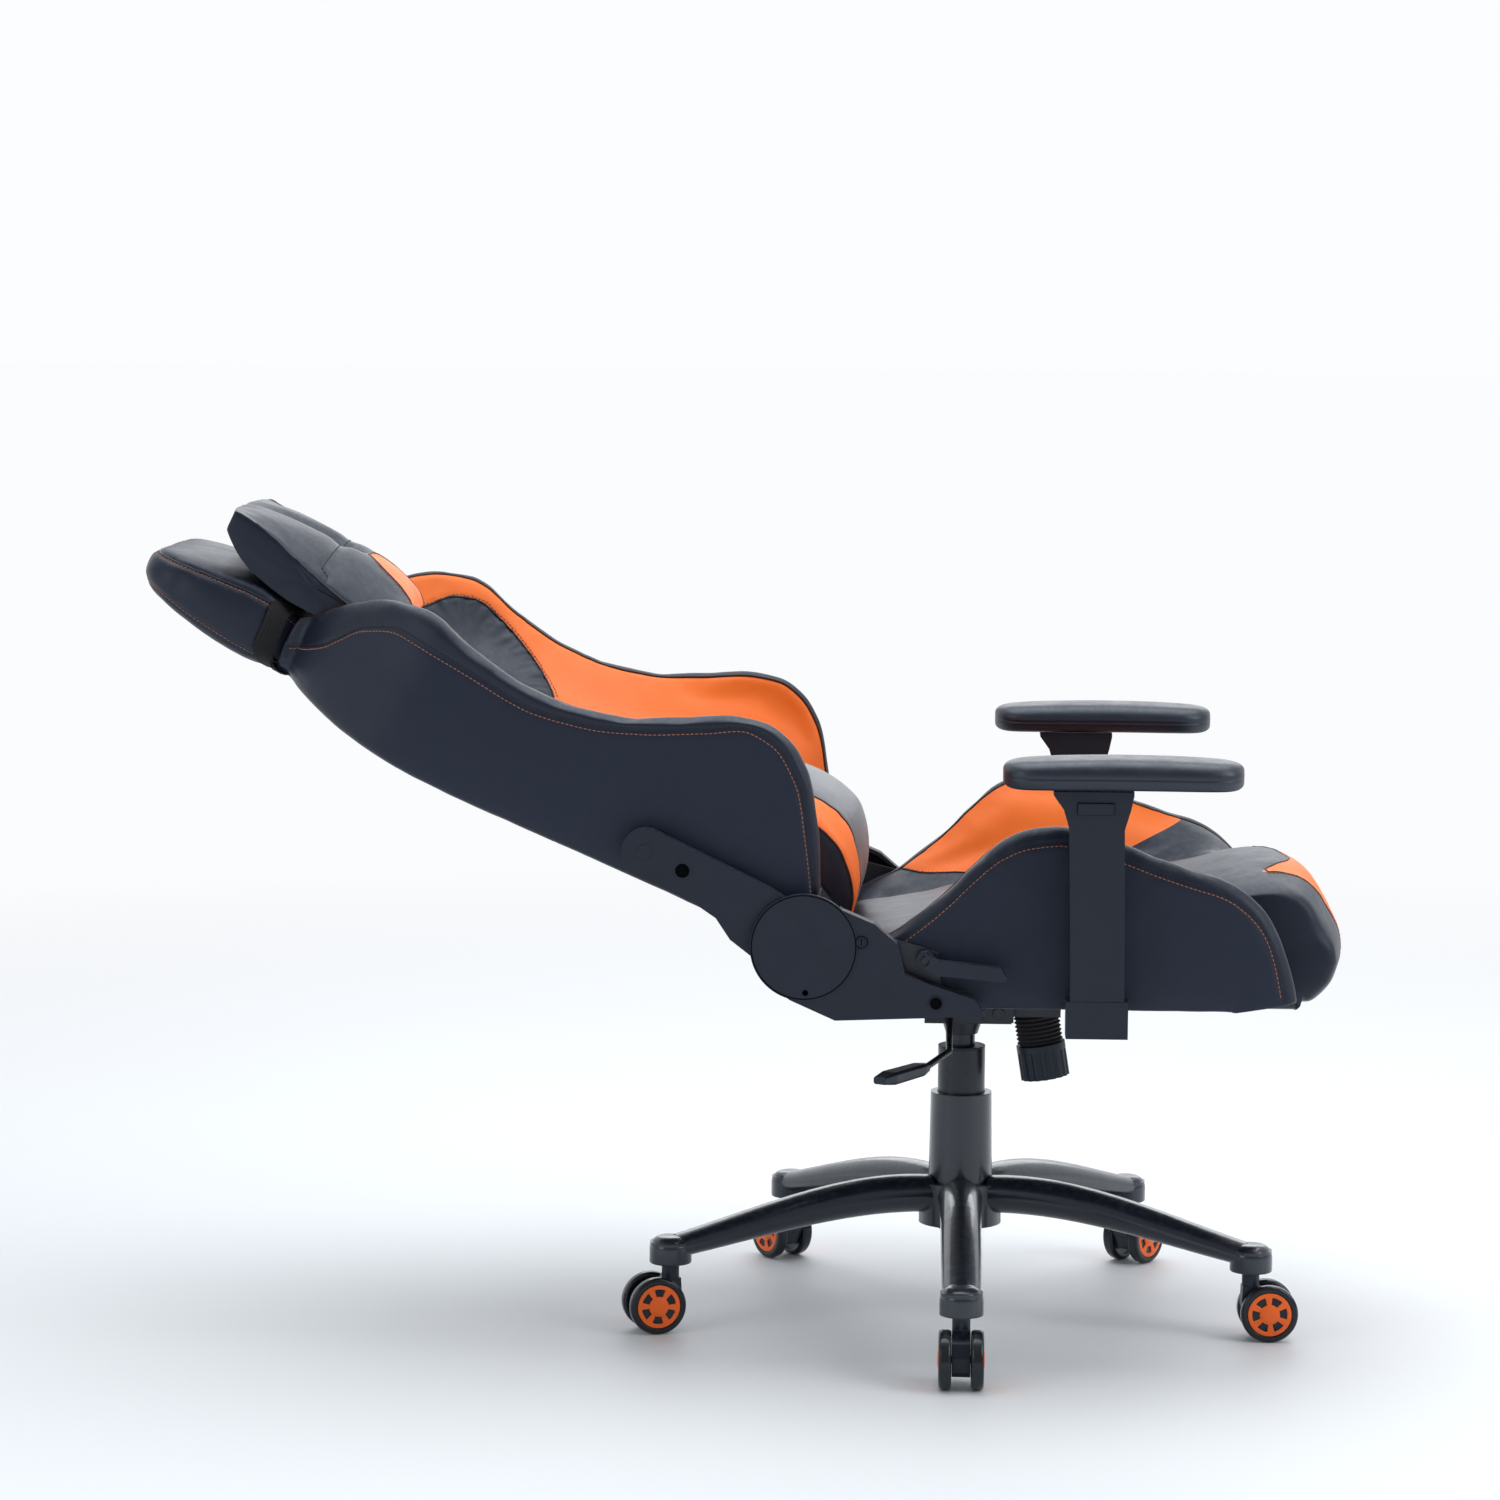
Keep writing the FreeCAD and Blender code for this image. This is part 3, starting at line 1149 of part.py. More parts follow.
def back_runs(radius):
    """The bent tubes of the back frame, as solid rods of a radius."""
    x = size("back_tube_ahead")
    low = size("back_tube_foot")
    bend = size("back_tube_elbow")
    neck = size("neck_tube_foot")
    top = size("neck_tube_top")
    top_x = size("neck_tube_ahead")
    wide = size("back_tube_half_width")
    slim = size("neck_tube_half_width")
    solids = []
    for side in (-1, 1):
        route = [
            Vector(x, side * wide, low),
            Vector(x, side * wide, bend),
            Vector(x, side * slim, neck),
            Vector(top_x, side * slim, top),
        ]
        for start, end in zip(route, route[1:]):
            solids.append(Part.makeCylinder(radius, (end - start).Length, start, end - start))
        for point in route:
            solids.append(Part.makeSphere(radius, point))
    for level, half, ahead in ((low, wide, x), (bend, wide, x), (top, slim, top_x)):
        start = Vector(ahead, -half, level)
        solids.append(Part.makeCylinder(radius, 2 * half, start, Vector(0, 1, 0)))
    return solids


def back_tubes(radius):
    """The welded frame, or with a larger radius the room that the foam leaves for it."""
    solids = back_runs(radius)
    wide = size("back_tube_half_width")
    grow = radius - size("back_tube_radius")
    reach = size("seat_half_width") + size("side_gap") + size("recliner_plate_thick") + size("bracket_gap")
    for level in (size("bracket_bolt_low"), size("bracket_reach")):
        for side in (-1, 1):
            start = Vector(size("bracket_ahead"), side * (wide - 4), level)
            run = Vector(0, side, 0)
            length = reach - wide + 4
            solids.append(Part.makeCylinder(size("boss_radius") + grow, length, start, run))
    return solids[0].multiFuse(solids[1:])


def back_frame():
    bores = back_runs(size("back_tube_radius") - size("frame_tube_wall"))
    frame = back_tubes(size("back_tube_radius")).cut(bores[0].multiFuse(bores[1:]))
    for level in (size("bracket_bolt_low"), size("bracket_reach")):
        for side in (-1, 1):
            start = Vector(size("bracket_ahead"), side * (size("back_tube_half_width") - 2), level)
            hole = Part.makeCylinder(size("bracket_bolt_radius"), 60, start, Vector(0, side, 0))
            frame = frame.cut(hole)
    return frame


BACK_ROOM = back_tubes(size("back_tube_radius") + size("foam_gap"))


def wing_edge(level):
    """How far forward a wing's edge stands at a level up the back."""
    if level <= size("hip_level"):
        share = (level - size("wing_foot")) / (size("hip_level") - size("wing_foot"))
        rise = size("hip_depth") - size("wing_foot_depth")
        return size("wing_foot_depth") + rise * math.sin(math.pi / 2 * share)
    if level <= size("waist_level"):
        share = (level - size("hip_level")) / (size("waist_level") - size("hip_level"))
        return eased(size("hip_depth"), size("waist_depth"), share**0.9)
    if level <= size("shoulder_level"):
        share = (level - size("waist_level")) / (size("shoulder_level") - size("waist_level"))
        return eased(size("waist_depth"), size("shoulder_depth"), share)
    share = (level - size("shoulder_level")) / (size("neck_level") - size("shoulder_level"))
    drop = size("shoulder_depth") - size("neck_depth")
    return size("shoulder_depth") - drop * (1 - math.cos(math.pi / 2 * share))


def shoulder_share(level):
    """0 below the shoulder's corner, 1 at the neck."""
    start = size("back_tube_elbow")
    return max(0, min(1, (level - start) / (size("neck_level") - start)))


def outer_edge(level):
    """Half width of the back: wide below, rounded in at the shoulder."""
    share = shoulder_share(level)
    drop = size("back_half_width") - size("neck_half_width") - 34
    return size("back_half_width") - drop * (1 - math.cos(math.pi / 2 * share))


def inner_edge(level):
    """Half width of the middle panel."""
    share = shoulder_share(level)
    return eased(size("back_panel_half_width"), size("neck_half_width"), share)


def rear_face(level):
    """The rear face bows a little."""
    share = (level - size("wing_foot")) / (size("head_foot") - size("wing_foot"))
    return size("back_rear") * (0.5 + 0.5 * math.sin(math.pi * min(1, max(0, share))))


def back_levels():
    marks = [size("wing_foot"), 40, 80, size("hip_level"), 180, 240, 300, size("waist_level")]
    marks += [420, size("back_tube_elbow"), size("shoulder_level"), 530, 565, size("neck_level")]
    return marks


def back_wing(side):
    ridge = size("wing_ridge")
    sections = []
    for level in back_levels():
        outer = outer_edge(level)
        inner = inner_edge(level) + size("seam_gap") / 2
        edge = wing_edge(level)
        rear = rear_face(level)
        base = min(size("back_face"), edge - 6)
        width = min(ridge, (outer - inner) * 0.4)
        corners = [(rear, inner), (rear, outer - 6), (rear + 6, outer), (edge - width * 0.6, outer)]
        corners += [(edge - 2, outer - 8), (edge, outer - width)]
        corners += [((edge + base) / 2, inner + width * 0.7), (base, inner)]
        sections.append([Vector(x, side * y, level) for x, y in corners])
    return skin(sections).cut(BACK_ROOM)


def back_cushion():
    sections = []
    levels = [size("back_foot")] + [mark for mark in back_levels() if mark > size("back_foot")]
    for level in levels:
        half = inner_edge(level) - size("seam_gap") / 2
        rear = rear_face(level)
        face = size("back_face")
        corners = [(rear, -half), (face - 6, -half), (face, -half + 8)]
        corners += [(face, half - 8), (face - 6, half), (rear, half)]
        sections.append([Vector(x, y, level) for x, y in corners])
    return skin(sections).cut(BACK_ROOM)


def headrest():
    top = size("head_top")
    depth = size("head_depth")
    foot = size("head_foot")
    half = size("head_half_width")
    tall = top - foot
    rows = [
        (foot, -14, depth - 18, half - 20),
        (foot + tall * 0.21, -13, depth - 6, half - 3),
        (foot + tall * 0.41, -6, depth, half),
        (foot + tall * 0.64, 4, depth, half - 1),
        (foot + tall * 0.83, 13, depth - 4, half - 7),
        (top - 9, 20, depth - 12, half - 20),
        (top, 30, depth - 24, half - 40),
    ]
    sections = []
    for level, rear, face, width in rows:
        corner = min(10, (face - rear) * 0.3)
        corners = [(rear + corner, -width), (face - corner, -width), (face, -width + corner)]
        corners += [(face, width - corner), (face - corner, width), (rear + corner, width)]
        corners += [(rear, width - corner), (rear, -width + corner)]
        sections.append([Vector(x, y, level) for x, y in corners])
    return skin(sections).cut(BACK_ROOM)


keep(shaped("back_frame", back_frame(), BACK))
keep(shaped("back_cushion", back_cushion(), BACK))
keep(shaped("back_wing_right", back_wing(-1), BACK))
keep(shaped("back_wing_left", back_wing(1), BACK))
keep(shaped("headrest", headrest(), BACK))

# ---------------------------------------------------------------- pillows


def pillow(rows):
    """A stuffed cushion: rounded sections up the back. Each row: level, rear, front, half width."""
    sections = []
    for level, rear, front, half in rows:
        corner = (front - rear) * 0.3
        corners = [(rear + corner, -half), (front - corner, -half), (front, -half + corner)]
        corners += [(front, half - corner), (front - corner, half), (rear + corner, half)]
        corners += [(rear, half - corner), (rear, -half + corner)]
        sections.append([Vector(x, y, level) for x, y in corners])
    return skin(sections)


rest_face = size("back_face") + size("pillow_gap")
low = size("lumbar_foot")
high = size("lumbar_top")
deep = size("lumbar_depth")
wide = size("lumbar_half_width")
tall = high - low
LUMBAR_ROWS = [
    (low, rest_face, deep - 67, wide - 18),
    (low + tall * 0.07, rest_face, deep - 51, wide - 8),
    (low + tall * 0.18, rest_face, deep - 27, wide - 2),
    (low + tall * 0.26, rest_face, deep - 17, wide),
    (low + tall * 0.44, rest_face, deep, wide),
    (high - 60, rest_face, deep - 3, wide),
    (high - 20, rest_face, deep - 19, wide - 4),
    (high, rest_face, deep - 39, wide - 14),
]
keep(shaped("lumbar_pillow", pillow(LUMBAR_ROWS), BACK))

low = size("pillow_foot")
high = size("pillow_top")
deep = size("pillow_depth")
wide = size("pillow_half_width")
rear = size("pillow_rear")
tall = high - low
HEAD_ROWS = [
    (low, rear + 17, deep - 24, wide - 14),
    (low + tall * 0.12, rear + 5, deep - 9, wide - 4),
    (low + tall * 0.27, rear, deep - 2, wide),
    (low + tall * 0.48, rear, deep, wide),
    (low + tall * 0.7, rear, deep - 1, wide),
    (low + tall * 0.89, rear + 16, deep - 5, wide - 4),
    (high, rear + 33, deep - 11, wide - 14),
]
keep(shaped("head_pillow", pillow(HEAD_ROWS), BACK))

strap_half = "(head_half_width + strap_thick / 2)"
strap_front = "(pillow_rear - strap_gap)"
strap_block = box(
    "strap_block",
    "%s - strap_rear + strap_thick" % strap_front,
    "2 * %s + 2 * strap_thick" % strap_half,
    "strap_width",
    ("strap_rear - strap_thick", "-%s - strap_thick" % strap_half, "strap_foot"),
)
strap_hole = box(
    "strap_hole",
    "%s - strap_rear - strap_thick" % strap_front,
    "2 * " + strap_half,
    "strap_width + 2",
    ("strap_rear", "-" + strap_half, "strap_foot - 1"),
)
strap = keep(cut("pillow_strap", strap_block, [strap_hole]))
place(strap, PIVOT, turn="-recline", about=(0, 1, 0))

# ---------------------------------------------------------------- arms, right side then mirrored

arm_inner = "(arm_y - arm_width / 2)"
post_length = "(sleeve_length - 2 * sleeve_wall - 2 * post_gap)"
post_width = "(arm_width - 2 * sleeve_wall - 2 * post_gap)"
post_x = "arm_x - %s / 2" % post_length
post_y = "-arm_y - %s / 2" % post_width
collar = box(
    "arm_collar",
    "collar_length",
    "arm_width",
    "sleeve_foot - collar_gap - collar_bottom",
    ("arm_x - collar_length / 2", "-arm_y - arm_width / 2", "collar_bottom"),
)
post = box("arm_post_bar", post_length, post_width, "post_top - collar_bottom", (post_x, post_y, "collar_bottom"))
foot_top = "frame_level - frame_tube_radius"
foot = box(
    "arm_foot",
    "sleeve_length",
    "arm_y - foot_inner",
    "foot_thick",
    ("arm_x - sleeve_length / 2", "-arm_y", foot_top + " - foot_thick"),
)
foot_holes = []
for label, y in (("foot_hole_1", "foot_inner + 14"), ("foot_hole_2", "foot_inner + 36")):
    for side, x in (("a", "arm_x - 15"), ("b", "arm_x + 15")):
        at = (x, "-(%s)" % y, "collar_bottom")
        foot_holes.append(cylinder(label + side, "screw_radius", "40", at))
arm_post = keep(cut("arm_post_right", fuse("arm_post_block", [collar, post, foot]), foot_holes))

sleeve_body = new_body("arm_sleeve_shell")
sleeve_sketch = sketch_on(sleeve_body, "sleeve_outline", "XZ_Plane", arm_inner)
half_sleeve = "sleeve_length / 2"
half_head = "head_flare_length / 2"
sleeve_points = [
    ("arm_x - " + half_sleeve, "sleeve_foot"),
    ("arm_x + " + half_sleeve, "sleeve_foot"),
    ("arm_x + %s - 2" % half_sleeve, "head_flare_at"),
    ("arm_x + %s + 4" % half_sleeve, "head_flare_at + 20"),
    ("arm_x + %s - 6" % half_head, "pad_floor - 4"),
    ("arm_x + %s - 6" % half_head, "pad_floor"),
    ("arm_x - %s - 6" % half_head, "pad_floor"),
    ("arm_x - %s - 6" % half_head, "pad_floor - 4"),
    ("arm_x - %s - 9" % half_sleeve, "head_flare_at + 20"),
    ("arm_x - %s - 3" % half_sleeve, "head_flare_at"),
]
polygon(sleeve_sketch, sleeve_points)
pad(sleeve_body, "sleeve_pad", sleeve_sketch, "arm_width")
post_room = box(
    "post_room",
    post_length + " + 2 * post_gap",
    post_width + " + 2 * post_gap",
    "post_top + 5 - sleeve_foot",
    (post_x + " - post_gap", post_y + " - post_gap", "sleeve_foot"),
)
button_room = box(
    "button_room",
    "button_length + 2 * button_gap",
    "button_depth + button_proud",
    "button_height + 2 * button_gap",
    (
        "arm_x - 4 - button_length / 2 - button_gap",
        "-arm_y - arm_width / 2",
        "button_level - button_height / 2 - button_gap",
    ),
)
sleeve = keep(cut("arm_sleeve_right", sleeve_body, [post_room, button_room]))

button = keep(
    box(
        "arm_button_right",
        "button_length",
        "button_depth",
        "button_height",
        (
            "arm_x - 4 - button_length / 2",
            "-arm_y - arm_width / 2 - button_proud",
            "button_level - button_height / 2",
        ),
    )
)


def arm_pad():
    """A padded rest with rounded ends and a crowned top."""
    rear = size("pad_rear")
    front = size("pad_front")
    floor = size("pad_floor")
    half = size("pad_width") / 2
    thick = size("pad_thick")
    soft = size("pad_round")
    sections = []
    for share, width, lift, high in (
        (0, 0.62, 10, 0.72),
        (0.05, 0.86, 4, 0.86),
        (0.2, 1, 0, 0.97),
        (0.5, 1, 0, 1),
        (0.8, 1, 0, 0.97),
        (0.95, 0.88, 3, 0.9),
        (1, 0.66, 8, 0.76),
    ):
        x = rear + (front - rear) * share
        y = half * width
        top = thick * high
        edge = min(soft, (top - lift) * 0.4)
        corners = [(-y + 4, lift), (-y, lift + 4), (-y, top - edge), (-y + edge, top - 1)]
        corners += [(0, top), (y - edge, top - 1), (y, top - edge), (y, lift + 4), (y - 4, lift)]
        sections.append([Vector(x, -size("arm_y") + b, floor + c) for b, c in corners])
    return skin(sections)


pad_right = keep(shaped("arm_pad_right", arm_pad()))
keep(mirrored("arm_post_left", arm_post))
keep(mirrored("arm_sleeve_left", sleeve))
keep(mirrored("arm_button_left", button))
keep(mirrored("arm_pad_left", pad_right))

# ---------------------------------------------------------------- fasteners

screws = []
foot_bottom = foot_top + " - foot_thick"
for side, sign in (("right", "-"), ("left", "")):
    for row, y in (("1", "foot_inner + 14"), ("2", "foot_inner + 36")):
        for column, x in (("a", "arm_x - 15"), ("b", "arm_x + 15")):
            tag = "screw_%s_%s%s" % (side, row, column)
            spot_y = "%s(%s)" % (sign, y)
            head_at = (x, spot_y, foot_bottom + " - screw_head_thick")
            shank_at = (x, spot_y, foot_bottom)
            shank = cylinder(tag + "_shank", "screw_radius", "foot_thick", shank_at)
            cap = cylinder(tag + "_head", "screw_head_radius", "screw_head_thick", head_at)
            screws.append(fuse(tag, [shank, cap]))
seat_screws = keep(named("Part::Compound", "seat_screws"))
seat_screws.Links = screws

bolts = []
for side, sign in (("right", -1), ("left", 1)):
    for tag, level in (("low", "bracket_bolt_low"), ("high", "bracket_reach")):
        label = "bracket_bolt_%s_%s" % (side, tag)
        outside = "(%s - bracket_thick / 2)" % bracket_outer
        inside = "(back_tube_half_width + 2)"
        start = "-" + outside if sign < 0 else inside
        head_start = "-%s - 5" % outside if sign < 0 else outside
        shank_at = ("bracket_ahead", start, level)
        head_at = ("bracket_ahead", head_start, level)
        shank = cylinder(label + "_shank", "bracket_bolt_radius", outside + " - " + inside, shank_at, "Y")
        cap = cylinder(label + "_head", "bracket_bolt_radius * 1.8", "5", head_at, "Y")
        bolts.append(fuse(label, [shank, cap]))
bracket_bolts = keep(named("Part::Compound", "bracket_bolts"))
bracket_bolts.Links = bolts
place(bracket_bolts, PIVOT, turn="-recline", about=(0, 1, 0))

# ---------------------------------------------------------------- check and write

doc.recompute()
faults = []
for obj in doc.Objects:
    if "Invalid" in obj.State or "Error" in obj.State:
        faults.append("%s: %s" % (obj.Name, obj.State))
for obj in parts:
    shape = obj.Shape
    if shape.isNull() or not shape.isValid() or not shape.Solids:
        faults.append("%s: no valid solid" % obj.Label)
if faults:
    raise RuntimeError("; ".join(faults))

os.makedirs("parts", exist_ok=True)
for obj in parts:
    name = obj.Label
    obj.Shape.exportStep(os.path.join("parts", name + ".step"))
print("%d parts written" % len(parts))
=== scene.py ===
"""Finishes a reclining racing-style gaming chair and stands it in a pale studio."""

import json
import math

import bmesh
import bpy
import numpy as np
from mathutils import Matrix, Vector, noise
from mathutils.bvhtree import BVHTree
from mathutils.kdtree import KDTree


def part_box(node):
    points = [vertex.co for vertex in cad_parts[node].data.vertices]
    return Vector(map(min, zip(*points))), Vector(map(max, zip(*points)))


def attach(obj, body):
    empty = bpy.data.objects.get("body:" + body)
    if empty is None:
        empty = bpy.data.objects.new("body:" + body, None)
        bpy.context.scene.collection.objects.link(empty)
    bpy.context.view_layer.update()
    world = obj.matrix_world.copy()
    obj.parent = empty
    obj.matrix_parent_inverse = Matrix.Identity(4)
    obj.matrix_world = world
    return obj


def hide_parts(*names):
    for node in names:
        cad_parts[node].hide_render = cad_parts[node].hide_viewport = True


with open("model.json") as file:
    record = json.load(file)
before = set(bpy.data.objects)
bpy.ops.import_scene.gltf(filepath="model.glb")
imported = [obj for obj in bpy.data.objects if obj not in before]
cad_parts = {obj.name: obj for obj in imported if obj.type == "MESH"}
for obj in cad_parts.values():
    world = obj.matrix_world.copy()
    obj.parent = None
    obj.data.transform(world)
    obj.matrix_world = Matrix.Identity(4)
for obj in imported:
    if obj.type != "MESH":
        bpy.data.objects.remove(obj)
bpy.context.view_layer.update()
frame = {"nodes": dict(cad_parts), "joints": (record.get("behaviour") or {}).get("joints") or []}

bl_info = {
    "name": "Reclining Gaming Chair",
    "version": (1, 0, 0),
    "blender": (4, 5, 0),
    "location": "View3D > Sidebar > Chair",
    "description": "Upholsters and finishes a reclining racing-style chair",
    "category": "Object",
}

MM = 0.001
JOINTS = {joint["name"]: joint for joint in frame["joints"]}
RECLINE_AXIS = Vector(JOINTS["recline"]["pos_m"])
RECLINE = math.radians(64)
BACK_COS, BACK_SIN = math.cos(RECLINE), math.sin(RECLINE)


# ---------------------------------------------------------------- settings


def colour_setting(name, description, default):
    return bpy.props.FloatVectorProperty(
        name=name, description=description, default=default, size=3, min=0, max=1, subtype="COLOR"
    )


def length_setting(name, description, default):
    return bpy.props.FloatProperty(
        name=name,
        description=description,
        default=default,
        min=0,
        unit="LENGTH",
        subtype="DISTANCE",
    )


class ChairColours(bpy.types.PropertyGroup):
    """Colours of the chair's materials"""

    black: colour_setting("Black leather", "Edges, pillows and seat", (0.0068, 0.0098, 0.0225))
    charcoal: colour_setting("Charcoal leather", "Outer side panels", (0.0088, 0.0122, 0.0285))
    orange: colour_setting("Orange leather", "Inner faces and bands", (0.95, 0.180, 0.010))
    grey: colour_setting("Grey leather", "Stripe of the lumbar pillow", (0.135, 0.14, 0.155))
    brown: colour_setting("Piping", "Dark piping between orange and black", (0.030, 0.014, 0.010))
    thread: colour_setting("Thread", "Orange top stitching", (0.36, 0.14, 0.070))
    plastic: colour_setting("Black plastic", "Covers, arms and levers", (0.0064, 0.0090, 0.0195))
    nylon: colour_setting("Black nylon", "Five-star base", (0.0060, 0.0092, 0.0180))
    hub: colour_setting("Wheel hubs", "Orange caster hubs", (0.95, 0.14, 0.008))
    floor: colour_setting("Floor", "Studio floor", (0.76, 0.785, 0.81))


class ChairSizes(bpy.types.PropertyGroup):
    """Sizes of the sewing"""

    stitch: length_setting("Stitch", "Length of one stitch", 3.4 * MM)
    stitch_gap: length_setting("Stitch gap", "Space between stitches", 1.3 * MM)
    thread: length_setting("Thread", "Radius of the sewing thread", 0.55 * MM)
    piping: length_setting("Piping", "Radius of the piping", 1.7 * MM)
    grain: length_setting("Leather grain", "Size of one cell of the grain", 1.1 * MM)


def colours():
    return bpy.context.scene.chair_colours


def sizes():
    return bpy.context.scene.chair_sizes


# ---------------------------------------------------------------- node groups


def node_group(name, inputs, outputs):
    """An empty shader group with named sockets."""
    group = bpy.data.node_groups.new(name, "ShaderNodeTree")
    for label, kind, default in inputs:
        socket = group.interface.new_socket(label, in_out="INPUT", socket_type="NodeSocket" + kind)
        if default is not None:
            socket.default_value = default
    for label, kind in outputs:
        group.interface.new_socket(label, in_out="OUTPUT", socket_type="NodeSocket" + kind)
    start = group.nodes.new("NodeGroupInput")
    end = group.nodes.new("NodeGroupOutput")
    return group, start.outputs, end.inputs


def add(tree, kind, links=None, **settings):
    """Adds a node; settings are properties, links is {input name or index: socket or value}."""
    node = tree.nodes.new("ShaderNode" + kind)
    for key, value in settings.items():
        setattr(node, key, value)
    for key, value in (links or {}).items():
        if isinstance(value, bpy.types.NodeSocket):
            tree.links.new(value, node.inputs[key])
        else:
            node.inputs[key].default_value = value
    return node


def math_node(tree, operation, *values, clamp=False):
    links = dict(enumerate(values))
    return add(tree, "Math", links, operation=operation, use_clamp=clamp).outputs[0]


def ramp(tree, value, low, high, to_low=0.0, to_high=1.0):
    links = {"Value": value, "From Min": low, "From Max": high, "To Min": to_low, "To Max": to_high}
    return add(tree, "MapRange", links, clamp=True).outputs["Result"]


def mix_colour(tree, factor, first, second):
    node = add(tree, "Mix", data_type="RGBA")
    for place, value in ((0, factor), (6, first), (7, second)):
        socket = node.inputs[place]
        if isinstance(value, bpy.types.NodeSocket):
            tree.links.new(value, socket)
        else:
            is_tint = hasattr(value, "__len__") and len(value) == 3
            socket.default_value = (*value, 1) if is_tint else value
    return node.outputs[2]


def object_place(tree):
    return add(tree, "TexCoord").outputs["Object"]


def noise_value(tree, place, scale, detail, **more):
    """Noise between 0 and 1; more are other inputs of the noise by name."""
    links = {"Vector": place, "Scale": scale, "Detail": detail}
    links.update({key.capitalize(): value for key, value in more.items()})
    return add(tree, "TexNoise", links).outputs[0]


def leather_grain():
    """Pebbled skin of coated leather: a height, and slow changes of tone and polish."""
    group, given, out = node_group(
        "leather grain",
        [("Cell", "Float", 0.0011), ("Creases", "Float", 0.3)],
        [("Height", "Float"), ("Tone", "Float"), ("Polish", "Float")],
    )
    place = object_place(group)
    scale = math_node(group, "DIVIDE", 1.0, given["Cell"])
    warp = add(group, "TexNoise", {"Vector": place, "Scale": 260.0, "Detail": 2.0})
    nudge = add(group, "VectorMath", {0: warp.outputs["Color"], "Scale": 0.0011}, operation="SCALE")
    bent = add(group, "VectorMath", {0: place, 1: nudge.outputs[0]}, operation="ADD").outputs[0]
    cells = add(
        group, "TexVoronoi", {"Vector": bent, "Scale": scale}, feature="DISTANCE_TO_EDGE"
    ).outputs["Distance"]
    pebble = ramp(group, cells, 0.0, 0.32)
    slow = noise_value(group, place, 26.0, 5.0, roughness=0.62)
    crease = math_node(group, "MULTIPLY", slow, given["Creases"])
    group.links.new(math_node(group, "ADD", pebble, crease), out["Height"])
    wide = noise_value(group, place, 7.0, 3.0)
    group.links.new(ramp(group, wide, 0.3, 0.72), out["Tone"])
    group.links.new(ramp(group, slow, 0.3, 0.7), out["Polish"])
    return group


def moulded_grain():
    """Spark-eroded skin of moulded plastic, with flow marks that change its polish."""
    group, given, out = node_group(
        "moulded grain",
        [("Cell", "Float", 0.0007)],
        [("Height", "Float"), ("Tone", "Float"), ("Polish", "Float")],
    )
    place = object_place(group)
    scale = math_node(group, "DIVIDE", 1.0, given["Cell"])
    group.links.new(noise_value(group, place, scale, 3.0, roughness=0.6), out["Height"])
    flow = noise_value(group, place, 11.0, 4.0, distortion=0.6)
    group.links.new(ramp(group, flow, 0.32, 0.7), out["Tone"])
    rub = noise_value(group, place, 45.0, 5.0)
    group.links.new(ramp(group, rub, 0.35, 0.68), out["Polish"])
    return group


def edge_wear():
    """A mask of rubbed edges, and a normal that rounds them."""
    group, given, out = node_group(
        "edge wear",
        [("Width", "Float", 0.0012), ("Breakup", "Float", 0.5)],
        [("Mask", "Float"), ("Normal", "Vector")],
    )
    rounded = add(group, "Bevel", {"Radius": given["Width"]}, samples=4).outputs[0]
    flat = add(group, "NewGeometry").outputs["Normal"]
    facing = add(group, "VectorMath", {0: rounded, 1: flat}, operation="DOT_PRODUCT")
    edge = ramp(group, facing.outputs["Value"], 0.985, 0.86)
    patchy = noise_value(group, object_place(group), 90.0, 4.0)
    cover = ramp(group, patchy, 0.38, 0.62, 0.35, 1.0)
    worn = math_node(group, "MULTIPLY", edge, cover)
    kept = math_node(group, "MULTIPLY", edge, 0.6)
    blend = add(group, "Mix", {0: given["Breakup"], 2: kept, 3: worn}, data_type="FLOAT").outputs[0]
    group.links.new(blend, out["Mask"])
    group.links.new(rounded, out["Normal"])
    return group


def settled_dust():
    """A faint mask of dust on faces that look up."""
    group, given, out = node_group("settled dust", [("Amount", "Float", 0.2)], [("Mask", "Float")])
    normal = add(group, "SeparateXYZ", {0: add(group, "NewGeometry").outputs["Normal"]}).outputs[2]
    up = ramp(group, normal, 0.35, 0.95)
    specks = noise_value(group, object_place(group), 160.0, 6.0)
    thick = ramp(group, specks, 0.42, 0.72)
    mask = math_node(group, "MULTIPLY", math_node(group, "MULTIPLY", up, thick), given["Amount"])
    group.links.new(mask, out["Mask"])
    return group


GROUP_MAKERS = {
    "leather grain": leather_grain,
    "moulded grain": moulded_grain,
    "edge wear": edge_wear,
    "settled dust": settled_dust,
}


def effect(tree, name, **values):
    """Places a shared effect in a material with its own values."""
    group = bpy.data.node_groups.get(name) or GROUP_MAKERS[name]()
    node = tree.nodes.new("ShaderNodeGroup")
    node.node_tree = group
    for key, value in values.items():
        node.inputs[key.capitalize()].default_value = value
    return node.outputs


# ---------------------------------------------------------------- materials


def new_material(name):
    material = bpy.data.materials.new(name)
    material.use_nodes = True
    tree = material.node_tree
    shader = tree.nodes["Principled BSDF"]
    return material, tree, shader


def zone(tree, attribute):
    """1 inside a sewn zone of the hide, 0 outside; the attribute is the distance to its seam."""
    distance = add(tree, "Attribute", attribute_name=attribute).outputs["Fac"]
    return ramp(tree, distance, 0.00005, 0.00045)


SHEEN = (0.80, 0.89, 1.0, 1.0)
LEATHER_SHINE = 0.42


def toned(tree, factor, tint, low, high):
    """A tint that wanders between two shares of itself."""
    return mix_colour(tree, factor, [c * low for c in tint], [min(1, c * high) for c in tint])


def spread_polish(tree, grain, rough, less, more):
    """Roughness that wanders a little below and above its middle."""
    return ramp(tree, grain["Polish"], 0.0, 1.0, rough - less, rough + more)


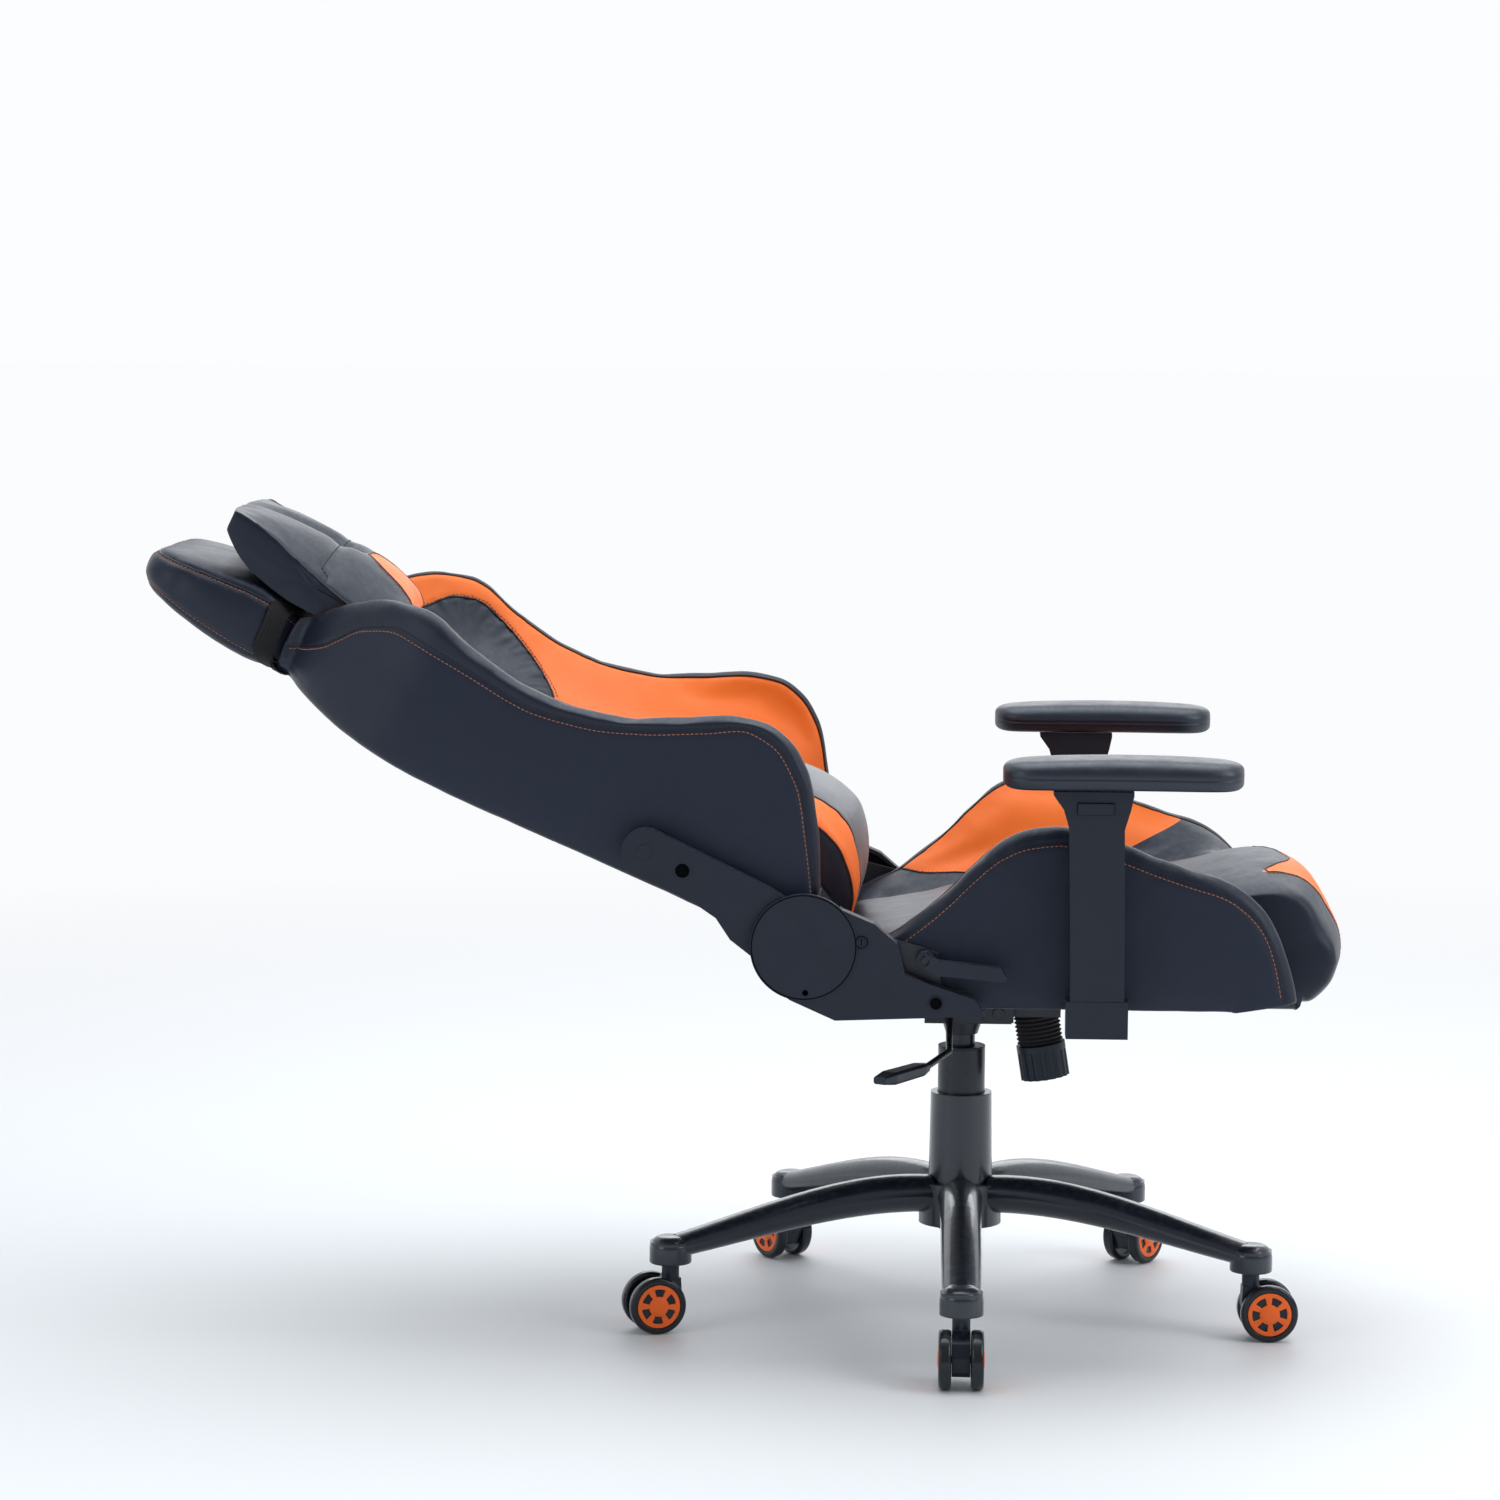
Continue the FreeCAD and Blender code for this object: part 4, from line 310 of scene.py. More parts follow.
def dusted(tree, colour, amount, grey):
    dust = effect(tree, "settled dust", amount=amount)
    return mix_colour(tree, dust["Mask"], colour, (grey, grey, grey))


def surface(tree, shader, colour, roughness, height, strength, distance, normal=None):
    """Links a material's colour, roughness and raised detail."""
    tree.links.new(colour, shader.inputs["Base Color"])
    if isinstance(roughness, bpy.types.NodeSocket):
        tree.links.new(roughness, shader.inputs["Roughness"])
    else:
        shader.inputs["Roughness"].default_value = roughness
    links = {"Height": height, "Strength": strength, "Distance": distance}
    if normal is not None:
        links["Normal"] = normal
    tree.links.new(add(tree, "Bump", links).outputs[0], shader.inputs["Normal"])


def shiny(shader, level):
    shader.inputs["Specular IOR Level"].default_value = level
    shader.inputs["Specular Tint"].default_value = SHEEN


def hide_material(name, base, rough=0.40, zones=()):
    """Coated leather. Zones are (attribute, colour, roughness) laid over the base."""
    material, tree, shader = new_material(name)
    grain = effect(tree, "leather grain", cell=sizes().grain, creases=0.09)
    colour = toned(tree, grain["Tone"], base, 0.94, 1.06)
    polish = spread_polish(tree, grain, rough, 0.03, 0.03)
    for attribute, tint, roughness in zones:
        inside = zone(tree, attribute)
        colour = mix_colour(tree, inside, colour, toned(tree, grain["Tone"], tint, 0.93, 1.05))
        finish = spread_polish(tree, grain, roughness, 0.03, 0.03)
        polish = add(tree, "Mix", {0: inside, 2: polish, 3: finish}, data_type="FLOAT").outputs[0]
    surface(tree, shader, dusted(tree, colour, 0.05, 0.5), polish, grain["Height"], 0.25, 0.35 * MM)
    shiny(shader, LEATHER_SHINE)
    return material


def moulded_material(
    name, base, rough, cell=0.0007, depth=0.22, wear=0.35, edge=0.0012, coat=0.0, shine=0.5
):
    """Moulded plastic, paint or rubber with rounded, rubbed edges."""
    material, tree, shader = new_material(name)
    grain = effect(tree, "moulded grain", cell=cell)
    worn = effect(tree, "edge wear", width=edge, breakup=0.6)
    colour = toned(tree, grain["Tone"], base, 0.88, 1.1)
    rubbed = [min(1, c * 2.2 + 0.012) for c in base]
    colour = mix_colour(tree, math_node(tree, "MULTIPLY", worn["Mask"], wear), colour, rubbed)
    colour = dusted(tree, colour, 0.06, 0.45)
    polish = spread_polish(tree, grain, rough, 0.04, 0.05)
    surface(tree, shader, colour, polish, grain["Height"], depth, 0.25 * MM, worn["Normal"])
    shiny(shader, shine)
    shader.inputs["Coat Weight"].default_value = coat
    shader.inputs["Coat Roughness"].default_value = 0.12 if coat else 0.03
    return material


def steel_material(name, base, rough):
    """Drawn or zinc-plated steel with fine marks."""
    material, tree, shader = new_material(name)
    grain = effect(tree, "moulded grain", cell=0.0004)
    worn = effect(tree, "edge wear", width=0.0006, breakup=0.4)
    colour = toned(tree, grain["Tone"], base, 0.8, 1.0)
    polish = spread_polish(tree, grain, rough, 0.08, 0.1)
    surface(tree, shader, colour, polish, grain["Height"], 0.15, 0.1 * MM, worn["Normal"])
    shader.inputs["Metallic"].default_value = 1.0
    return material


def thread_material(name, base):
    """Twisted sewing thread."""
    material, tree, shader = new_material(name)
    twist = noise_value(tree, object_place(tree), 900.0, 2.0)
    surface(tree, shader, toned(tree, twist, base, 0.75, 1.2), 0.7, twist, 0.3, 0.2 * MM)
    return material


def webbing_material(name, base):
    """Woven elastic: ribs across the strap."""
    material, tree, shader = new_material(name)
    place = object_place(tree)
    links = {"Vector": place, "Scale": 190.0, "Distortion": 0.4}
    rows = add(tree, "TexWave", links, bands_direction="Y").outputs["Fac"]
    fuzz = noise_value(tree, place, 700.0, 3.0)
    height = math_node(tree, "ADD", rows, math_node(tree, "MULTIPLY", fuzz, 0.6))
    surface(tree, shader, toned(tree, rows, base, 0.6, 1.3), 0.85, height, 0.5, 0.4 * MM)
    return material


def library(name):
    """The finish of that name, made the first time it is asked for."""
    found = bpy.data.materials.get(name)
    return found or FINISHES[name](name)


def plastic(rough, **more):
    return lambda name: moulded_material(name, colours().plastic, rough, **more)


def dark(base, rough, **more):
    return lambda name: moulded_material(name, base, rough, **more)


FINISHES = {
    "upholstery": lambda name: hide_material(
        name,
        colours().black,
        zones=(
            ("charcoal_zone", colours().charcoal, 0.50),
            ("orange_zone", colours().orange, 0.50),
            ("grey_zone", colours().grey, 0.40),
        ),
    ),
    "piping": lambda name: hide_material(name, colours().brown, 0.5),
    "black_piping": lambda name: hide_material(name, colours().black, 0.42),
    "thread": lambda name: thread_material(name, colours().thread),
    "black_thread": lambda name: thread_material(name, [0.012, 0.012, 0.014]),
    "webbing": lambda name: webbing_material(name, [0.010, 0.010, 0.012]),
    "moulded_plastic": plastic(0.45),
    "cover_plastic": plastic(0.56, cell=0.0008, depth=0.4),
    "caster_body": plastic(0.36),
    "pad_skin": plastic(0.4, cell=0.0009, depth=0.3, wear=0.1, shine=0.7),
    # painted shade: a near-black, rough finish for discs, rings and slots put where holes, grooves
    # and recesses fall into shadow
    "hollow": dark([0.001, 0.001, 0.001], 0.9, wear=0.0, shine=0.1),
    "tyre": dark([0.009, 0.009, 0.011], 0.2, depth=0.05, wear=0.1),
    "rubber": dark([0.010, 0.010, 0.012], 0.42, depth=0.1, wear=0.2),
    "painted_steel": dark([0.014, 0.015, 0.018], 0.3, depth=0.1, wear=0.5),
    "base_finish": lambda name: moulded_material(
        name, colours().nylon, 0.33, depth=0.12, edge=0.0025, coat=0.7
    ),
    "wheel_hub": lambda name: moulded_material(name, colours().hub, 0.42, depth=0.1, wear=0.1),
    "zinc": lambda name: steel_material(name, [0.50, 0.51, 0.53], 0.32),
}

SLOT_FINISHES = {
    "base_nylon": "base_finish",
    "black_plastic": "moulded_plastic",
    "caster_plastic": "caster_body",
    "caster_tyre": "tyre",
    "zinc_steel": "zinc",
    "black_steel": "painted_steel",
    "rubber": "rubber",
    "pad_foam": "pad_skin",
    "foam_leather": "upholstery",
    "strap_web": "webbing",
}

NODE_FINISHES = {
    "recliner_plates": "painted_steel",
    "tilt_pin": "painted_steel",
    "bracket_bolts": "painted_steel",
    "back_bracket_right": "cover_plastic",
    "back_bracket_left": "cover_plastic",
    "recliner_cover_right": "cover_plastic",
    "recliner_cover_left": "cover_plastic",
}


# ---------------------------------------------------------------- places and curves


def back_point(ahead, across, up):
    """A point in millimetres ahead of the recline axis, across the chair and up the back."""
    x = RECLINE_AXIS.x + MM * (ahead * BACK_COS - up * BACK_SIN)
    z = RECLINE_AXIS.z + MM * (ahead * BACK_SIN + up * BACK_COS)
    return (x, across * MM, z)


def chair_point(x, y, z):
    """A point in millimetres ahead of the column, across the chair and above the floor."""
    return (x * MM, y * MM, z * MM)


def curve_through(*points):
    """A smooth function through (place, value) points that doesn't overshoot them."""
    x, y = np.array(points, float).T
    step = np.diff(x)
    slope = np.diff(y) / step
    tangent = np.concatenate(([slope[0]], np.zeros(len(x) - 2), [slope[-1]]))
    same = slope[1:] * slope[:-1] > 0
    both = slope[1:] + slope[:-1]
    tangent[1:-1] = np.where(same, 2 * slope[1:] * slope[:-1] / np.where(same, both, 1), 0)

    def value(place):
        place = np.clip(place, x[0], x[-1])
        i = np.clip(np.searchsorted(x, place) - 1, 0, len(step) - 1)
        t = (place - x[i]) / step[i]
        rise = (2 * t**3 - 3 * t**2 + 1) * y[i] + (3 * t**2 - 2 * t**3) * y[i + 1]
        leave, arrive = (t**3 - 2 * t**2 + t) * tangent[i], (t**3 - t**2) * tangent[i + 1]
        return rise + step[i] * (leave + arrive)

    return value


def walked(line):
    """Distance walked along a line at each of its points."""
    line = np.array(line, float)
    return np.concatenate(([0], np.cumsum(np.linalg.norm(np.diff(line, axis=0), axis=1))))


def curved(points, marks, wanted):
    """A smooth curve through points that lie at marks, read at the wanted marks."""
    axes = np.array(points, float).T
    return np.stack([curve_through(*zip(marks, axis))(wanted) for axis in axes], axis=1)


def rounded_line(corners, steps):
    """Points along a line that bends smoothly at its inner corners."""
    walk = walked(corners)
    return curved(corners, walk, np.linspace(0, walk[-1], steps))


def resampled(points, step):
    """Evenly spaced points along a line."""
    points = np.array(points, float)
    walk = walked(points)
    marks = np.linspace(0, walk[-1], max(2, int(round(walk[-1] / step))) + 1)
    return np.stack([np.interp(marks, walk, axis) for axis in points.T], axis=1)


# ---------------------------------------------------------------- meshes


def mesh_piece(name, points, faces):
    mesh = bpy.data.meshes.new(name)
    mesh.from_pydata([tuple(map(float, p)) for p in points], [], faces)
    piece = bpy.data.objects.new(name, mesh)
    bpy.context.scene.collection.objects.link(piece)
    return piece


def face_outwards(piece):
    form = bmesh.new()
    form.from_mesh(piece.data)
    bmesh.ops.remove_doubles(form, verts=form.verts, dist=1e-6)
    bmesh.ops.recalc_face_normals(form, faces=form.faces)
    form.to_mesh(piece.data)
    form.free()


END_SHARES = (0.75, 0.45, 0.18)
CAP_ROWS = len(END_SHARES)


def quad_bands(rows, count, start=0):
    """Four-sided faces between rows of points that each close on themselves."""
    faces = []
    for low in range(start, start + (rows - 1) * count, count):
        for j in range(count):
            k = (j + 1) % count
            faces.append((low + j, low + k, low + count + k, low + count + j))
    return faces


def lofted(name, rings, crown):
    """A closed skin through rings, its ends drawn in to a pole and crowned by a length."""
    rings = [np.array(ring, float) for ring in rings]
    ends, poles = [], []
    for ring, inner in ((rings[0], rings[1]), (rings[-1], rings[-2])):
        centre = ring.mean(0)
        outward = centre - inner.mean(0)
        outward *= crown / max(np.linalg.norm(outward), 1e-9)
        ends.append(
            [centre + (ring - centre) * share + outward * (1 - share**2) for share in END_SHARES]
        )
        poles.append((centre + outward)[None])
    rings = ends[0][::-1] + rings + ends[1]
    count = len(rings[0])
    points = np.vstack(rings + poles)
    faces = quad_bands(len(rings), count)
    last = (len(rings) - 1) * count
    for j in range(count):
        k = (j + 1) % count
        faces.append((j, len(points) - 2, k))
        faces.append((last + j, last + k, len(points) - 1))
    piece = mesh_piece(name, points, faces)
    face_outwards(piece)
    return piece


def corners_of(piece):
    return np.array([v.co for v in piece.data.vertices], float)


def set_corners(piece, places):
    piece.data.vertices.foreach_set("co", np.asarray(places, np.float32).ravel())
    piece.data.update()


def normals_of(piece):
    return np.array([v.normal for v in piece.data.vertices], float)


def subdivided(piece):
    smooth = piece.modifiers.new("Smooth", "SUBSURF")
    smooth.levels = smooth.render_levels = 1
    select_only(piece)
    bpy.ops.object.modifier_apply(modifier=smooth.name)
    return piece


def leave_edit_mode():
    if bpy.context.object and bpy.context.object.mode != "OBJECT":
        bpy.ops.object.mode_set(mode="OBJECT")


def select_only(piece):
    leave_edit_mode()
    bpy.ops.object.select_all(action="DESELECT")
    piece.select_set(True)
    bpy.context.view_layer.objects.active = piece


def copy_at(piece, name, matrix):
    """A copy with its own mesh, put in its place."""
    twin = bpy.data.objects.new(name, piece.data.copy())
    twin.data.name = name
    bpy.context.scene.collection.objects.link(twin)
    twin.data.transform(matrix)
    return twin


def mirrored_copy(piece, name):
    """The same piece on the other side of the chair, with its own mesh."""
    twin = copy_at(piece, name, Matrix.Scale(-1, 4, (0, 1, 0)))
    twin.data.flip_normals()
    return twin


def smooth_piece(piece, finish, body, slot, *nodes, angle=None):
    """Gives a finished piece its material and its body, and hides the nodes it stands for."""
    select_only(piece)
    if angle is None:
        bpy.ops.object.shade_smooth()
    else:
        bpy.ops.object.shade_smooth_by_angle(angle=math.radians(angle))
    if not piece.data.materials:
        piece.data.materials.append(library(finish))
    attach(piece, body)
    if nodes:
        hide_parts(*nodes)
    return piece


# ---------------------------------------------------------------- stuffing and sewing


def distance_to_line(points, line):
    """Distance from every point to a line of points, and how far along it lies."""
    step = 1 * MM
    marks = resampled(line, step)
    tree = KDTree(len(marks))
    for index, mark in enumerate(marks):
        tree.insert(mark, index)
    tree.balance()
    apart, along = np.zeros(len(points)), np.zeros(len(points))
    for index, point in enumerate(np.asarray(points, float)):
        _, mark, apart[index] = tree.find(point)
        along[index] = mark * step
    return apart, along


EVENING_ROUNDS = 8
EVENED_SHARE = 0.75
CLOTH_FRAMES = 20


def evened(piece, travel, free):
    """Travel averaged with the neighbours': the swell stays and the short wrinkles go."""
    edges = np.array([edge.vertices[:] for edge in piece.data.edges])
    count = np.maximum(np.bincount(edges.ravel(), minlength=len(travel)), 1)[:, None]
    for _ in range(EVENING_ROUNDS):
        total = np.zeros_like(travel)
        np.add.at(total, edges[:, 0], travel[edges[:, 1]])
        np.add.at(total, edges[:, 1], travel[edges[:, 0]])
        travel = np.where(free[:, None], 0.5 * travel + 0.5 * total / count, travel)
    return travel


def stuffed(piece, sewn, reach, pressure, slack):
    """Fills a skin by cloth simulation.

    sewn is 1 where it is sewn down, and reach caps each point's travel.
    """
    rest = corners_of(piece)
    group = piece.vertex_groups.new(name="sewn")
    for index, weight in enumerate(sewn):
        if weight > 0:
            group.add([index], float(weight), "REPLACE")
    cloth = piece.modifiers.new("Cloth", "CLOTH")
    settings = cloth.settings
    settings.quality = 6
    settings.mass = 0.25
    settings.tension_stiffness = settings.compression_stiffness = 18
    settings.shear_stiffness = 6
    settings.bending_stiffness = 0.4
    settings.use_pressure = True
    settings.uniform_pressure_force = pressure
    settings.shrink_min = -slack
    settings.vertex_group_mass = "sewn"
    settings.effector_weights.gravity = 0
    cloth.collision_settings.use_collision = False
    scene = bpy.context.scene
    for step in range(1, CLOTH_FRAMES + 1):
        scene.frame_set(step)
    select_only(piece)
    bpy.ops.object.modifier_apply(modifier=cloth.name)
    scene.frame_set(1)
    moved = corners_of(piece) - rest
    even = evened(piece, moved, sewn < 1)
    moved = (1 - EVENED_SHARE) * moved + EVENED_SHARE * even
    length = np.linalg.norm(moved, axis=1)
    held = reach / np.sqrt(reach**2 + length**2 + 1e-12)
    set_corners(piece, rest + moved * held[:, None])
    piece.vertex_groups.clear()
    return piece


def skin_of(piece):
    points = [vertex.co for vertex in piece.data.vertices]
    return BVHTree.FromPolygons(points, [face.vertices[:] for face in piece.data.polygons])


def laid_on(skin, line, lift=0.0):
    """The line's points moved onto a skin, and the skin's normals there."""
    places, normals = [], []
    for point in line:
        place, normal, _, _ = skin.find_nearest(Vector(point))
        places.append(place + normal * lift)
        normals.append(normal)
    return places, normals


def pressed_in(piece, line, depth, width):
    """Draws the skin in along a seam."""
    places = corners_of(piece)
    apart, _ = distance_to_line(places, line)
    dip = depth * np.exp(-((apart / width) ** 2))
    set_corners(piece, places - normals_of(piece) * dip[:, None])


def gathered(piece, line, height, width, pitch, seed, only=None):
    """Gathers the skin beside a seam into small uneven folds across it."""
    places = corners_of(piece)
    apart, along = distance_to_line(places, line)
    near = np.nonzero(apart < width * 2.4)[0]
    lift = np.zeros(len(places))
    for index in near:
        far, place = apart[index], along[index] / pitch
        wave = noise.noise(Vector((place, far / (width * 3), seed)))
        fine = noise.noise(Vector((place * 2.3, far / width, seed + 7.0)))
        lift[index] = height * (wave + 0.45 * fine) * math.exp(-((far / width) ** 2))
    if only is not None:
        lift *= only
    set_corners(piece, places + normals_of(piece) * lift[:, None])


def creased(piece, height, size, seed):
    """Slow unevenness of a hand-stuffed skin."""
    places = corners_of(piece)
    spots = [Vector(place) / size + Vector((seed, 0, 0)) for place in places]
    lift = np.array([height * noise.fractal(spot, 0.6, 2.1, 3) for spot in spots])
    set_corners(piece, places + normals_of(piece) * lift[:, None])


def mark_zone(piece, name, distance):
    """Stores the signed distance to a zone's seam, which is above 0 inside the zone."""
    layer = piece.data.attributes.new(name, "FLOAT", "POINT")
    layer.data.foreach_set("value", np.asarray(distance, np.float32))


SEAM_THREAD = 0.5 * MM
CORD_SIDES = 8
THREAD_SIDES = 5
STITCH_ARCH = (  # share of the stitch's length, height and fatness in thread radii
    (0.0, -0.5, 0.45),
    (0.12, 0.35, 0.9),
    (0.5, 0.75, 1.0),
    (0.88, 0.35, 0.9),
    (1.0, -0.5, 0.45),
)


def frames_along(points):
    """Each point of a line with its tangent, side and up."""
    points = [Vector(p) for p in points]
    result = []
    up = None
    for i, point in enumerate(points):
        tangent = (points[min(i + 1, len(points) - 1)] - points[max(i - 1, 0)]).normalized()
        if up is None:
            up = tangent.orthogonal()
        side = tangent.cross(up).normalized()
        up = side.cross(tangent).normalized()
        result.append((point, tangent, side, up))
    return result


def around(middle, radius, side, up, sides):
    """Points of a circle across a line."""
    turns = [2 * math.pi * k / sides for k in range(sides)]
    return [middle + radius * (side * math.cos(turn) + up * math.sin(turn)) for turn in turns]


def piped(name, line, radius):
    """A round cord along a line, its ends rounded off."""
    frames = frames_along(line)
    points = []
    for point, _, side, up in frames:
        points += around(point, radius, side, up, CORD_SIDES)
    faces = quad_bands(len(frames), CORD_SIDES)
    last = len(points) - CORD_SIDES
    start, end = frames[0], frames[-1]
    points += [start[0] - start[1] * radius * 0.7, end[0] + end[1] * radius * 0.7]
    for k in range(CORD_SIDES):
        n = (k + 1) % CORD_SIDES
        faces.append((k, len(points) - 2, n))
        faces.append((last + k, last + n, len(points) - 1))
    piece = mesh_piece(name, points, faces)
    face_outwards(piece)
    return piece


def stitched(name, skin, lines, radius=None):
    """Rows of sewn stitches on a skin: each is a short arched thread."""
    radius = radius or sizes().thread
    stitch, gap = sizes().stitch, sizes().stitch_gap
    points, faces = [], []
    for line in lines:
        even = resampled(line, (stitch + gap) / 2)
        places, normals = laid_on(skin, even)
        for i in range(0, len(places) - 1, 2):
            start, end = Vector(places[i]), Vector(places[i + 1])
            run = (end - start).normalized() * stitch
            up = (Vector(normals[i]) + Vector(normals[i + 1])).normalized()
            side = run.cross(up).normalized()
            base = len(points)
            for share, lift, fat in STITCH_ARCH:
                middle = start + run * share + up * radius * lift
                points += around(middle, radius * fat, side, up, THREAD_SIDES)
            faces += quad_bands(len(STITCH_ARCH), THREAD_SIDES, base)
            faces.append(tuple(reversed(range(base, base + THREAD_SIDES))))
            faces.append(tuple(range(len(points) - THREAD_SIDES, len(points))))
    piece = mesh_piece(name, points, faces)
    face_outwards(piece)
    return piece


def corded(name, skin, line, radius, lift=0.0):
    """Piping along a line, laid on a skin."""
    return piped(name, laid_on(skin, resampled(line, 4 * MM), lift)[0], radius)


def upholstered(
    name, rings, covers, pressure, slack, crown=0.0, cap_reach=0.0, zones=None, mark=None
):
    """A skin through rings, stuffed between its seams.

    Each cover is the first and last point of a ring between two seams, and how far it may swell.
    Zones are distances to a seam for every point of every ring, in millimetres, and mark is a
    function that stores the zones itself.
    """
    piece = lofted(name, rings, crown)
    count, rows = len(rings[0]), len(rings)
    index = np.arange(len(piece.data.vertices))
    column, row = index % count, index // count - CAP_ROWS
    sewn = np.ones(len(index))
    reach = np.full(len(index), 1 * MM)
    for first, last, travel in covers:
        open_cover = (column > first) & (column < last) & (row > 0) & (row < rows - 1)
        sewn[open_cover] = 0
        reach[open_cover] = travel
    if cap_reach:
        ends = (row < 0) | (row > rows - 1)
        sewn[ends] = 0
        reach[ends] = cap_reach
    for zone_name, field in (zones or {}).items():
        field = np.asarray(field, float) * MM
        mark_zone(piece, zone_name, field[np.clip(row, 0, rows - 1), column])
    if mark:
        mark(piece)
    stuffed(piece, sewn, reach, pressure, slack)
    return subdivided(piece)


def section_through(*parts, closed=True):
    """One section from lines that meet, each a list of corners and its number of points.

    Also gives the place in the section where each line ends.
    """
    lines = [rounded_line(corners, steps) for corners, steps in parts]
    lines = [lines[0]] + [line[1:] for line in lines[1:]]
    if closed:
        lines[-1] = lines[-1][:-1]
    return np.vstack(lines), np.cumsum([len(line) for line in lines]) - 1


def split_line(rings, field, columns):
    """Where a field over rings of points changes sign, followed through some of their columns."""
    line = []
    for j in columns:
        for i in range(len(rings) - 1):
            here, ahead = field[i][j], field[i + 1][j]
            if (here > 0) != (ahead > 0):
                share = here / (here - ahead)
                line.append(np.array(rings[i][j]) * (1 - share) + np.array(rings[i + 1][j]) * share)
                break
    return line


def beside(rings, column, toward, share):
    """A line beside a seam: a share of the way to the next column."""
    return [np.array(r[column]) * (1 - share) + np.array(r[toward]) * share for r in rings]


def shifted(line, x=0, y=0, z=0):
    """A line moved by a vector."""
    return [np.array(point) + np.array((x, y, z)) for point in line]


def dress(shell, trims, body, nodes, fill, slot="foam_leather", finish="upholstery"):
    """Finishes a padded piece and its piping and stitches, which ride with it."""
    for trim, trim_finish in trims:
        smooth_piece(trim, trim_finish, body, slot)
    smooth_piece(shell, finish, body, slot, *nodes)


def dress_both_sides(shell, trims, bodies, node, fill, **more):
    """Finishes a right-hand piece and makes the left-hand one from it."""

    def twin_of(piece):
        return mirrored_copy(piece, piece.name.replace("right", "left"))

    twin, twins = twin_of(shell), [(twin_of(trim), finish) for trim, finish in trims]
    dress(shell, trims, bodies[0], [node + "_right"], fill, **more)
    dress(twin, twins, bodies[1], [node + "_left"], fill, **more)


# ---------------------------------------------------------------- wings of the back

# How far ahead of the recline axis a wing's crest and outer seam, the back's rear and the edge of
# the gathered black patch lie, by height up the back.
WING_CREST = curve_through(
    (8, 54), (41, 111), (75, 156), (106, 176), (129, 181), (160, 174), (217, 145), (268, 122),
    (331, 109), (364, 108), (427, 117), (484, 131), (517, 125), (565, 96), (600, 60), (614, 50),
)
WING_SEAM = curve_through(
    (8, 38), (46, 98), (79, 143), (119, 168), (141, 170), (184, 149), (238, 121), (297, 99),
    (360, 89), (432, 95), (502, 99), (540, 82), (575, 42), (600, 24), (614, 18),
)
BACK_REAR = curve_through((8, -14), (200, -21), (420, -29), (520, -22), (582, -12), (600, -9))
PATCH_LOW, PATCH_HIGH = 335, 548
PATCH_EDGE = curve_through(
    (PATCH_LOW, 46), (393, 79), (441, 99), (472, 107), (500, 101), (520, 82), (PATCH_HIGH, 52)
)
PANEL_FACE = 49
WING_LOW, WING_HIGH = 10, 612
ROLL, ROLL_SHARE = 22, 0.55
OUTSIDE = -9  # a distance well outside a zone


def shoulder(up):
    """0 below the shoulder and 1 at the top of the wings."""
    return np.clip((up - 455) / 145, 0, 1)


def panel_width(up):
    """Half width of the middle panel of the back."""
    return 164 - 46 * shoulder(up)


def wing_width(up):
    """Half width of the back: wide below, rounded in at the shoulder."""
    drawn_in = 110 * (1 - np.cos(math.pi / 2 * shoulder(up)))
    tip = 30 * np.clip((up - 566) / 34, 0, 1) ** 2
    return np.maximum(262 - drawn_in - tip, panel_width(up) + 8.5)


def wing_ring(up):
    """One section of a wing, from the rear round the outside to the panel's seam."""
    outer, inner = float(wing_width(up)), float(panel_width(up)) + 0.5
    crest, seam, rear = float(WING_CREST(up)), float(WING_SEAM(up)), float(BACK_REAR(up))
    root = min(PANEL_FACE, crest - 6)
    thick = outer - inner
    roll = min(ROLL, thick * ROLL_SHARE)
    lip = outer - roll
    rear_side = [(rear + 2, inner), (rear, inner + thick * 0.4), (rear + 1, outer - 13)]
    corner = [(rear + 1, outer - 13), (rear + 4, outer - 4), (rear + 13, outer - 1)]
    panel = [(rear + 13, outer - 1), ((rear + seam) / 2, outer + 0.6), (seam, outer - 0.6)]
    band = [
        (seam, outer - 0.6),
        (seam + (crest - seam) * 0.55, outer + 0.4),
        (crest - 2.5, outer - roll * 0.28),
        (crest, outer - roll * 0.62),
        (crest - 2.5, lip),
    ]
    slope = [
        (crest - 2.5, lip),
        (crest - (crest - root) * 0.3, lip - (lip - inner) * 0.16),
        (root + (crest - root) * 0.25, inner + (lip - inner) * 0.42),
        (root, inner),
    ]
    wall = [(root, inner), (rear + 2, inner)]
    return section_through(
        (rear_side, 6), (corner, 4), (panel, 20), (band, 11), (slope, 20), (wall, 7)
    )


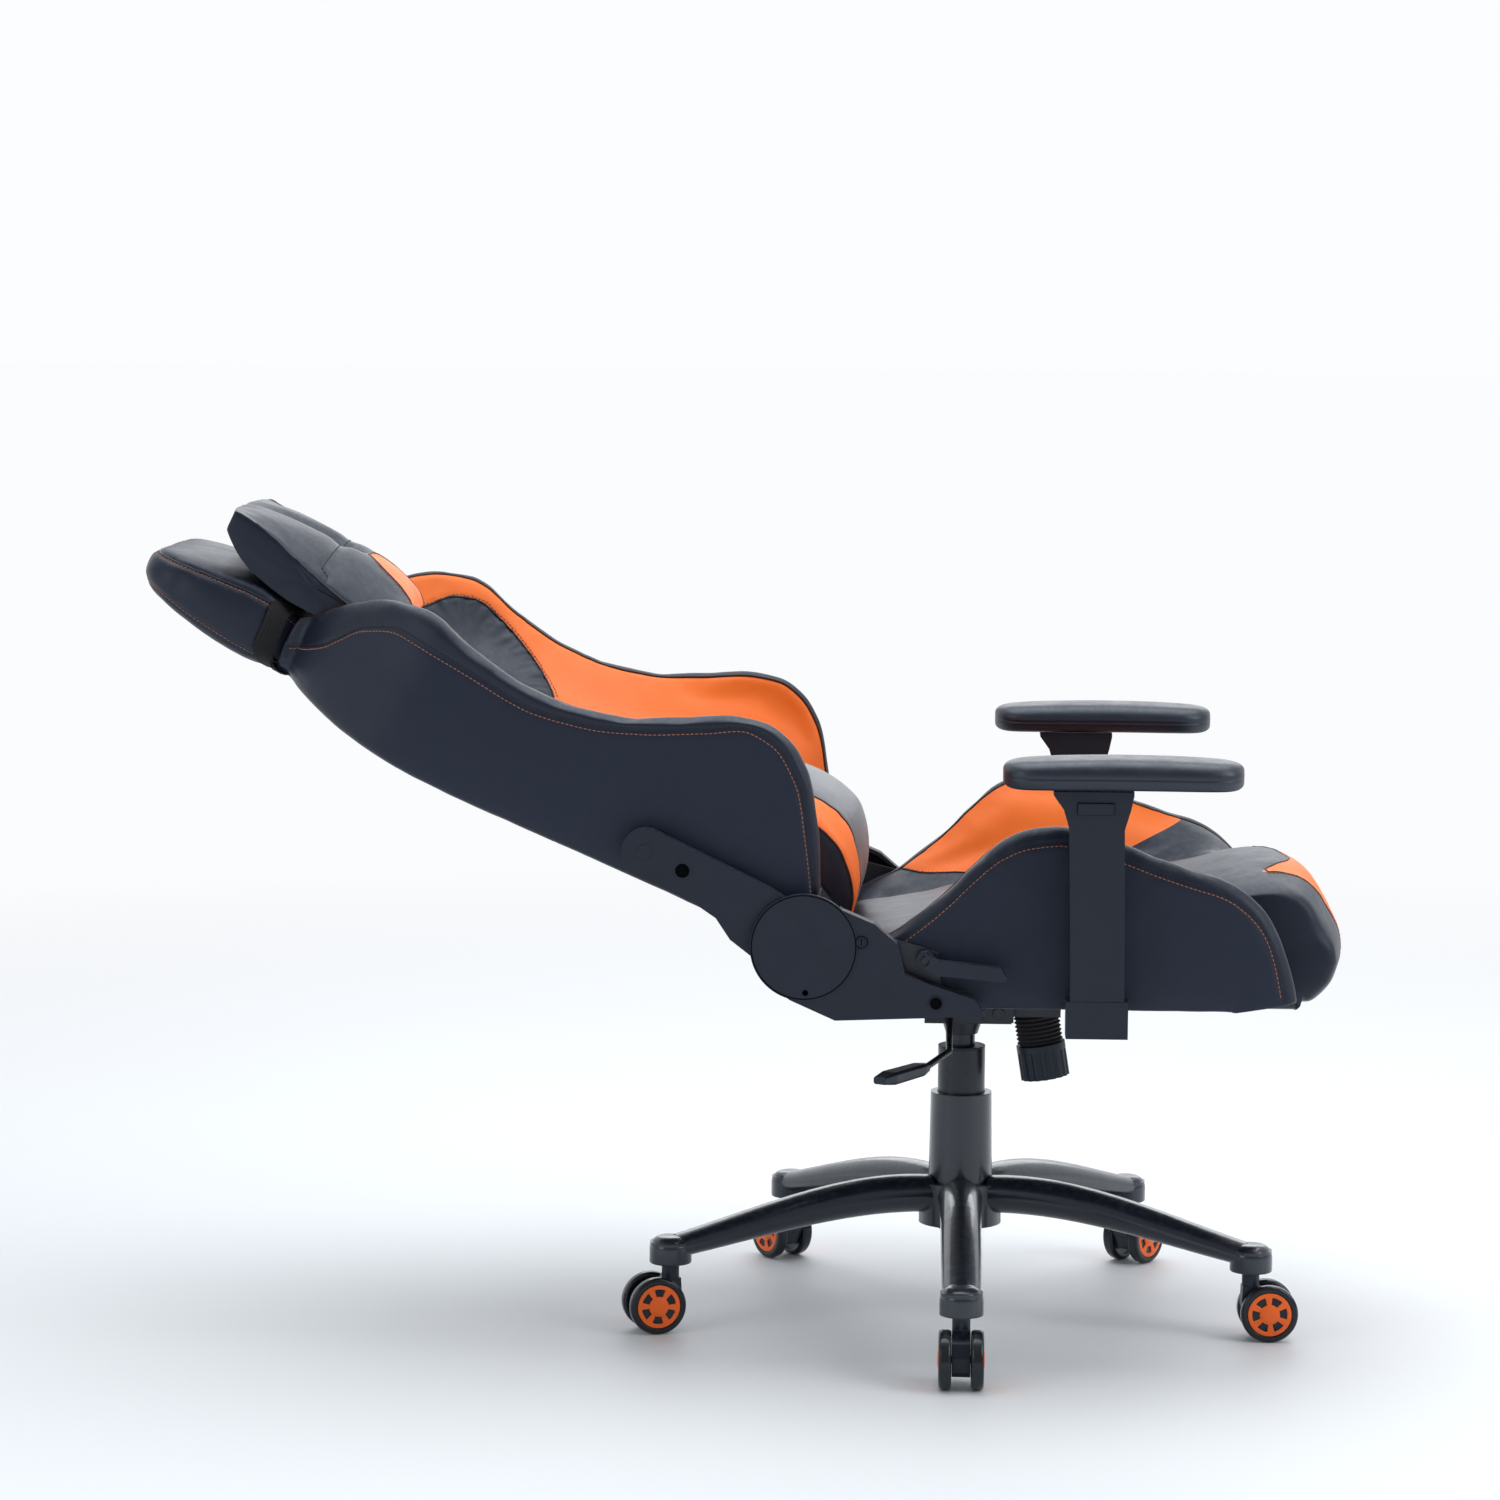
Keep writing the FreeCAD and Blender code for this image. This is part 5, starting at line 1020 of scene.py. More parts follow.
class CHAIR_OT_back_wings(bpy.types.Operator):
    """Upholsters the two wings of the back"""

    bl_idname = "chair.back_wings"
    bl_label = "Back wings"

    def execute(self, context):
        rings = []
        for up in np.linspace(WING_LOW, WING_HIGH, 88):
            ring, marks = wing_ring(up)
            rings.append([back_point(ahead, -across, up) for ahead, across in ring])
        _, corner_end, panel_end, band_end, slope_end, _ = marks
        covers = [
            (corner_end, panel_end, 0.0012),
            (panel_end, band_end, 0.0035),
            (band_end, slope_end, 0.0075),
        ]
        wing = upholstered(
            "wing_right", rings, covers, 5, 0.012, crown=0.003, mark=self.mark_zones
        )
        seams = [[ring[k] for ring in rings] for k in (panel_end, band_end, slope_end)]
        patch_levels = np.linspace(PATCH_LOW + 3, PATCH_HIGH - 3, 60)
        patch_edge = [self.on_slope(up, float(PATCH_EDGE(up))) for up in patch_levels]
        patch_edge, _ = laid_on(skin_of(wing), patch_edge)
        self.gather(wing, seams, patch_edge)
        skin = skin_of(wing)
        patch_row = [self.on_slope(up, float(PATCH_EDGE(up)) + 4) for up in patch_levels[2:-2]]
        rows, seam_row = [self.beside_seam(-4), patch_row], [self.beside_seam(1.5)]
        name = "wing_right_"
        trims = [
            (corded(name + "piping", skin, seams[1], sizes().piping, 0.0003), "piping"),
            (corded(name + "ruche_piping", skin, patch_edge, 0.0012, 0.0002), "piping"),
            (stitched(name + "stitches", skin, rows), "thread"),
            (stitched(name + "seam", skin, seam_row, radius=SEAM_THREAD), "black_thread"),
        ]
        dress_both_sides(wing, trims, ("back", "back"), "back_wing", 0.8)
        return {"FINISHED"}

    def gather(self, wing, seams, patch_edge):
        """Gathers the leather beside the patch and the seams, and draws the seams in."""
        ahead, across, up = back_places(wing).T
        on_slope = np.abs(across) < wing_width(up) - 0.5 * self.roll(up)
        patch = on_slope & (self.inside_patch(ahead, up) > -4)
        band = ahead > WING_SEAM(up)
        gathered(wing, patch_edge, 0.0030, 0.026, 0.0105, 3.0, only=patch.astype(float))
        gathered(wing, seams[1][40:], 0.0003, 0.012, 0.010, 5.0)
        gathered(wing, seams[0][44:], 0.0006, 0.012, 0.011, 9.0, only=band.astype(float))
        creased(wing, 0.0005, 0.06, 11.0)
        pressed_in(wing, patch_edge, 0.0014, 0.003)
        for line in seams:
            pressed_in(wing, line, 0.0011, 0.003)

    def roll(self, up):
        """Width of the rolled edge at a height."""
        return np.minimum(ROLL, (wing_width(up) - panel_width(up)) * ROLL_SHARE)

    def inside_patch(self, ahead, up):
        """Distance inside the gathered black patch of the inner face."""
        return np.where((up < PATCH_LOW) | (up > PATCH_HIGH), -20, PATCH_EDGE(up) - ahead)

    def mark_zones(self, wing):
        """Stores where the side panel and the inner face lie."""
        ahead, across, up = back_places(wing).T
        across = np.abs(across)
        side = np.minimum(WING_SEAM(up) - ahead, ahead - BACK_REAR(up) - 9)
        side = np.where(across > wing_width(up) - 9, side, OUTSIDE)
        mark_zone(wing, "charcoal_zone", side * MM)
        inner = np.minimum(wing_width(up) - self.roll(up) - across, ahead - 30)
        mark_zone(wing, "orange_zone", np.minimum(inner, -self.inside_patch(ahead, up)) * MM)

    def on_slope(self, up, ahead):
        """A point of the inner face at a height and a depth."""
        ring, marks = wing_ring(up)
        slope = ring[marks[3] : marks[4] + 1][::-1]
        across = np.interp(ahead, slope[:, 0], slope[:, 1])
        return back_point(ahead, -across, up)

    def beside_seam(self, shift):
        """A line along the outer seam, shifted ahead of it."""
        return [
            back_point(float(WING_SEAM(up)) + shift, -float(wing_width(up)), up)
            for up in np.linspace(12, 607, 200)
        ]


def back_places(piece):
    """A piece's points as ahead, across and up the back, in millimetres."""
    places = (corners_of(piece) - np.array(RECLINE_AXIS)) / MM
    ahead = places[:, 0] * BACK_COS + places[:, 2] * BACK_SIN
    up = -places[:, 0] * BACK_SIN + places[:, 2] * BACK_COS
    return np.stack((ahead, places[:, 1], up), axis=1)


# ---------------------------------------------------------------- seat

BOLSTER_TOP = (
    (-118, 424), (-96, 437), (-72, 449), (-48, 466), (-20, 490), (11, 521), (35, 541), (62, 553),
    (95, 557), (130, 549), (160, 539), (194, 526), (226, 515), (258, 505), (282, 491), (303, 471),
    (315, 450), (324, 426), (331, 402), (336, 380),
)
BOLSTER_OUTER, BOLSTER_INNER, BOLSTER_FOOT = 262.0, 160.8, 370.0
SEAT_TOP = curve_through(
    (-84, 428), (-40, 440), (0, 450), (80, 457), (160, 466), (239, 482), (318, 501), (402, 505)
)
SEAT_SECTION = (
    (-82, 394), (-86, 403), (-116, 410), (-126, 418), (-121, 429), (-84, 433), (-40, 441),
    (0, 450), (80, 457), (160, 466), (239, 482), (285, 497), (318, 502), (345, 496), (364, 483),
    (376, 464), (387, 444), (395, 427), (397, 411), (390, 386), (379, 364), (370, 353),
    (357, 348), (343, 350), (334, 360), (328, 380), (320, 394),
)
SEAT_HALF = 159.6


def bolster_ring(place):
    """One section of a seat bolster, fanned about its underside."""
    x_top, z_top = place
    x_foot = min(x_top, 262 + (x_top - 262) * 0.1)
    run = np.array([x_top - x_foot, z_top - BOLSTER_FOOT])
    length = float(np.linalg.norm(run))
    run /= length
    outer, inner = BOLSTER_OUTER, BOLSTER_INNER
    rise = max(z_top - BOLSTER_FOOT, 20)
    root = length * (float(SEAT_TOP(x_top)) - 14 - BOLSTER_FOOT) / rise
    root = max(length * 0.4, min(root, length - 14))
    crest = length - 2
    base = [(0.5, inner), (0.0, inner + 22), (0.0, outer - 10)]
    side = [
        (0.0, outer - 10), (4.0, outer - 2), (length * 0.4, outer), (length - 15, outer - 1.5)
    ]
    band = [
        (length - 15, outer - 1.5),
        (length - 6, outer - 4.5),
        (length - 0.5, outer - 13),
        (crest, outer - 25),
    ]
    slope = [
        (crest, outer - 25),
        (crest - (length - root) * 0.24, outer - 46),
        (root + (length - root) * 0.12, inner + 20),
        (root, inner),
    ]
    wall = [(root, inner), (0.5, inner)]
    flat, marks = section_through((base, 5), (side, 24), (band, 11), (slope, 18), (wall, 9))
    ring = [chair_point(x_foot + run[0] * d, -y, BOLSTER_FOOT + run[1] * d) for d, y in flat]
    return ring, flat, marks


class CHAIR_OT_seat_bolsters(bpy.types.Operator):
    """Upholsters the two bolsters of the seat"""

    bl_idname = "chair.seat_bolsters"
    bl_label = "Seat bolsters"

    def execute(self, context):
        last = len(BOLSTER_TOP) - 1
        crest = curved(BOLSTER_TOP, range(last + 1), np.linspace(0, last, 200))
        rings, charcoal, orange = [], [], []
        for place in resampled(crest, 7.0):
            ring, flat, marks = bolster_ring(place)
            base_end, seam, band_end, slope_end, _ = marks
            walk = walked(flat)
            column = np.arange(len(ring))
            x, z = np.array(ring)[:, 0] / MM, np.array(ring)[:, 2] / MM
            charcoal.append(np.where(column >= base_end, walk[seam] - walk, OUTSIDE))
            front = 0.45 * (190 + (z - 480) * 2.0 - x)
            inside = np.where(column <= slope_end, walk - walk[band_end], OUTSIDE)
            orange.append(np.minimum(inside, np.minimum(front, 0.8 * (z - 449))))
            rings.append(ring)
        covers = [(base_end, seam, 0.0012), (seam, band_end, 0.003), (band_end, slope_end, 0.007)]
        zones = {"charcoal_zone": charcoal, "orange_zone": orange}
        bolster = upholstered("seat_bolster_right_skin", rings, covers, 5, 0.012, zones=zones)
        side_seam, crest_seam, foot_seam = (
            [ring[k] for ring in rings] for k in (seam, band_end, slope_end)
        )
        creased(bolster, 0.0005, 0.06, 21.0)
        gathered(bolster, side_seam[18:34], 0.0009, 0.012, 0.010, 4.0)
        gathered(bolster, crest_seam[10:60], 0.0004, 0.012, 0.012, 6.0)
        split = split_line(rings, orange, range(band_end + 1, slope_end))
        for line in (side_seam, crest_seam, foot_seam, split):
            pressed_in(bolster, line[::2], 0.001, 0.003)
        skin = skin_of(bolster)
        rows = [beside(rings[2:-2], seam, seam - 1, 0.5), shifted(split, x=0.0042, z=-0.001)]
        name = "seat_bolster_right_"
        trims = [
            (corded(name + "piping", skin, crest_seam[1:-1], 0.0013, 0.0002), "piping"),
            (corded(name + "split_piping", skin, split, 0.0009), "piping"),
            (stitched(name + "stitches", skin, rows), "thread"),
            (stitched(name + "seam", skin, [side_seam[2:-2]], radius=SEAM_THREAD), "black_thread"),
        ]
        dress_both_sides(bolster, trims, ("seat", "seat"), "seat_bolster", 0.85)
        return {"FINISHED"}


class CHAIR_OT_seat_cushion(bpy.types.Operator):
    """Upholsters the middle of the seat with its rolled front"""

    bl_idname = "chair.seat_cushion"
    bl_label = "Seat cushion"

    def execute(self, context):
        last = len(SEAT_SECTION) - 1
        section = curved(SEAT_SECTION, range(last + 1), np.linspace(0, last, 400))
        section = resampled(np.vstack((section, section[:1])), 7.5)[:-1]
        x, z = section.T
        outward = np.roll(section, -1, 0) - np.roll(section, 1, 0)
        outward = np.stack((-outward[:, 1], outward[:, 0]), 1)
        outward /= np.linalg.norm(outward, axis=1)[:, None]
        walk = walked(section)
        rear_top, lip = 7, int(np.argmin(z))

        def walk_at(*place):
            return walk[int(np.argmin(np.hypot(x - place[0], z - place[1])))]

        crest, corner = walk_at(300, 499), walk_at(310, 501)
        dip, tip = walk_at(345, 495), walk_at(394, 428)
        half_insert = curve_through(
            (corner, 104), (dip, 91), (tip, 60), (walk[lip], 56), (walk[lip] + 30, 78)
        )(walk)
        on_insert = (walk > corner - 8) & (walk < walk[lip] + 24)
        rim = np.array([0, 1.2, 4, 8, 13])
        places = np.concatenate(
            (rim - SEAT_HALF, np.linspace(-140, 140, 41), SEAT_HALF - rim[::-1])
        )
        top_edges = [dip - (dip - corner) * min(1.0, abs(y) / 98) ** 1.7 for y in places]
        rings, orange = [], []
        for y, top_edge in zip(places, top_edges):
            edge = SEAT_HALF - abs(y)
            inset = 11 - math.sqrt(max(0, 121 - max(0, 11 - edge) ** 2))
            rounder = np.clip((walk - crest) / 60, 0.25, 1)
            moved = section - outward * (3.0 + inset * rounder)[:, None]
            side = (y / SEAT_HALF) ** 2
            forward = np.clip((x - 190) / 120, 0, 1) * np.clip((z - 430) / 30, 0, 1)
            moved[:, 1] -= side * (6 + 14 * forward) * (z > 410)
            moved[:, 0] -= side * 13 * np.clip((x - 345) / 40, 0, 1)
            moved[:, 1] += side * 17 * np.clip((385 - z) / 30, 0, 1) * (x > 340)
            rings.append([chair_point(px, y, pz) for px, pz in moved])
            field = np.minimum(half_insert - abs(y), walk - top_edge)
            orange.append(np.where(on_insert, field, OUTSIDE))
        cushion = upholstered(
            "seat_cushion_skin", rings, [(rear_top, lip + 2, 0.006)], 4, 0.015,
            zones={"orange_zone": orange},
        )
        creased(cushion, 0.0008, 0.07, 31.0)
        columns = [k for k in range(len(walk)) if corner + 4 < walk[k] < walk[lip] + 16]
        edges = []
        for side in (-1, 1):
            half = [i for i, y in enumerate(places) if y * side >= 0]
            half.sort(key=lambda i: -abs(places[i]))
            edges.append(split_line([rings[i] for i in half], [orange[i] for i in half], columns))
        across = []
        for y, top_edge, ring in zip(places, top_edges, rings):
            if abs(y) < 96:
                across.append([np.interp(top_edge, walk, axis) for axis in np.array(ring).T])
        outline = edges[0][::-1] + [np.array(point) for point in across] + edges[1]
        for line in (*edges, across):
            gathered(cushion, line, 0.0006, 0.010, 0.012, 8.0)
            pressed_in(cushion, line, 0.0012, 0.003)
        skin = skin_of(cushion)
        rows = [shifted(line, y=0.004 * side) for side, line in zip((-1, 1), edges)]
        trims = [
            (corded("seat_insert_piping", skin, outline, 0.0011), "piping"),
            (stitched("seat_insert_stitches", skin, rows), "thread"),
        ]
        dress(cushion, trims, "seat", ["seat_cushion"], 0.8)
        return {"FINISHED"}


# ---------------------------------------------------------------- back and headrest

# Half width of the headrest, and how far ahead its rear and front lie, by height.
HEAD_WIDTH = curve_through(
    (598, 110), (612, 116), (626, 125), (644, 134), (678, 137), (717, 136), (748, 132),
    (767, 122), (779, 107), (785, 84),
)
HEAD_REAR = curve_through(
    (598, -11), (637, -14), (650, -13.5), (678, -11), (717, -5), (750, 2), (785, 9)
)
HEAD_FRONT = curve_through(
    (598, 42), (618, 50), (644, 59), (664, 60), (701, 57), (735, 53), (765, 49), (785, 46)
)
HEAD_MIDDLE, HEAD_SPREAD = np.array((692.0, 0.0)), np.array((94.0, 137.0))


def both_halves(half):
    """A whole section from its right half, which starts and ends on the middle line."""
    half = np.asarray(half, float)
    mirror = half[-2:0:-1] * np.array((1, -1))
    return np.vstack((half, mirror))


class CHAIR_OT_back_panel(bpy.types.Operator):
    """Upholsters the middle of the back, front and rear"""

    bl_idname = "chair.back_panel"
    bl_label = "Back panel"

    def execute(self, context):
        rings = []
        face = PANEL_FACE - 0.5
        for up in np.linspace(15, 604, 84):
            rear, wide = float(BACK_REAR(up)), float(panel_width(up)) - 0.5
            rear -= float(np.interp(up, (70, 130, 420, 470), (0, 4, 4, 0)))
            half, marks = section_through(
                ([(rear - 2.5, 0), (rear - 1, wide * 0.6), (rear, wide - 3)], 13),
                ([(rear, wide - 3), (rear + 2.5, wide)], 3),
                ([(rear + 2.5, wide), (PANEL_FACE - 6, wide)], 7),
                ([(PANEL_FACE - 6, wide), (PANEL_FACE - 2, wide - 5), (face, wide * 0.5)], 9),
                ([(face, wide * 0.5), (face, 0)], 10),
                closed=False,
            )
            rings.append([back_point(b, -y, up) for b, y in both_halves(half)])
        rear_seam, _, face_start, channel, _ = marks
        count = len(rings[0])
        covers = [
            (-1, rear_seam, 0.0015),
            (count - rear_seam, count, 0.0015),
            (face_start, channel, 0.005),
            (channel, count - channel, 0.005),
            (count - channel, count - face_start, 0.005),
        ]
        panel = upholstered("back_panel_skin", rings, covers, 4, 0.02)
        for line in ([ring[k] for ring in rings] for k in (channel, count - channel)):
            gathered(panel, line, 0.0008, 0.012, 0.012, 17.0)
            pressed_in(panel, line, 0.0016, 0.004)
        rims = [[ring[k] for ring in rings] for k in (rear_seam - 1, count - rear_seam + 1)]
        for line in rims:
            pressed_in(panel, line, 0.0008, 0.003)
        creased(panel, 0.0008, 0.07, 41.0)
        skin = skin_of(panel)
        sewn = [
            beside(rings[1:-1], channel, channel - 1, 0.4),
            beside(rings[1:-1], count - channel, count - channel + 1, 0.4),
        ]
        sewn += [line[1:-1] for line in rims]
        trims = [(stitched("back_panel_stitches", skin, sewn), "thread")]
        dress(panel, trims, "back", ["back_cushion"], 0.8)
        return {"FINISHED"}


class CHAIR_OT_headrest(bpy.types.Operator):
    """Upholsters the headrest: a rear, a side band carried round the top, and a crowned face"""

    bl_idname = "chair.headrest"
    bl_label = "Headrest"

    def execute(self, context):
        side = [(up, float(HEAD_WIDTH(up))) for up in np.linspace(606, 784, 40)]
        half = [(598, 0), (598, 98), (600.5, 108)] + side + [(785, 60), (785, 0)]
        outline = both_halves(resampled(half, 6.0))
        rear_steps = [(-90, scale) for scale in (0.3, 0.5, 0.7, 0.86)]
        edge_steps = [(turn, 1.0) for turn in range(-90, 91, 10)]
        face_steps = [(90, scale) for scale in (0.93, 0.82, 0.7, 0.56, 0.42, 0.3)]
        rings = []
        for turn, scale in rear_steps + edge_steps + face_steps:
            turn = math.radians(turn)
            drawn = 20 * (1 - max(0.0, math.cos(turn)) ** 0.8)
            share = 0.5 + 0.5 * math.sin(turn)
            crown = 5 * (1 - scale**2) if turn > 0 else 0
            spread = (outline - HEAD_MIDDLE) * (1 - drawn / HEAD_SPREAD) * scale
            ring = []
            for up, across in HEAD_MIDDLE + spread:
                rear, front = float(HEAD_REAR(up)), float(HEAD_FRONT(up))
                ring.append(back_point(rear + (front - rear) * share + crown, -across, up))
            rings.append(ring)
        rear_seam, face_seam = 8, 18
        head = lofted("headrest_skin", rings, 0.001)
        count = len(outline)
        index = np.arange(len(head.data.vertices))
        row, foot = index // count - CAP_ROWS, outline[index % count, 0] < 603
        seams = (row == rear_seam) | (row == face_seam) | (foot & (row > 3) & (row < 24))
        reach = np.where(row > face_seam, 0.006, 0.0025)
        stuffed(head, np.where(seams, 1.0, 0.0), reach, 4, 0.012)
        subdivided(head)
        shown = [k for k in range(count) if outline[k][0] > 609]
        face_line, rear_line = ([rings[k][j] for j in shown] for k in (face_seam, rear_seam))
        gathered(head, face_line, 0.0005, 0.010, 0.014, 51.0)
        creased(head, 0.0007, 0.07, 52.0)
        pressed_in(head, face_line, 0.0015, 0.0035)
        pressed_in(head, rear_line, 0.0010, 0.003)
        skin = skin_of(head)
        behind = [
            np.array(rings[face_seam][j]) * 0.5 + np.array(rings[face_seam - 1][j]) * 0.5
            for j in shown
        ]
        trims = [
            (corded("headrest_welt", skin, face_line, 0.0013, 0.0002), "black_piping"),
            (stitched("headrest_stitches", skin, [behind, rear_line]), "thread"),
        ]
        dress(head, trims, "back", ["headrest"], 0.85)
        return {"FINISHED"}


# ---------------------------------------------------------------- pillows

# How far ahead the head pillow's ends, its front and its back lie, by height.
PILLOW_END = curve_through(
    (512, 84), (530, 82), (548, 81), (573, 85), (603, 92), (644, 104), (686, 116), (715, 120),
    (727, 117),
)
PILLOW_FRONT = curve_through(
    (512, 98), (522, 110), (540, 118), (560, 123), (600, 127), (645, 127), (684, 125),
    (712, 123), (727, 117),
)
PILLOW_BACK = curve_through(
    (512, 92), (520, 82), (535, 72), (560, 64), (590, 59), (625, 60), (650, 64), (672, 69),
    (692, 77), (713, 92), (727, 106),
)
PATCH_HALF = curve_through((512, 55), (530, 50), (560, 40), (580, 24), (592, 2), (596, -6))
PILLOW_HALF, PILLOW_FOOT, PILLOW_HEIGHT = 124.0, 513.5, 213
TUFT = 618
PILLOW_COLUMNS = 43


def bell(away, width):
    """1 in the middle, falling off over a width."""
    return math.exp(-((away / width) ** 2))


class CHAIR_OT_head_pillow(bpy.types.Operator):
    """Makes the head pillow, with its tuft, seams and coloured patch"""

    bl_idname = "chair.head_pillow"
    bl_label = "Head pillow"

    def execute(self, context):
        levels = PILLOW_FOOT + PILLOW_HEIGHT * (1 - np.cos(np.linspace(0, math.pi, 34))) / 2
        turns = np.linspace(-math.pi / 2, math.pi / 2, PILLOW_COLUMNS)
        rings, orange = [], []
        for y in np.sin(turns) * PILLOW_HALF:
            share = abs(y) / PILLOW_HALF
            low = 6 * share**3
            squeeze = [
                PILLOW_FOOT + low + (up - PILLOW_FOOT) * (PILLOW_HEIGHT - 2 * low) / PILLOW_HEIGHT
                for up in levels
            ]
            ring, field = [], []
            for up in squeeze:
                ring.append(back_point(self.front(up, y, share), y, up))
                field.append(float(PATCH_HALF(up)) - abs(y) if up < 600 else OUTSIDE)
            for up in squeeze[-2:0:-1]:
                behind = min(float(PILLOW_BACK(up)), float(PILLOW_END(up)) - 6)
                ring.append(back_point(behind, y, up))
                field.append(OUTSIDE)
            rings.append(ring)
            orange.append(field)
        top = len(levels) - 1
        covers = [(0, top, 0.006), (top, 999, 0.002)]
        pillow = upholstered(
            "head_pillow_skin", rings, covers, 3, 0.02, crown=0.004, cap_reach=0.004,
            zones={"orange_zone": orange},
        )
        middle = PILLOW_COLUMNS // 2
        lateral = []
        for i, ring in enumerate(rings):
            seam = TUFT - 12 * abs(i - middle) / middle
            lateral.append(ring[int(np.argmin([abs(up - seam) for up in levels]))])
        ends = [rings[0][: top + 1], rings[-1][: top + 1]]
        patch = [
            split_line(rings[: middle + 1], orange[: middle + 1], range(1, top)),
            split_line(rings[middle:], orange[middle:], range(1, top)),
        ]
        creased(pillow, 0.0007, 0.06, 61.0)
        for line in ends:
            gathered(pillow, line, 0.0006, 0.012, 0.013, 62.0)
            pressed_in(pillow, line, 0.0014, 0.0035)
        tuft = Vector(back_point(100, 0, TUFT))
        self.crease_round(pillow, tuft)
        pressed_in(pillow, lateral, 0.0016, 0.003)
        for line in patch:
            pressed_in(pillow, line, 0.001, 0.003)
        skin = skin_of(pillow)
        beside_patch = [shifted(line, y=0.004 * side) for side, line in zip((-1, 1), patch)]
        name = "head_pillow_"
        outline = patch[0] + patch[1][::-1]
        button = piped(name + "tuft", self.tuft_line(skin, tuft), 0.0012)
        trims = [
            (corded(name + "welt_right", skin, ends[0], 0.0014, 0.0003), "black_piping"),
            (corded(name + "welt_left", skin, ends[1], 0.0014, 0.0003), "black_piping"),
            (corded(name + "patch_piping", skin, outline, 0.0011), "piping"),
            (stitched(name + "stitches", skin, beside_patch), "thread"),
            (stitched(name + "seam", skin, [lateral], radius=0.00055), "black_thread"),
            (button, "black_thread"),
        ]
        dress(pillow, trims, "back", ["head_pillow"], 0.7)
        return {"FINISHED"}

    def front(self, up, y, share):
        """How far ahead the pillow's front lies, drawn in at the tuft, the seam and the valley."""
        end, full = float(PILLOW_END(up)), float(PILLOW_FRONT(up))
        ahead = end + (full - end) * (1 - share**2.6)
        ahead -= 17 * math.exp(-((y / 20) ** 2) - ((up - TUFT) / 24) ** 2)
        ahead -= 5.0 * bell(up - (TUFT - 12 * share), 6) * (1 - share**3)
        if up > 612:
            ahead -= 12 * bell(y, 20) * min(1, (up - 612) / 26) * min(1, (730 - up) / 48)
        return ahead

    def crease_round(self, pillow, tuft):
        """Pulls small creases in the skin round the tuft."""
        places, normals = corners_of(pillow), normals_of(pillow)
        ahead, across, up = back_places(pillow).T
        angle = np.arctan2(up - TUFT, across)
        far = np.linalg.norm(places - np.array(tuft), axis=1)
        rays = np.cos(angle * 7 + 0.6 * np.sin(angle * 3)) + 0.6 * np.cos(angle * 12 + 1.1)
        pull = 0.0011 * rays * np.exp(-((far - 0.022) / 0.02) ** 2) * (ahead > 85)
        set_corners(pillow, places + normals * pull[:, None])

    def tuft_line(self, skin, tuft):
        """A few turns of strong thread that hold the tuft down."""
        line = []
        for i in range(40):
            angle = i * 0.9
            reach = 0.0018 + 0.0009 * math.sin(i * 1.7)
            line.append(tuft + Vector((0.0, reach * math.cos(angle), reach * math.sin(angle))))
        return laid_on(skin, line, 0.001)[0]


# The lumbar pillow's outline on its middle and at its ends, by the share of the way up its front.
LUMBAR_FRONT = curve_through(
    (0, 29), (0.08, 58), (0.2, 98), (0.34, 124), (0.5, 131.5), (0.66, 127), (0.8, 110),
    (0.92, 80), (1, 62),
)
LUMBAR_LEVEL = curve_through(
    (0, -39), (0.08, -37), (0.2, -17), (0.34, 10), (0.5, 52), (0.66, 92), (0.8, 128),
    (0.92, 150), (1, 157),
)
LUMBAR_SIDE = curve_through(
    (0, 28), (0.08, 50), (0.2, 74), (0.34, 92), (0.5, 100), (0.66, 98), (0.8, 86), (0.92, 68),
    (1, 56),
)
LUMBAR_SIDE_LEVEL = curve_through(
    (0, -36), (0.08, -29), (0.2, -10), (0.34, 14), (0.5, 50), (0.66, 86), (0.8, 118),
    (0.92, 138), (1, 148),
)
LUMBAR_HALF, STRIPE_HALF, LUMBAR_BACK = 148.0, 100, 50.3


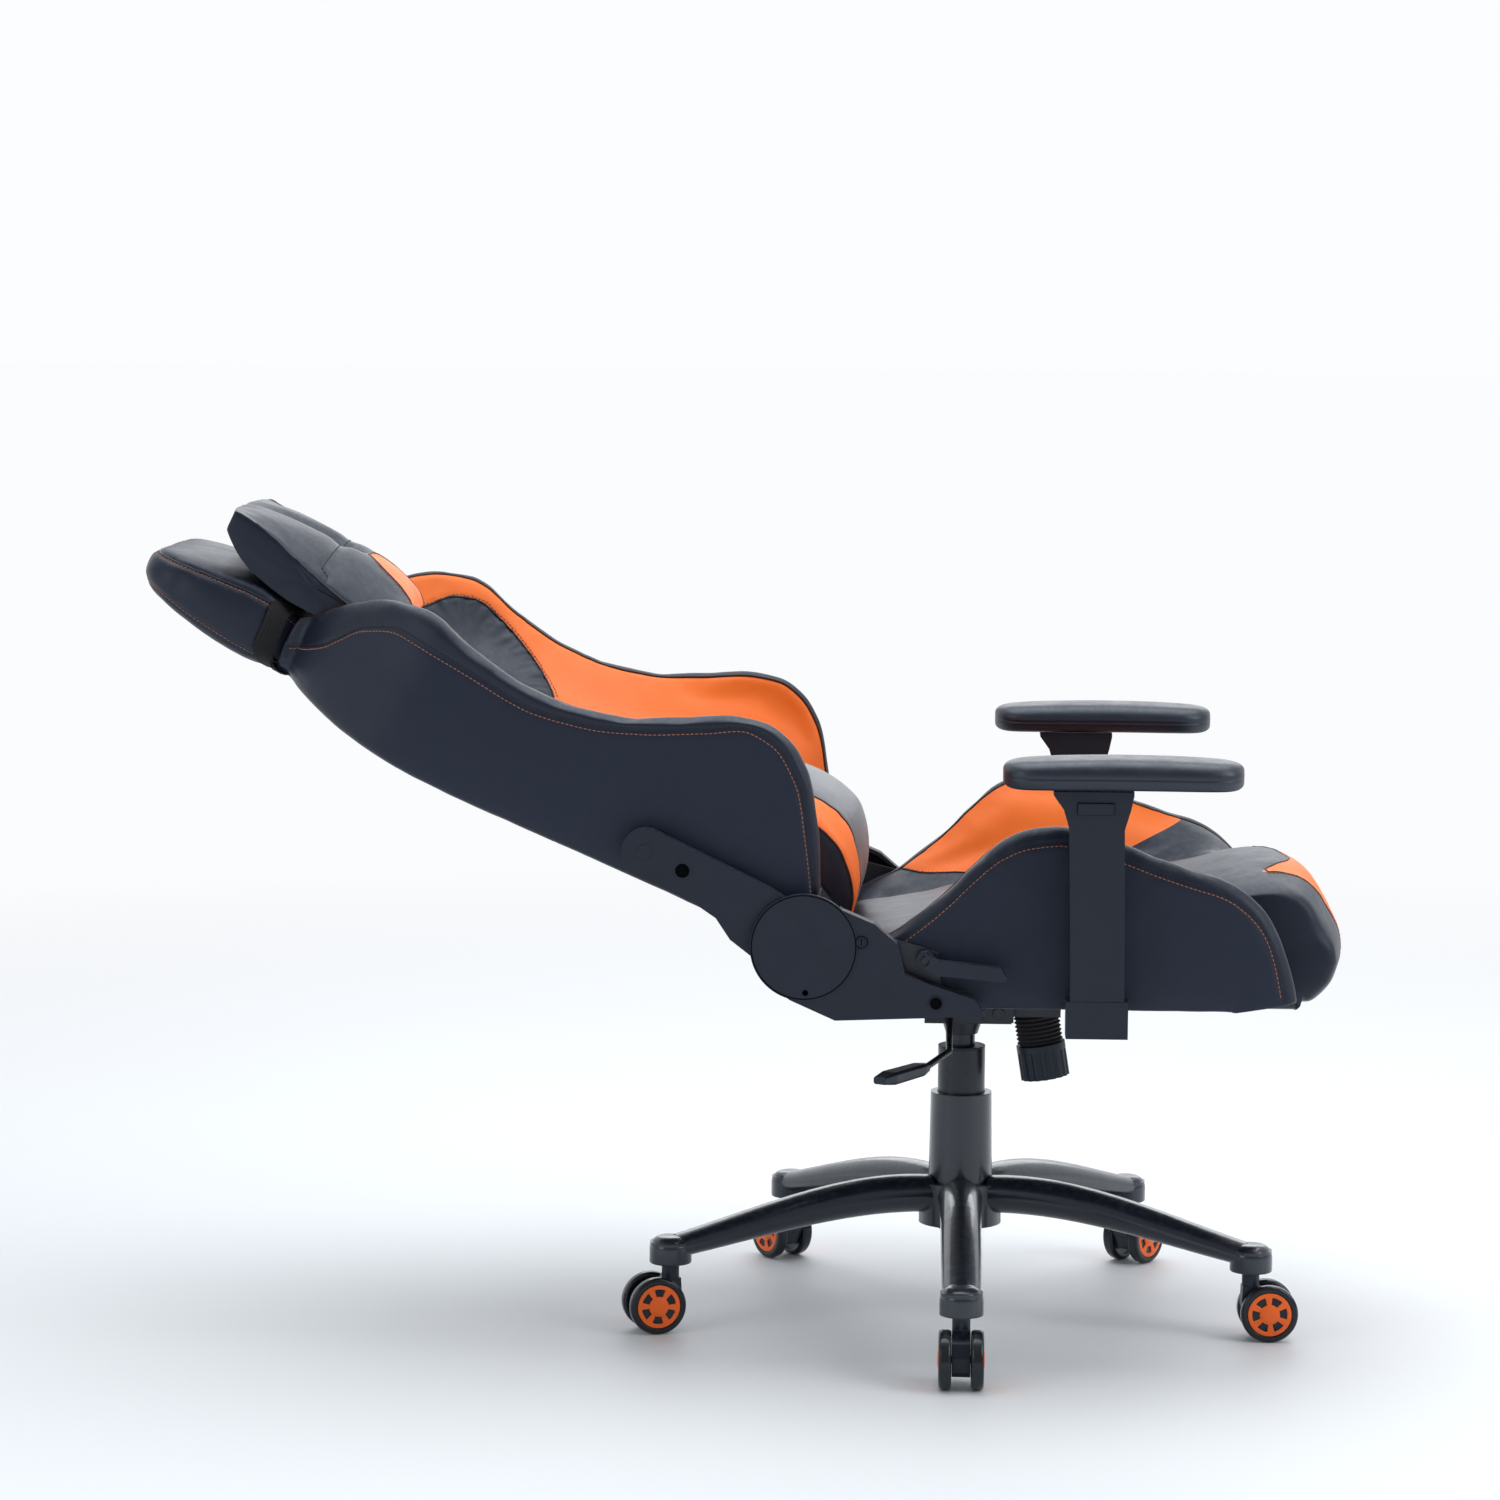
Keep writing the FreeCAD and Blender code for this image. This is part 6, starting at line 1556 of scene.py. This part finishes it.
class CHAIR_OT_lumbar_pillow(bpy.types.Operator):
    """Makes the lumbar pillow, with its coloured stripes"""

    bl_idname = "chair.lumbar_pillow"
    bl_label = "Lumbar pillow"

    def execute(self, context):
        shares = np.linspace(0, 1, 42)
        places = np.concatenate(
            (np.linspace(-LUMBAR_HALF, LUMBAR_HALF, 47), [-STRIPE_HALF, STRIPE_HALF])
        )
        places = np.unique(np.round(places, 3))
        rings, orange, grey = [], [], []
        for y in places:
            blend = (abs(y) / LUMBAR_HALF) ** 2
            ring = []
            for share in shares:
                ahead = (1 - blend) * LUMBAR_FRONT(share) + blend * LUMBAR_SIDE(share)
                up = (1 - blend) * LUMBAR_LEVEL(share) + blend * LUMBAR_SIDE_LEVEL(share)
                least = LUMBAR_BACK if up > 2 else 28
                ring.append(back_point(float(max(ahead, least)), y, float(up)))
            low = (1 - blend) * -38 + blend * -34
            high = (1 - blend) * 152 + blend * 140
            for up in np.linspace(high, low, 18):
                tuck = 22 * np.clip((4 - up) / 26, 0, 1)
                ring.append(back_point(LUMBAR_BACK - tuck, y, up))
            on_front = np.arange(len(ring)) < len(shares)
            inside = min(abs(y) - STRIPE_HALF, LUMBAR_HALF - 1.2 - abs(y))
            rings.append(ring)
            grey.append(np.full(len(ring), STRIPE_HALF - abs(y)))
            orange.append(np.where(on_front, inside, OUTSIDE))
        top = len(shares) - 1
        pillow = upholstered(
            "lumbar_pillow_skin", rings, [(0, top, 0.0035)], 4, 0.02, crown=0.006,
            cap_reach=0.003, zones={"orange_zone": orange, "grey_zone": grey},
        )
        seams = [int(np.argmin(np.abs(places - at))) for at in (-STRIPE_HALF, STRIPE_HALF)]
        cords = {
            "band_right": rings[seams[0]][2 : top - 1],
            "band_left": rings[seams[1]][2 : top - 1],
            "edge_right": rings[0][: top + 1],
            "edge_left": rings[-1][: top + 1],
        }
        creased(pillow, 0.0007, 0.07, 71.0)
        for line in cords.values():
            gathered(pillow, line, 0.0010, 0.011, 0.013, 72.0)
            pressed_in(pillow, line, 0.0015, 0.0035)
        skin = skin_of(pillow)
        trims = [
            (corded("lumbar_pillow_" + label, skin, line, 0.0013, 0.0002), "piping")
            for label, line in cords.items()
        ]
        dress(pillow, trims, "lumbar_pillow", ["lumbar_pillow"], 0.7)
        return {"FINISHED"}


# ---------------------------------------------------------------- arm pads

PAD_MIDDLE = (155.5, -284, 613)
PAD_HALF_LENGTH, PAD_HALF_WIDTH = 120.0, 40.5


class CHAIR_OT_arm_pads(bpy.types.Operator):
    """Makes the two arm pads"""

    bl_idname = "chair.arm_pads"
    bl_label = "Arm pads"

    def execute(self, context):
        rings = []
        for turn in np.linspace(-math.pi / 2, math.pi / 2, 46):
            along = math.sin(turn)
            wide = max(1.5, PAD_HALF_WIDTH * (1 - abs(along) ** 7) ** (1 / 2.4))
            half, marks = self.half_section(along, wide)
            x = PAD_MIDDLE[0] + PAD_HALF_LENGTH * along
            rings.append(
                [chair_point(x, PAD_MIDDLE[1] + a, b) for b, a in both_halves(half[:, ::-1])]
            )
        groove = marks[2]
        covers = [(groove, len(rings[0]) - groove, 0.0012)]
        pad = upholstered("arm_pad_right_skin", rings, covers, 2, 0.0)
        bodies = ("arm_right", "arm_left")
        dress_both_sides(pad, [], bodies, "arm_pad", 1.0, slot="pad_foam", finish="pad_skin")
        return {"FINISHED"}

    def half_section(self, along, wide):
        """Half of a pad's section: a shallow tray, a groove and a cushioned top."""
        bow = 2.5 * (1 - along**2)
        mid = PAD_MIDDLE[2] + bow * 0.4
        thick = 0.4 + 0.6 * (1 - abs(along) ** 18) ** 0.5
        low, high = mid - 13.5 * thick, mid + (16 + bow) * thick
        rim = wide - min(7, wide * 0.4)
        groove = (wide - 0.4, mid - 2.2 * thick)
        lid = (wide, mid - 0.2 * thick)
        cushion = [
            lid,
            (wide, mid + 4 * thick),
            (wide - min(6, wide * 0.3), high - 4.5 * thick),
            (wide - min(16, wide * 0.6), high - 1.2 * thick),
            (0, high),
        ]
        return section_through(
            ([(0, low), (rim * 0.6, low), (rim, low + 0.6)], 6),
            ([(rim, low + 0.6), (wide - 1.6, mid - 5 * thick), groove], 5),
            ([groove, (wide - 1.6, mid - 1.2 * thick), lid], 4),
            (cushion, 16),
            closed=False,
        )


# ---------------------------------------------------------------- moulded and metal pieces


FACING_SIDE = (math.radians(90), 0, 0)


def new_round(name, radius, depth, centre, sides=72, turn=(0.0, 0.0, 0.0)):
    """Starts a piece from a cylinder."""
    leave_edit_mode()
    bpy.ops.object.select_all(action="DESELECT")
    bpy.ops.mesh.primitive_cylinder_add(
        vertices=sides, radius=radius, depth=depth, location=centre, rotation=turn
    )
    return settled(name)


def new_block(name, size, centre):
    """Starts a piece from a block."""
    leave_edit_mode()
    bpy.ops.object.select_all(action="DESELECT")
    bpy.ops.mesh.primitive_cube_add(size=1.0, location=centre)
    bpy.context.object.scale = size
    return settled(name)


def settled(name):
    piece = bpy.context.object
    piece.name = piece.data.name = name
    bpy.ops.object.transform_apply(location=True, rotation=True, scale=True)
    return piece


def pick(piece, kind, test):
    """Selects the faces or the edges that pass a test, and stays in edit mode."""
    select_only(piece)
    bpy.ops.object.mode_set(mode="EDIT")
    bpy.ops.mesh.select_mode(type=kind)
    bpy.ops.mesh.select_all(action="DESELECT")
    form = bmesh.from_edit_mesh(piece.data)
    found = [item for item in (form.faces if kind == "FACE" else form.edges) if test(item)]
    if not found:
        raise RuntimeError("nothing on %s passes the test" % piece.name)
    for item in found:
        item.select_set(True)
    bmesh.update_edit_mesh(piece.data)


def pick_faces(piece, test):
    """Selects the faces whose centre and normal pass a test."""
    pick(piece, "FACE", lambda face: test(face.calc_center_median(), face.normal))


def pick_edges(piece, test):
    """Selects the edges whose two ends pass a test."""
    pick(piece, "EDGE", lambda edge: test(edge.verts[0].co, edge.verts[1].co))


def inset(thickness, depth=0.0):
    bpy.ops.mesh.inset(thickness=thickness, depth=depth, use_even_offset=True)


def open_middle(thickness):
    """Insets both selected faces and joins the two holes, which leaves a frame."""
    bpy.ops.mesh.inset(thickness=thickness, use_even_offset=True, use_individual=True)
    bpy.ops.mesh.bridge_edge_loops()


def push(y=0.0, z=0.0):
    """Extrudes what is selected."""
    bpy.ops.mesh.extrude_region_move(TRANSFORM_OT_translate={"value": (0.0, y, z)})


def round_edges(width, segments):
    bpy.ops.mesh.bevel(offset=width, segments=segments, affect="EDGES")


def eased_edges(piece, width, segments=2):
    """Rounds every sharp edge of a finished piece a little."""
    leave_edit_mode()
    bevel = piece.modifiers.new("Eased edges", "BEVEL")
    bevel.width = width
    bevel.segments = segments
    bevel.limit_method = "ANGLE"
    bevel.angle_limit = math.radians(32)
    bevel.harden_normals = False
    select_only(piece)
    bpy.ops.object.modifier_apply(modifier=bevel.name)


def radius_of(point):
    return math.hypot(point.x, point.y)


def inner_radius(*points):
    return min(radius_of(point) for point in points)


class CHAIR_OT_caster_wheels(bpy.types.Operator):
    """Models a caster wheel and sets one on each end of the five axles"""

    bl_idname = "chair.caster_wheels"
    bl_label = "Caster wheels"

    def execute(self, context):
        tyre, hub = self.tyre(), self.hub()
        for number in range(1, 6):
            for side, sign in (("a", -1), ("b", 1)):
                joint = JOINTS["caster_%d_roll_%s" % (number, side)]
                outward = Vector(joint["axis"]).normalized() * sign
                ahead = Vector((0, 0, 1))
                across = ahead.cross(outward).normalized()
                turn = Matrix((across, ahead, outward)).transposed().to_4x4()
                spin = Matrix.Rotation(math.radians(17 * number + (31 if sign > 0 else 0)), 4, "Z")
                place = Matrix.Translation(joint["pos_m"]) @ turn @ spin
                body = joint["child"]
                rim = copy_at(tyre, "%s_tyre" % body, place)
                disc = copy_at(hub, "%s_hub" % body, place)
                smooth_piece(rim, "tyre", body, "caster_tyre", body, angle=40)
                smooth_piece(disc, "wheel_hub", body, "caster_plastic", angle=35)
        for pattern in (tyre, hub):
            bpy.data.objects.remove(pattern)
        return {"FINISHED"}

    def tyre(self):
        """The black tread and side wall, dished on both sides."""
        tyre = new_round("tyre_pattern", 0.030, 0.0130, (0, 0, 0.0163))
        pick_faces(tyre, lambda centre, normal: normal.z > 0.9)
        inset(0.0066)
        push(z=-0.0016)
        pick_faces(tyre, lambda centre, normal: normal.z < -0.9)
        inset(0.0060)
        push(z=0.0030)
        inset(0.0150)
        push(z=-0.0030)
        pick_edges(tyre, lambda a, b: inner_radius(a, b) > 0.0299 and abs(a.z - b.z) < 1e-5)
        round_edges(0.0036, 6)
        eased_edges(tyre, 0.0005)
        return tyre

    def hub(self):
        """The coloured disc with six windows and a domed middle."""
        hub = new_round("hub_pattern", 0.0228, 0.0030, (0, 0, 0.0212))
        hub.data.materials.append(library("wheel_hub"))
        hub.data.materials.append(library("tyre"))
        pick_faces(hub, lambda centre, normal: normal.z > 0.9)
        inset(0.0040)
        inset(0.0086)

        def in_window(centre, normal):
            angle = math.degrees(math.atan2(centre.y, centre.x)) % 60
            return normal.z > 0.9 and 0.010 < radius_of(centre) < 0.0185 and 10 < angle < 50

        pick_faces(hub, in_window)
        inset(0.0004)
        push(z=-0.0026)
        bpy.context.object.active_material_index = 1
        bpy.ops.object.material_slot_assign()
        pick_faces(hub, lambda centre, normal: normal.z > 0.9 and radius_of(centre) < 0.004)
        inset(0.0012, 0.0006)
        inset(0.0030, 0.0005)
        inset(0.0030, 0.0001)
        eased_edges(hub, 0.00045, 3)
        return hub


class CHAIR_OT_leg_ends(bpy.types.Operator):
    """Models the rounded elbow over a caster socket and its stem, and sets them on each leg"""

    bl_idname = "chair.leg_ends"
    bl_label = "Leg ends"

    def execute(self, context):
        stem = new_round("stem_pattern", 0.0055, 0.040, (0, 0, 0.070), 32)
        pick_faces(stem, lambda centre, normal: normal.z < -0.9)
        inset(0.0012)
        push(z=-0.0006)
        eased_edges(stem, 0.0003)
        elbow = new_round("leg_end_pattern", 0.0222, 0.0287, (0, 0, 0.08635), 72)
        pick_edges(elbow, lambda a, b: min(a.z, b.z) > 0.1000)
        round_edges(0.0130, 9)
        pick_faces(elbow, lambda centre, normal: normal.z < -0.9)
        inset(0.0016)
        push(z=0.0008)
        pick_edges(elbow, lambda a, b: max(a.z, b.z) < 0.0722 and inner_radius(a, b) > 0.0215)
        round_edges(0.0016, 3)
        for number in range(1, 6):
            spot = JOINTS["caster_%d_swivel" % number]["pos_m"]
            place = Matrix.Translation((spot[0], spot[1], 0))
            cap = copy_at(elbow, "leg_end_%d" % number, place)
            smooth_piece(cap, "base_finish", "base", "base_nylon", angle=40)
            pin = copy_at(stem, "caster_stem_%d" % number, place)
            smooth_piece(pin, "zinc", "base", "zinc_steel", "caster_stems", angle=40)
        for pattern in (elbow, stem):
            bpy.data.objects.remove(pattern)
        return {"FINISHED"}


def raised_ring(name, radius, width, height, place, finish, segments=64):
    """A low ring on a cover's outer face; its middle stays open."""
    ring = new_round(name, radius, height, place, segments, FACING_SIDE)
    pick_faces(ring, lambda centre, normal: abs(normal.y) > 0.9)
    open_middle(width)
    eased_edges(ring, min(width, height) * 0.25)
    face_outwards(ring)
    ring.data.materials.append(library(finish))
    return ring


def sunk_disc(name, radius, place, finish):
    """A flat dark disc with a shallow cup, for the shadow of a hole."""
    disc = new_round(name, radius, 0.0006, place, 40, FACING_SIDE)
    pick_faces(disc, lambda centre, normal: normal.y < -0.9)
    inset(radius * 0.16)
    push(y=0.0003)
    leave_edit_mode()
    disc.data.materials.append(library(finish))
    return disc


class CHAIR_OT_recliner_fittings(bpy.types.Operator):
    """Adds the screws and rims of the recliner covers and back brackets, and near-black pieces of
    painted shade for their holes, groove and bolt recess
    """

    bl_idname = "chair.recliner_fittings"
    bl_label = "Recliner fittings"

    def execute(self, context):
        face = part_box("recliner_cover_right")[0].y
        screw_at, disc_at = (-0.104, face, 0.443), (-0.162, face, 0.437)
        hole_at, low_at = (-0.029, face, 0.382), (-0.160, face, 0.391)
        rim, hollow, cover = raised_ring, "hollow", "cover_plastic"
        # The near-black rings and discs here are painted shade: a ring round the screw's recess, a
        # ring for the disc's groove, and discs for the two holes.
        on_seat = [
            *self.screw(screw_at),
            rim("cover_screw_rim_right", 0.0064, 0.0006, 0.0007, screw_at, hollow),
            rim("recliner_disc_groove_right", 0.0530, 0.0012, 0.0006, disc_at, hollow, 128),
            sunk_disc("cover_hole_right", 0.0062, hole_at, hollow),
            rim("cover_hole_rim_right", 0.0070, 0.0008, 0.0009, hole_at, cover),
            sunk_disc("cover_low_screw_right", 0.0030, low_at, hollow),
            rim("cover_low_screw_rim_right", 0.0042, 0.0011, 0.0012, low_at, cover),
        ]
        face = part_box("back_bracket_right")[0].y
        (low_x, _, low_z), (high_x, _, high_z) = back_point(14, 0, 143), back_point(14, 0, 185)
        rim_at, plug_at = (low_x, face, low_z), (high_x, face + 0.0001, high_z)
        # A near-black disc of painted shade sunk in the bracket's bolt recess.
        bolt = sunk_disc("bracket_bolt_right", 0.0079, (low_x, face + 0.0014, low_z), hollow)
        on_back = [
            bolt,
            rim("bracket_bolt_rim_right", 0.0088, 0.0016, 0.0008, rim_at, cover),
            sunk_disc("bracket_plug_right", 0.0084, plug_at, cover),
        ]
        fittings = [(piece, "seat") for piece in on_seat] + [(piece, "back") for piece in on_back]
        for piece, body in fittings:
            twin = mirrored_copy(piece, piece.name.replace("right", "left"))
            for made in (piece, twin):
                smooth_piece(made, "cover_plastic", body, "black_plastic", angle=35)
        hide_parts("bracket_bolts")
        return {"FINISHED"}

    def screw(self, place):
        """A domed screw head, and a near-black block of painted shade in the slot across it."""
        x, face, z = place
        middle = (x, face - 0.0002, z)
        screw = new_round("cover_screw_right", 0.0050, 0.0012, middle, 40, FACING_SIDE)
        pick_faces(screw, lambda centre, normal: normal.y < -0.9)
        inset(0.0011)
        push(y=0.0009)
        inset(0.0004)
        push(y=-0.0007)
        eased_edges(screw, 0.00018)
        screw.data.materials.append(library("cover_plastic"))
        # The slot's darkness is painted shade: a near-black block sunk in the slot.
        sunk = (x, face - 0.00068, z)
        slot = new_block("cover_screw_slot_right", (0.0011, 0.0006, 0.0058), sunk)
        pick_edges(slot, lambda a, b: abs(a.y - b.y) > 0.0003)
        round_edges(0.0003, 2)
        leave_edit_mode()
        slot.data.materials.append(library("hollow"))
        return screw, slot


class CHAIR_OT_pillow_strap(bpy.types.Operator):
    """Makes the elastic strap that holds the head pillow, and its slider"""

    bl_idname = "chair.pillow_strap"
    bl_label = "Pillow strap"

    def execute(self, context):
        steps, rows = 120, 9
        points = []
        for layer in (1.0, 2.5):
            for share in np.arange(rows) / (rows - 1) - 0.5:
                turns = (2 * math.pi * k / steps for k in range(steps))
                points += [self.band_point(layer, share, turn) for turn in turns]
        outer = rows * steps
        faces = quad_bands(rows, steps) + quad_bands(rows, steps, outer)
        for edge in (0, (rows - 1) * steps):
            for k in range(edge, edge + steps):
                n = edge + (k + 1 - edge) % steps
                faces.append((k, n, outer + n, outer + k))
        strap = mesh_piece("pillow_strap_band", points, faces)
        face_outwards(strap)
        smooth_piece(strap, "webbing", "back", "strap_web", "pillow_strap", angle=50)
        skin = skin_of(strap)
        lines = [points[outer + row * steps : outer + (row + 1) * steps] for row in (1, 7)]
        stitches = stitched("pillow_strap_stitches", skin, lines, radius=0.0004)
        smooth_piece(stitches, "black_thread", "back", "strap_web")
        self.slider()
        return {"FINISHED"}

    def band_point(self, layer, share, turn):
        """A point of the band by its layer, its share of the width and its turn."""
        c, s = math.cos(turn), math.sin(turn)
        up = 633 + 21 * share + 7 * c - 15 * c * c
        wide, rear, front = float(HEAD_WIDTH(up)), float(HEAD_REAR(up)), float(HEAD_FRONT(up))
        if up < 616:
            wide = max(wide, min(float(wing_width(up)) + 1.4, 138))
        rear, front = min(rear, -13.5), max(front, 53)
        across = (wide + layer + 0.8) * math.copysign(abs(s) ** 0.32, s)
        bulge = (front - rear) / 2 + layer
        ahead = (front + rear) / 2 + bulge * math.copysign(abs(c) ** 0.42, c)
        ripple = 0.35 * math.sin(turn * 23) * (1 - 4 * share**2)
        return back_point(ahead + ripple * c, across, up + 0.7 * math.sin(turn * 5))

    def slider(self):
        """The moulded slider that sets the strap's length, beside the pillow."""
        place = Vector(back_point(59, -92, 621))
        ahead = (Vector(back_point(1, 0, 0)) - Vector(back_point(0, 0, 0))).normalized()
        up = (Vector(back_point(0, 0, 1)) - Vector(back_point(0, 0, 0))).normalized()
        turn = Matrix((ahead, Vector((0, 1, 0)), up)).transposed().to_4x4()
        frame_block = new_block("strap_slider", (0.0030, 0.0300, 0.0370), (0, 0, 0))
        pick_faces(frame_block, lambda centre, normal: abs(normal.x) > 0.9)
        open_middle(0.0042)
        eased_edges(frame_block, 0.0006, 3)
        face_outwards(frame_block)
        bar = new_block("strap_slider_bar", (0.0034, 0.0040, 0.0300), (0.0012, 0, 0))
        eased_edges(bar, 0.0007, 3)
        for piece in (frame_block, bar):
            piece.data.transform(Matrix.Translation(place) @ turn)
            smooth_piece(piece, "moulded_plastic", "back", "black_plastic", angle=35)


# ---------------------------------------------------------------- operators


class CHAIR_OT_finish_frame(bpy.types.Operator):
    """Gives every part of the frame its own finish"""

    bl_idname = "chair.finish_frame"
    bl_label = "Finish the frame"

    def execute(self, context):
        for node, part in frame["nodes"].items():
            for slot in part.material_slots:
                name = slot.material.name.split(".")[0]
                slot.link = "OBJECT"
                finish = SLOT_FINISHES.get(name, "moulded_plastic")
                slot.material = library(NODE_FINISHES.get(node, finish))
        return {"FINISHED"}


class CHAIR_OT_stage(bpy.types.Operator):
    """Lays a pale floor and sets the lamps and the camera"""

    bl_idname = "chair.stage"
    bl_label = "Stage"

    def execute(self, context):
        scene = context.scene
        scene.view_settings.view_transform = "Standard"
        bpy.ops.object.select_all(action="DESELECT")
        bpy.ops.mesh.primitive_plane_add(size=60, location=(0, 10, 0))
        floor = context.object
        floor.name = "studio_floor"
        floor.data.transform(floor.matrix_world)
        floor.matrix_world = Matrix.Identity(4)
        floor.data.materials.append(floor_material("studio_floor"))
        for name, place, aim, size, power, tint in LAMPS:
            data = bpy.data.lights.new(name, "AREA")
            data.shape = "RECTANGLE"
            data.size, data.size_y = size
            data.energy = power
            data.color = tint
            lamp = bpy.data.objects.new(name, data)
            scene.collection.objects.link(lamp)
            lamp.location = place
            lamp.rotation_euler = (Vector(aim) - Vector(place)).to_track_quat("-Z", "Y").to_euler()
        scene.world = studio_world("studio")
        scene.camera = studio_camera(scene)
        return {"FINISHED"}


LAMPS = (  # name, place, aim, size, power and tint
    ("overhead", (0.0, 0.4, 3.2), (0, 0, 0.3), (3.4, 2.6), 76, (0.97, 0.985, 1)),
    ("key", (3.0, -1.6, 2.3), (0.1, 0, 0.4), (1.8, 2.2), 50, (1, 0.99, 0.98)),
    ("fill", (-3.1, -2.4, 1.7), (-0.2, 0, 0.5), (1.8, 2.2), 24, (0.96, 0.98, 1)),
    ("back", (0.2, 3.6, 1.9), (0, 0, 0.6), (3.0, 1.6), 22, (0.97, 0.98, 1)),
)


def floor_material(name):
    """Pale floor that keeps the shadows and melts into the backdrop."""
    material, tree, shader = new_material(name)
    place = object_place(tree)
    marks = noise_value(tree, place, 2.3, 5.0)
    tree.links.new(toned(tree, marks, colours().floor, 0.985, 1.01), shader.inputs["Base Color"])
    shader.inputs["Roughness"].default_value = 0.55
    shader.inputs["Specular IOR Level"].default_value = 0.25
    glow = add(tree, "Emission", {"Color": (0.965, 0.972, 0.985, 1), "Strength": 1.0})
    length = add(tree, "VectorMath", {0: place}, operation="LENGTH").outputs["Value"]
    far = ramp(tree, length, 1.1, 3.6)
    path = add(tree, "LightPath")
    rays = (path.outputs["Is Camera Ray"], path.outputs["Is Glossy Ray"])
    seen = math_node(tree, "ADD", *rays, clamp=True)
    amount = math_node(tree, "MULTIPLY", far, seen)
    mixed = add(tree, "MixShader", {0: amount, 1: shader.outputs[0], 2: glow.outputs[0]})
    tree.links.new(mixed.outputs[0], tree.nodes["Material Output"].inputs["Surface"])
    return material


def studio_world(name):
    """A pale room, brighter behind the chair and above it than on the camera's side."""
    world = bpy.data.worlds.new(name)
    world.use_nodes = True
    tree = world.node_tree
    light = tree.nodes["Background"]
    way = add(tree, "SeparateXYZ", {0: add(tree, "TexCoord").outputs["Generated"]}).outputs
    behind = ramp(tree, way[1], -0.5, 0.75, 0.32, 1.0)
    light.inputs["Color"].default_value = (0.94, 0.97, 1.0, 1)
    tree.links.new(behind, light.inputs["Strength"])
    white = add(tree, "Background", {"Color": (0.975, 0.98, 0.99, 1), "Strength": 1.0})
    path = add(tree, "LightPath")
    rays = (path.outputs["Is Camera Ray"], path.outputs["Is Transmission Ray"])
    seen = math_node(tree, "ADD", *rays, clamp=True)
    mixed = add(tree, "MixShader", {0: seen, 1: light.outputs[0], 2: white.outputs[0]})
    tree.links.new(mixed.outputs[0], tree.nodes["World Output"].inputs["Surface"])
    return world


def studio_camera(scene):
    """A long lens, a little above the arm pads, square to the chair's right side."""
    heading, dip, roll = math.radians(-2.15), math.radians(6.12), math.radians(0.39)
    level = math.cos(dip)
    forward = Vector((math.sin(heading) * level, math.cos(heading) * level, -math.sin(dip)))
    right = Vector((math.cos(heading), -math.sin(heading), 0))
    up = right.cross(forward)
    across = right * math.cos(roll) + up * math.sin(roll)
    above = up * math.cos(roll) - right * math.sin(roll)
    data = bpy.data.cameras.new("camera")
    data.lens = 111.6
    data.sensor_width = 36
    data.clip_end = 100
    camera = bpy.data.objects.new("camera", data)
    scene.collection.objects.link(camera)
    turn = Matrix((across, above, -forward)).transposed().to_4x4()
    camera.matrix_world = Matrix.Translation((-0.044, -4.90, 1.13)) @ turn
    return camera


class CHAIR_PT_panel(bpy.types.Panel):
    """Lists the chair's pieces"""

    bl_label = "Gaming chair"
    bl_idname = "CHAIR_PT_panel"
    bl_space_type = "VIEW_3D"
    bl_region_type = "UI"
    bl_category = "Chair"

    def draw(self, context):
        for operator in STEPS:
            self.layout.operator(operator.bl_idname)
        for group in (context.scene.chair_colours, context.scene.chair_sizes):
            for key in group.bl_rna.properties.keys():
                if key not in ("rna_type", "name"):
                    self.layout.prop(group, key)


STEPS = (
    CHAIR_OT_finish_frame,
    CHAIR_OT_back_wings,
    CHAIR_OT_back_panel,
    CHAIR_OT_headrest,
    CHAIR_OT_head_pillow,
    CHAIR_OT_lumbar_pillow,
    CHAIR_OT_seat_bolsters,
    CHAIR_OT_seat_cushion,
    CHAIR_OT_arm_pads,
    CHAIR_OT_pillow_strap,
    CHAIR_OT_caster_wheels,
    CHAIR_OT_leg_ends,
    CHAIR_OT_recliner_fittings,
    CHAIR_OT_stage,
)
CLASSES = (ChairColours, ChairSizes, *STEPS, CHAIR_PT_panel)


def register():
    for cls in CLASSES:
        bpy.utils.register_class(cls)
    bpy.types.Scene.chair_colours = bpy.props.PointerProperty(type=ChairColours)
    bpy.types.Scene.chair_sizes = bpy.props.PointerProperty(type=ChairSizes)


def unregister():
    del bpy.types.Scene.chair_colours
    del bpy.types.Scene.chair_sizes
    for cls in reversed(CLASSES):
        bpy.utils.unregister_class(cls)


def main():
    register()
    for operator in STEPS:
        group, name = operator.bl_idname.split(".")
        getattr(getattr(bpy.ops, group), name)()


if __name__ == "__main__":
    main()
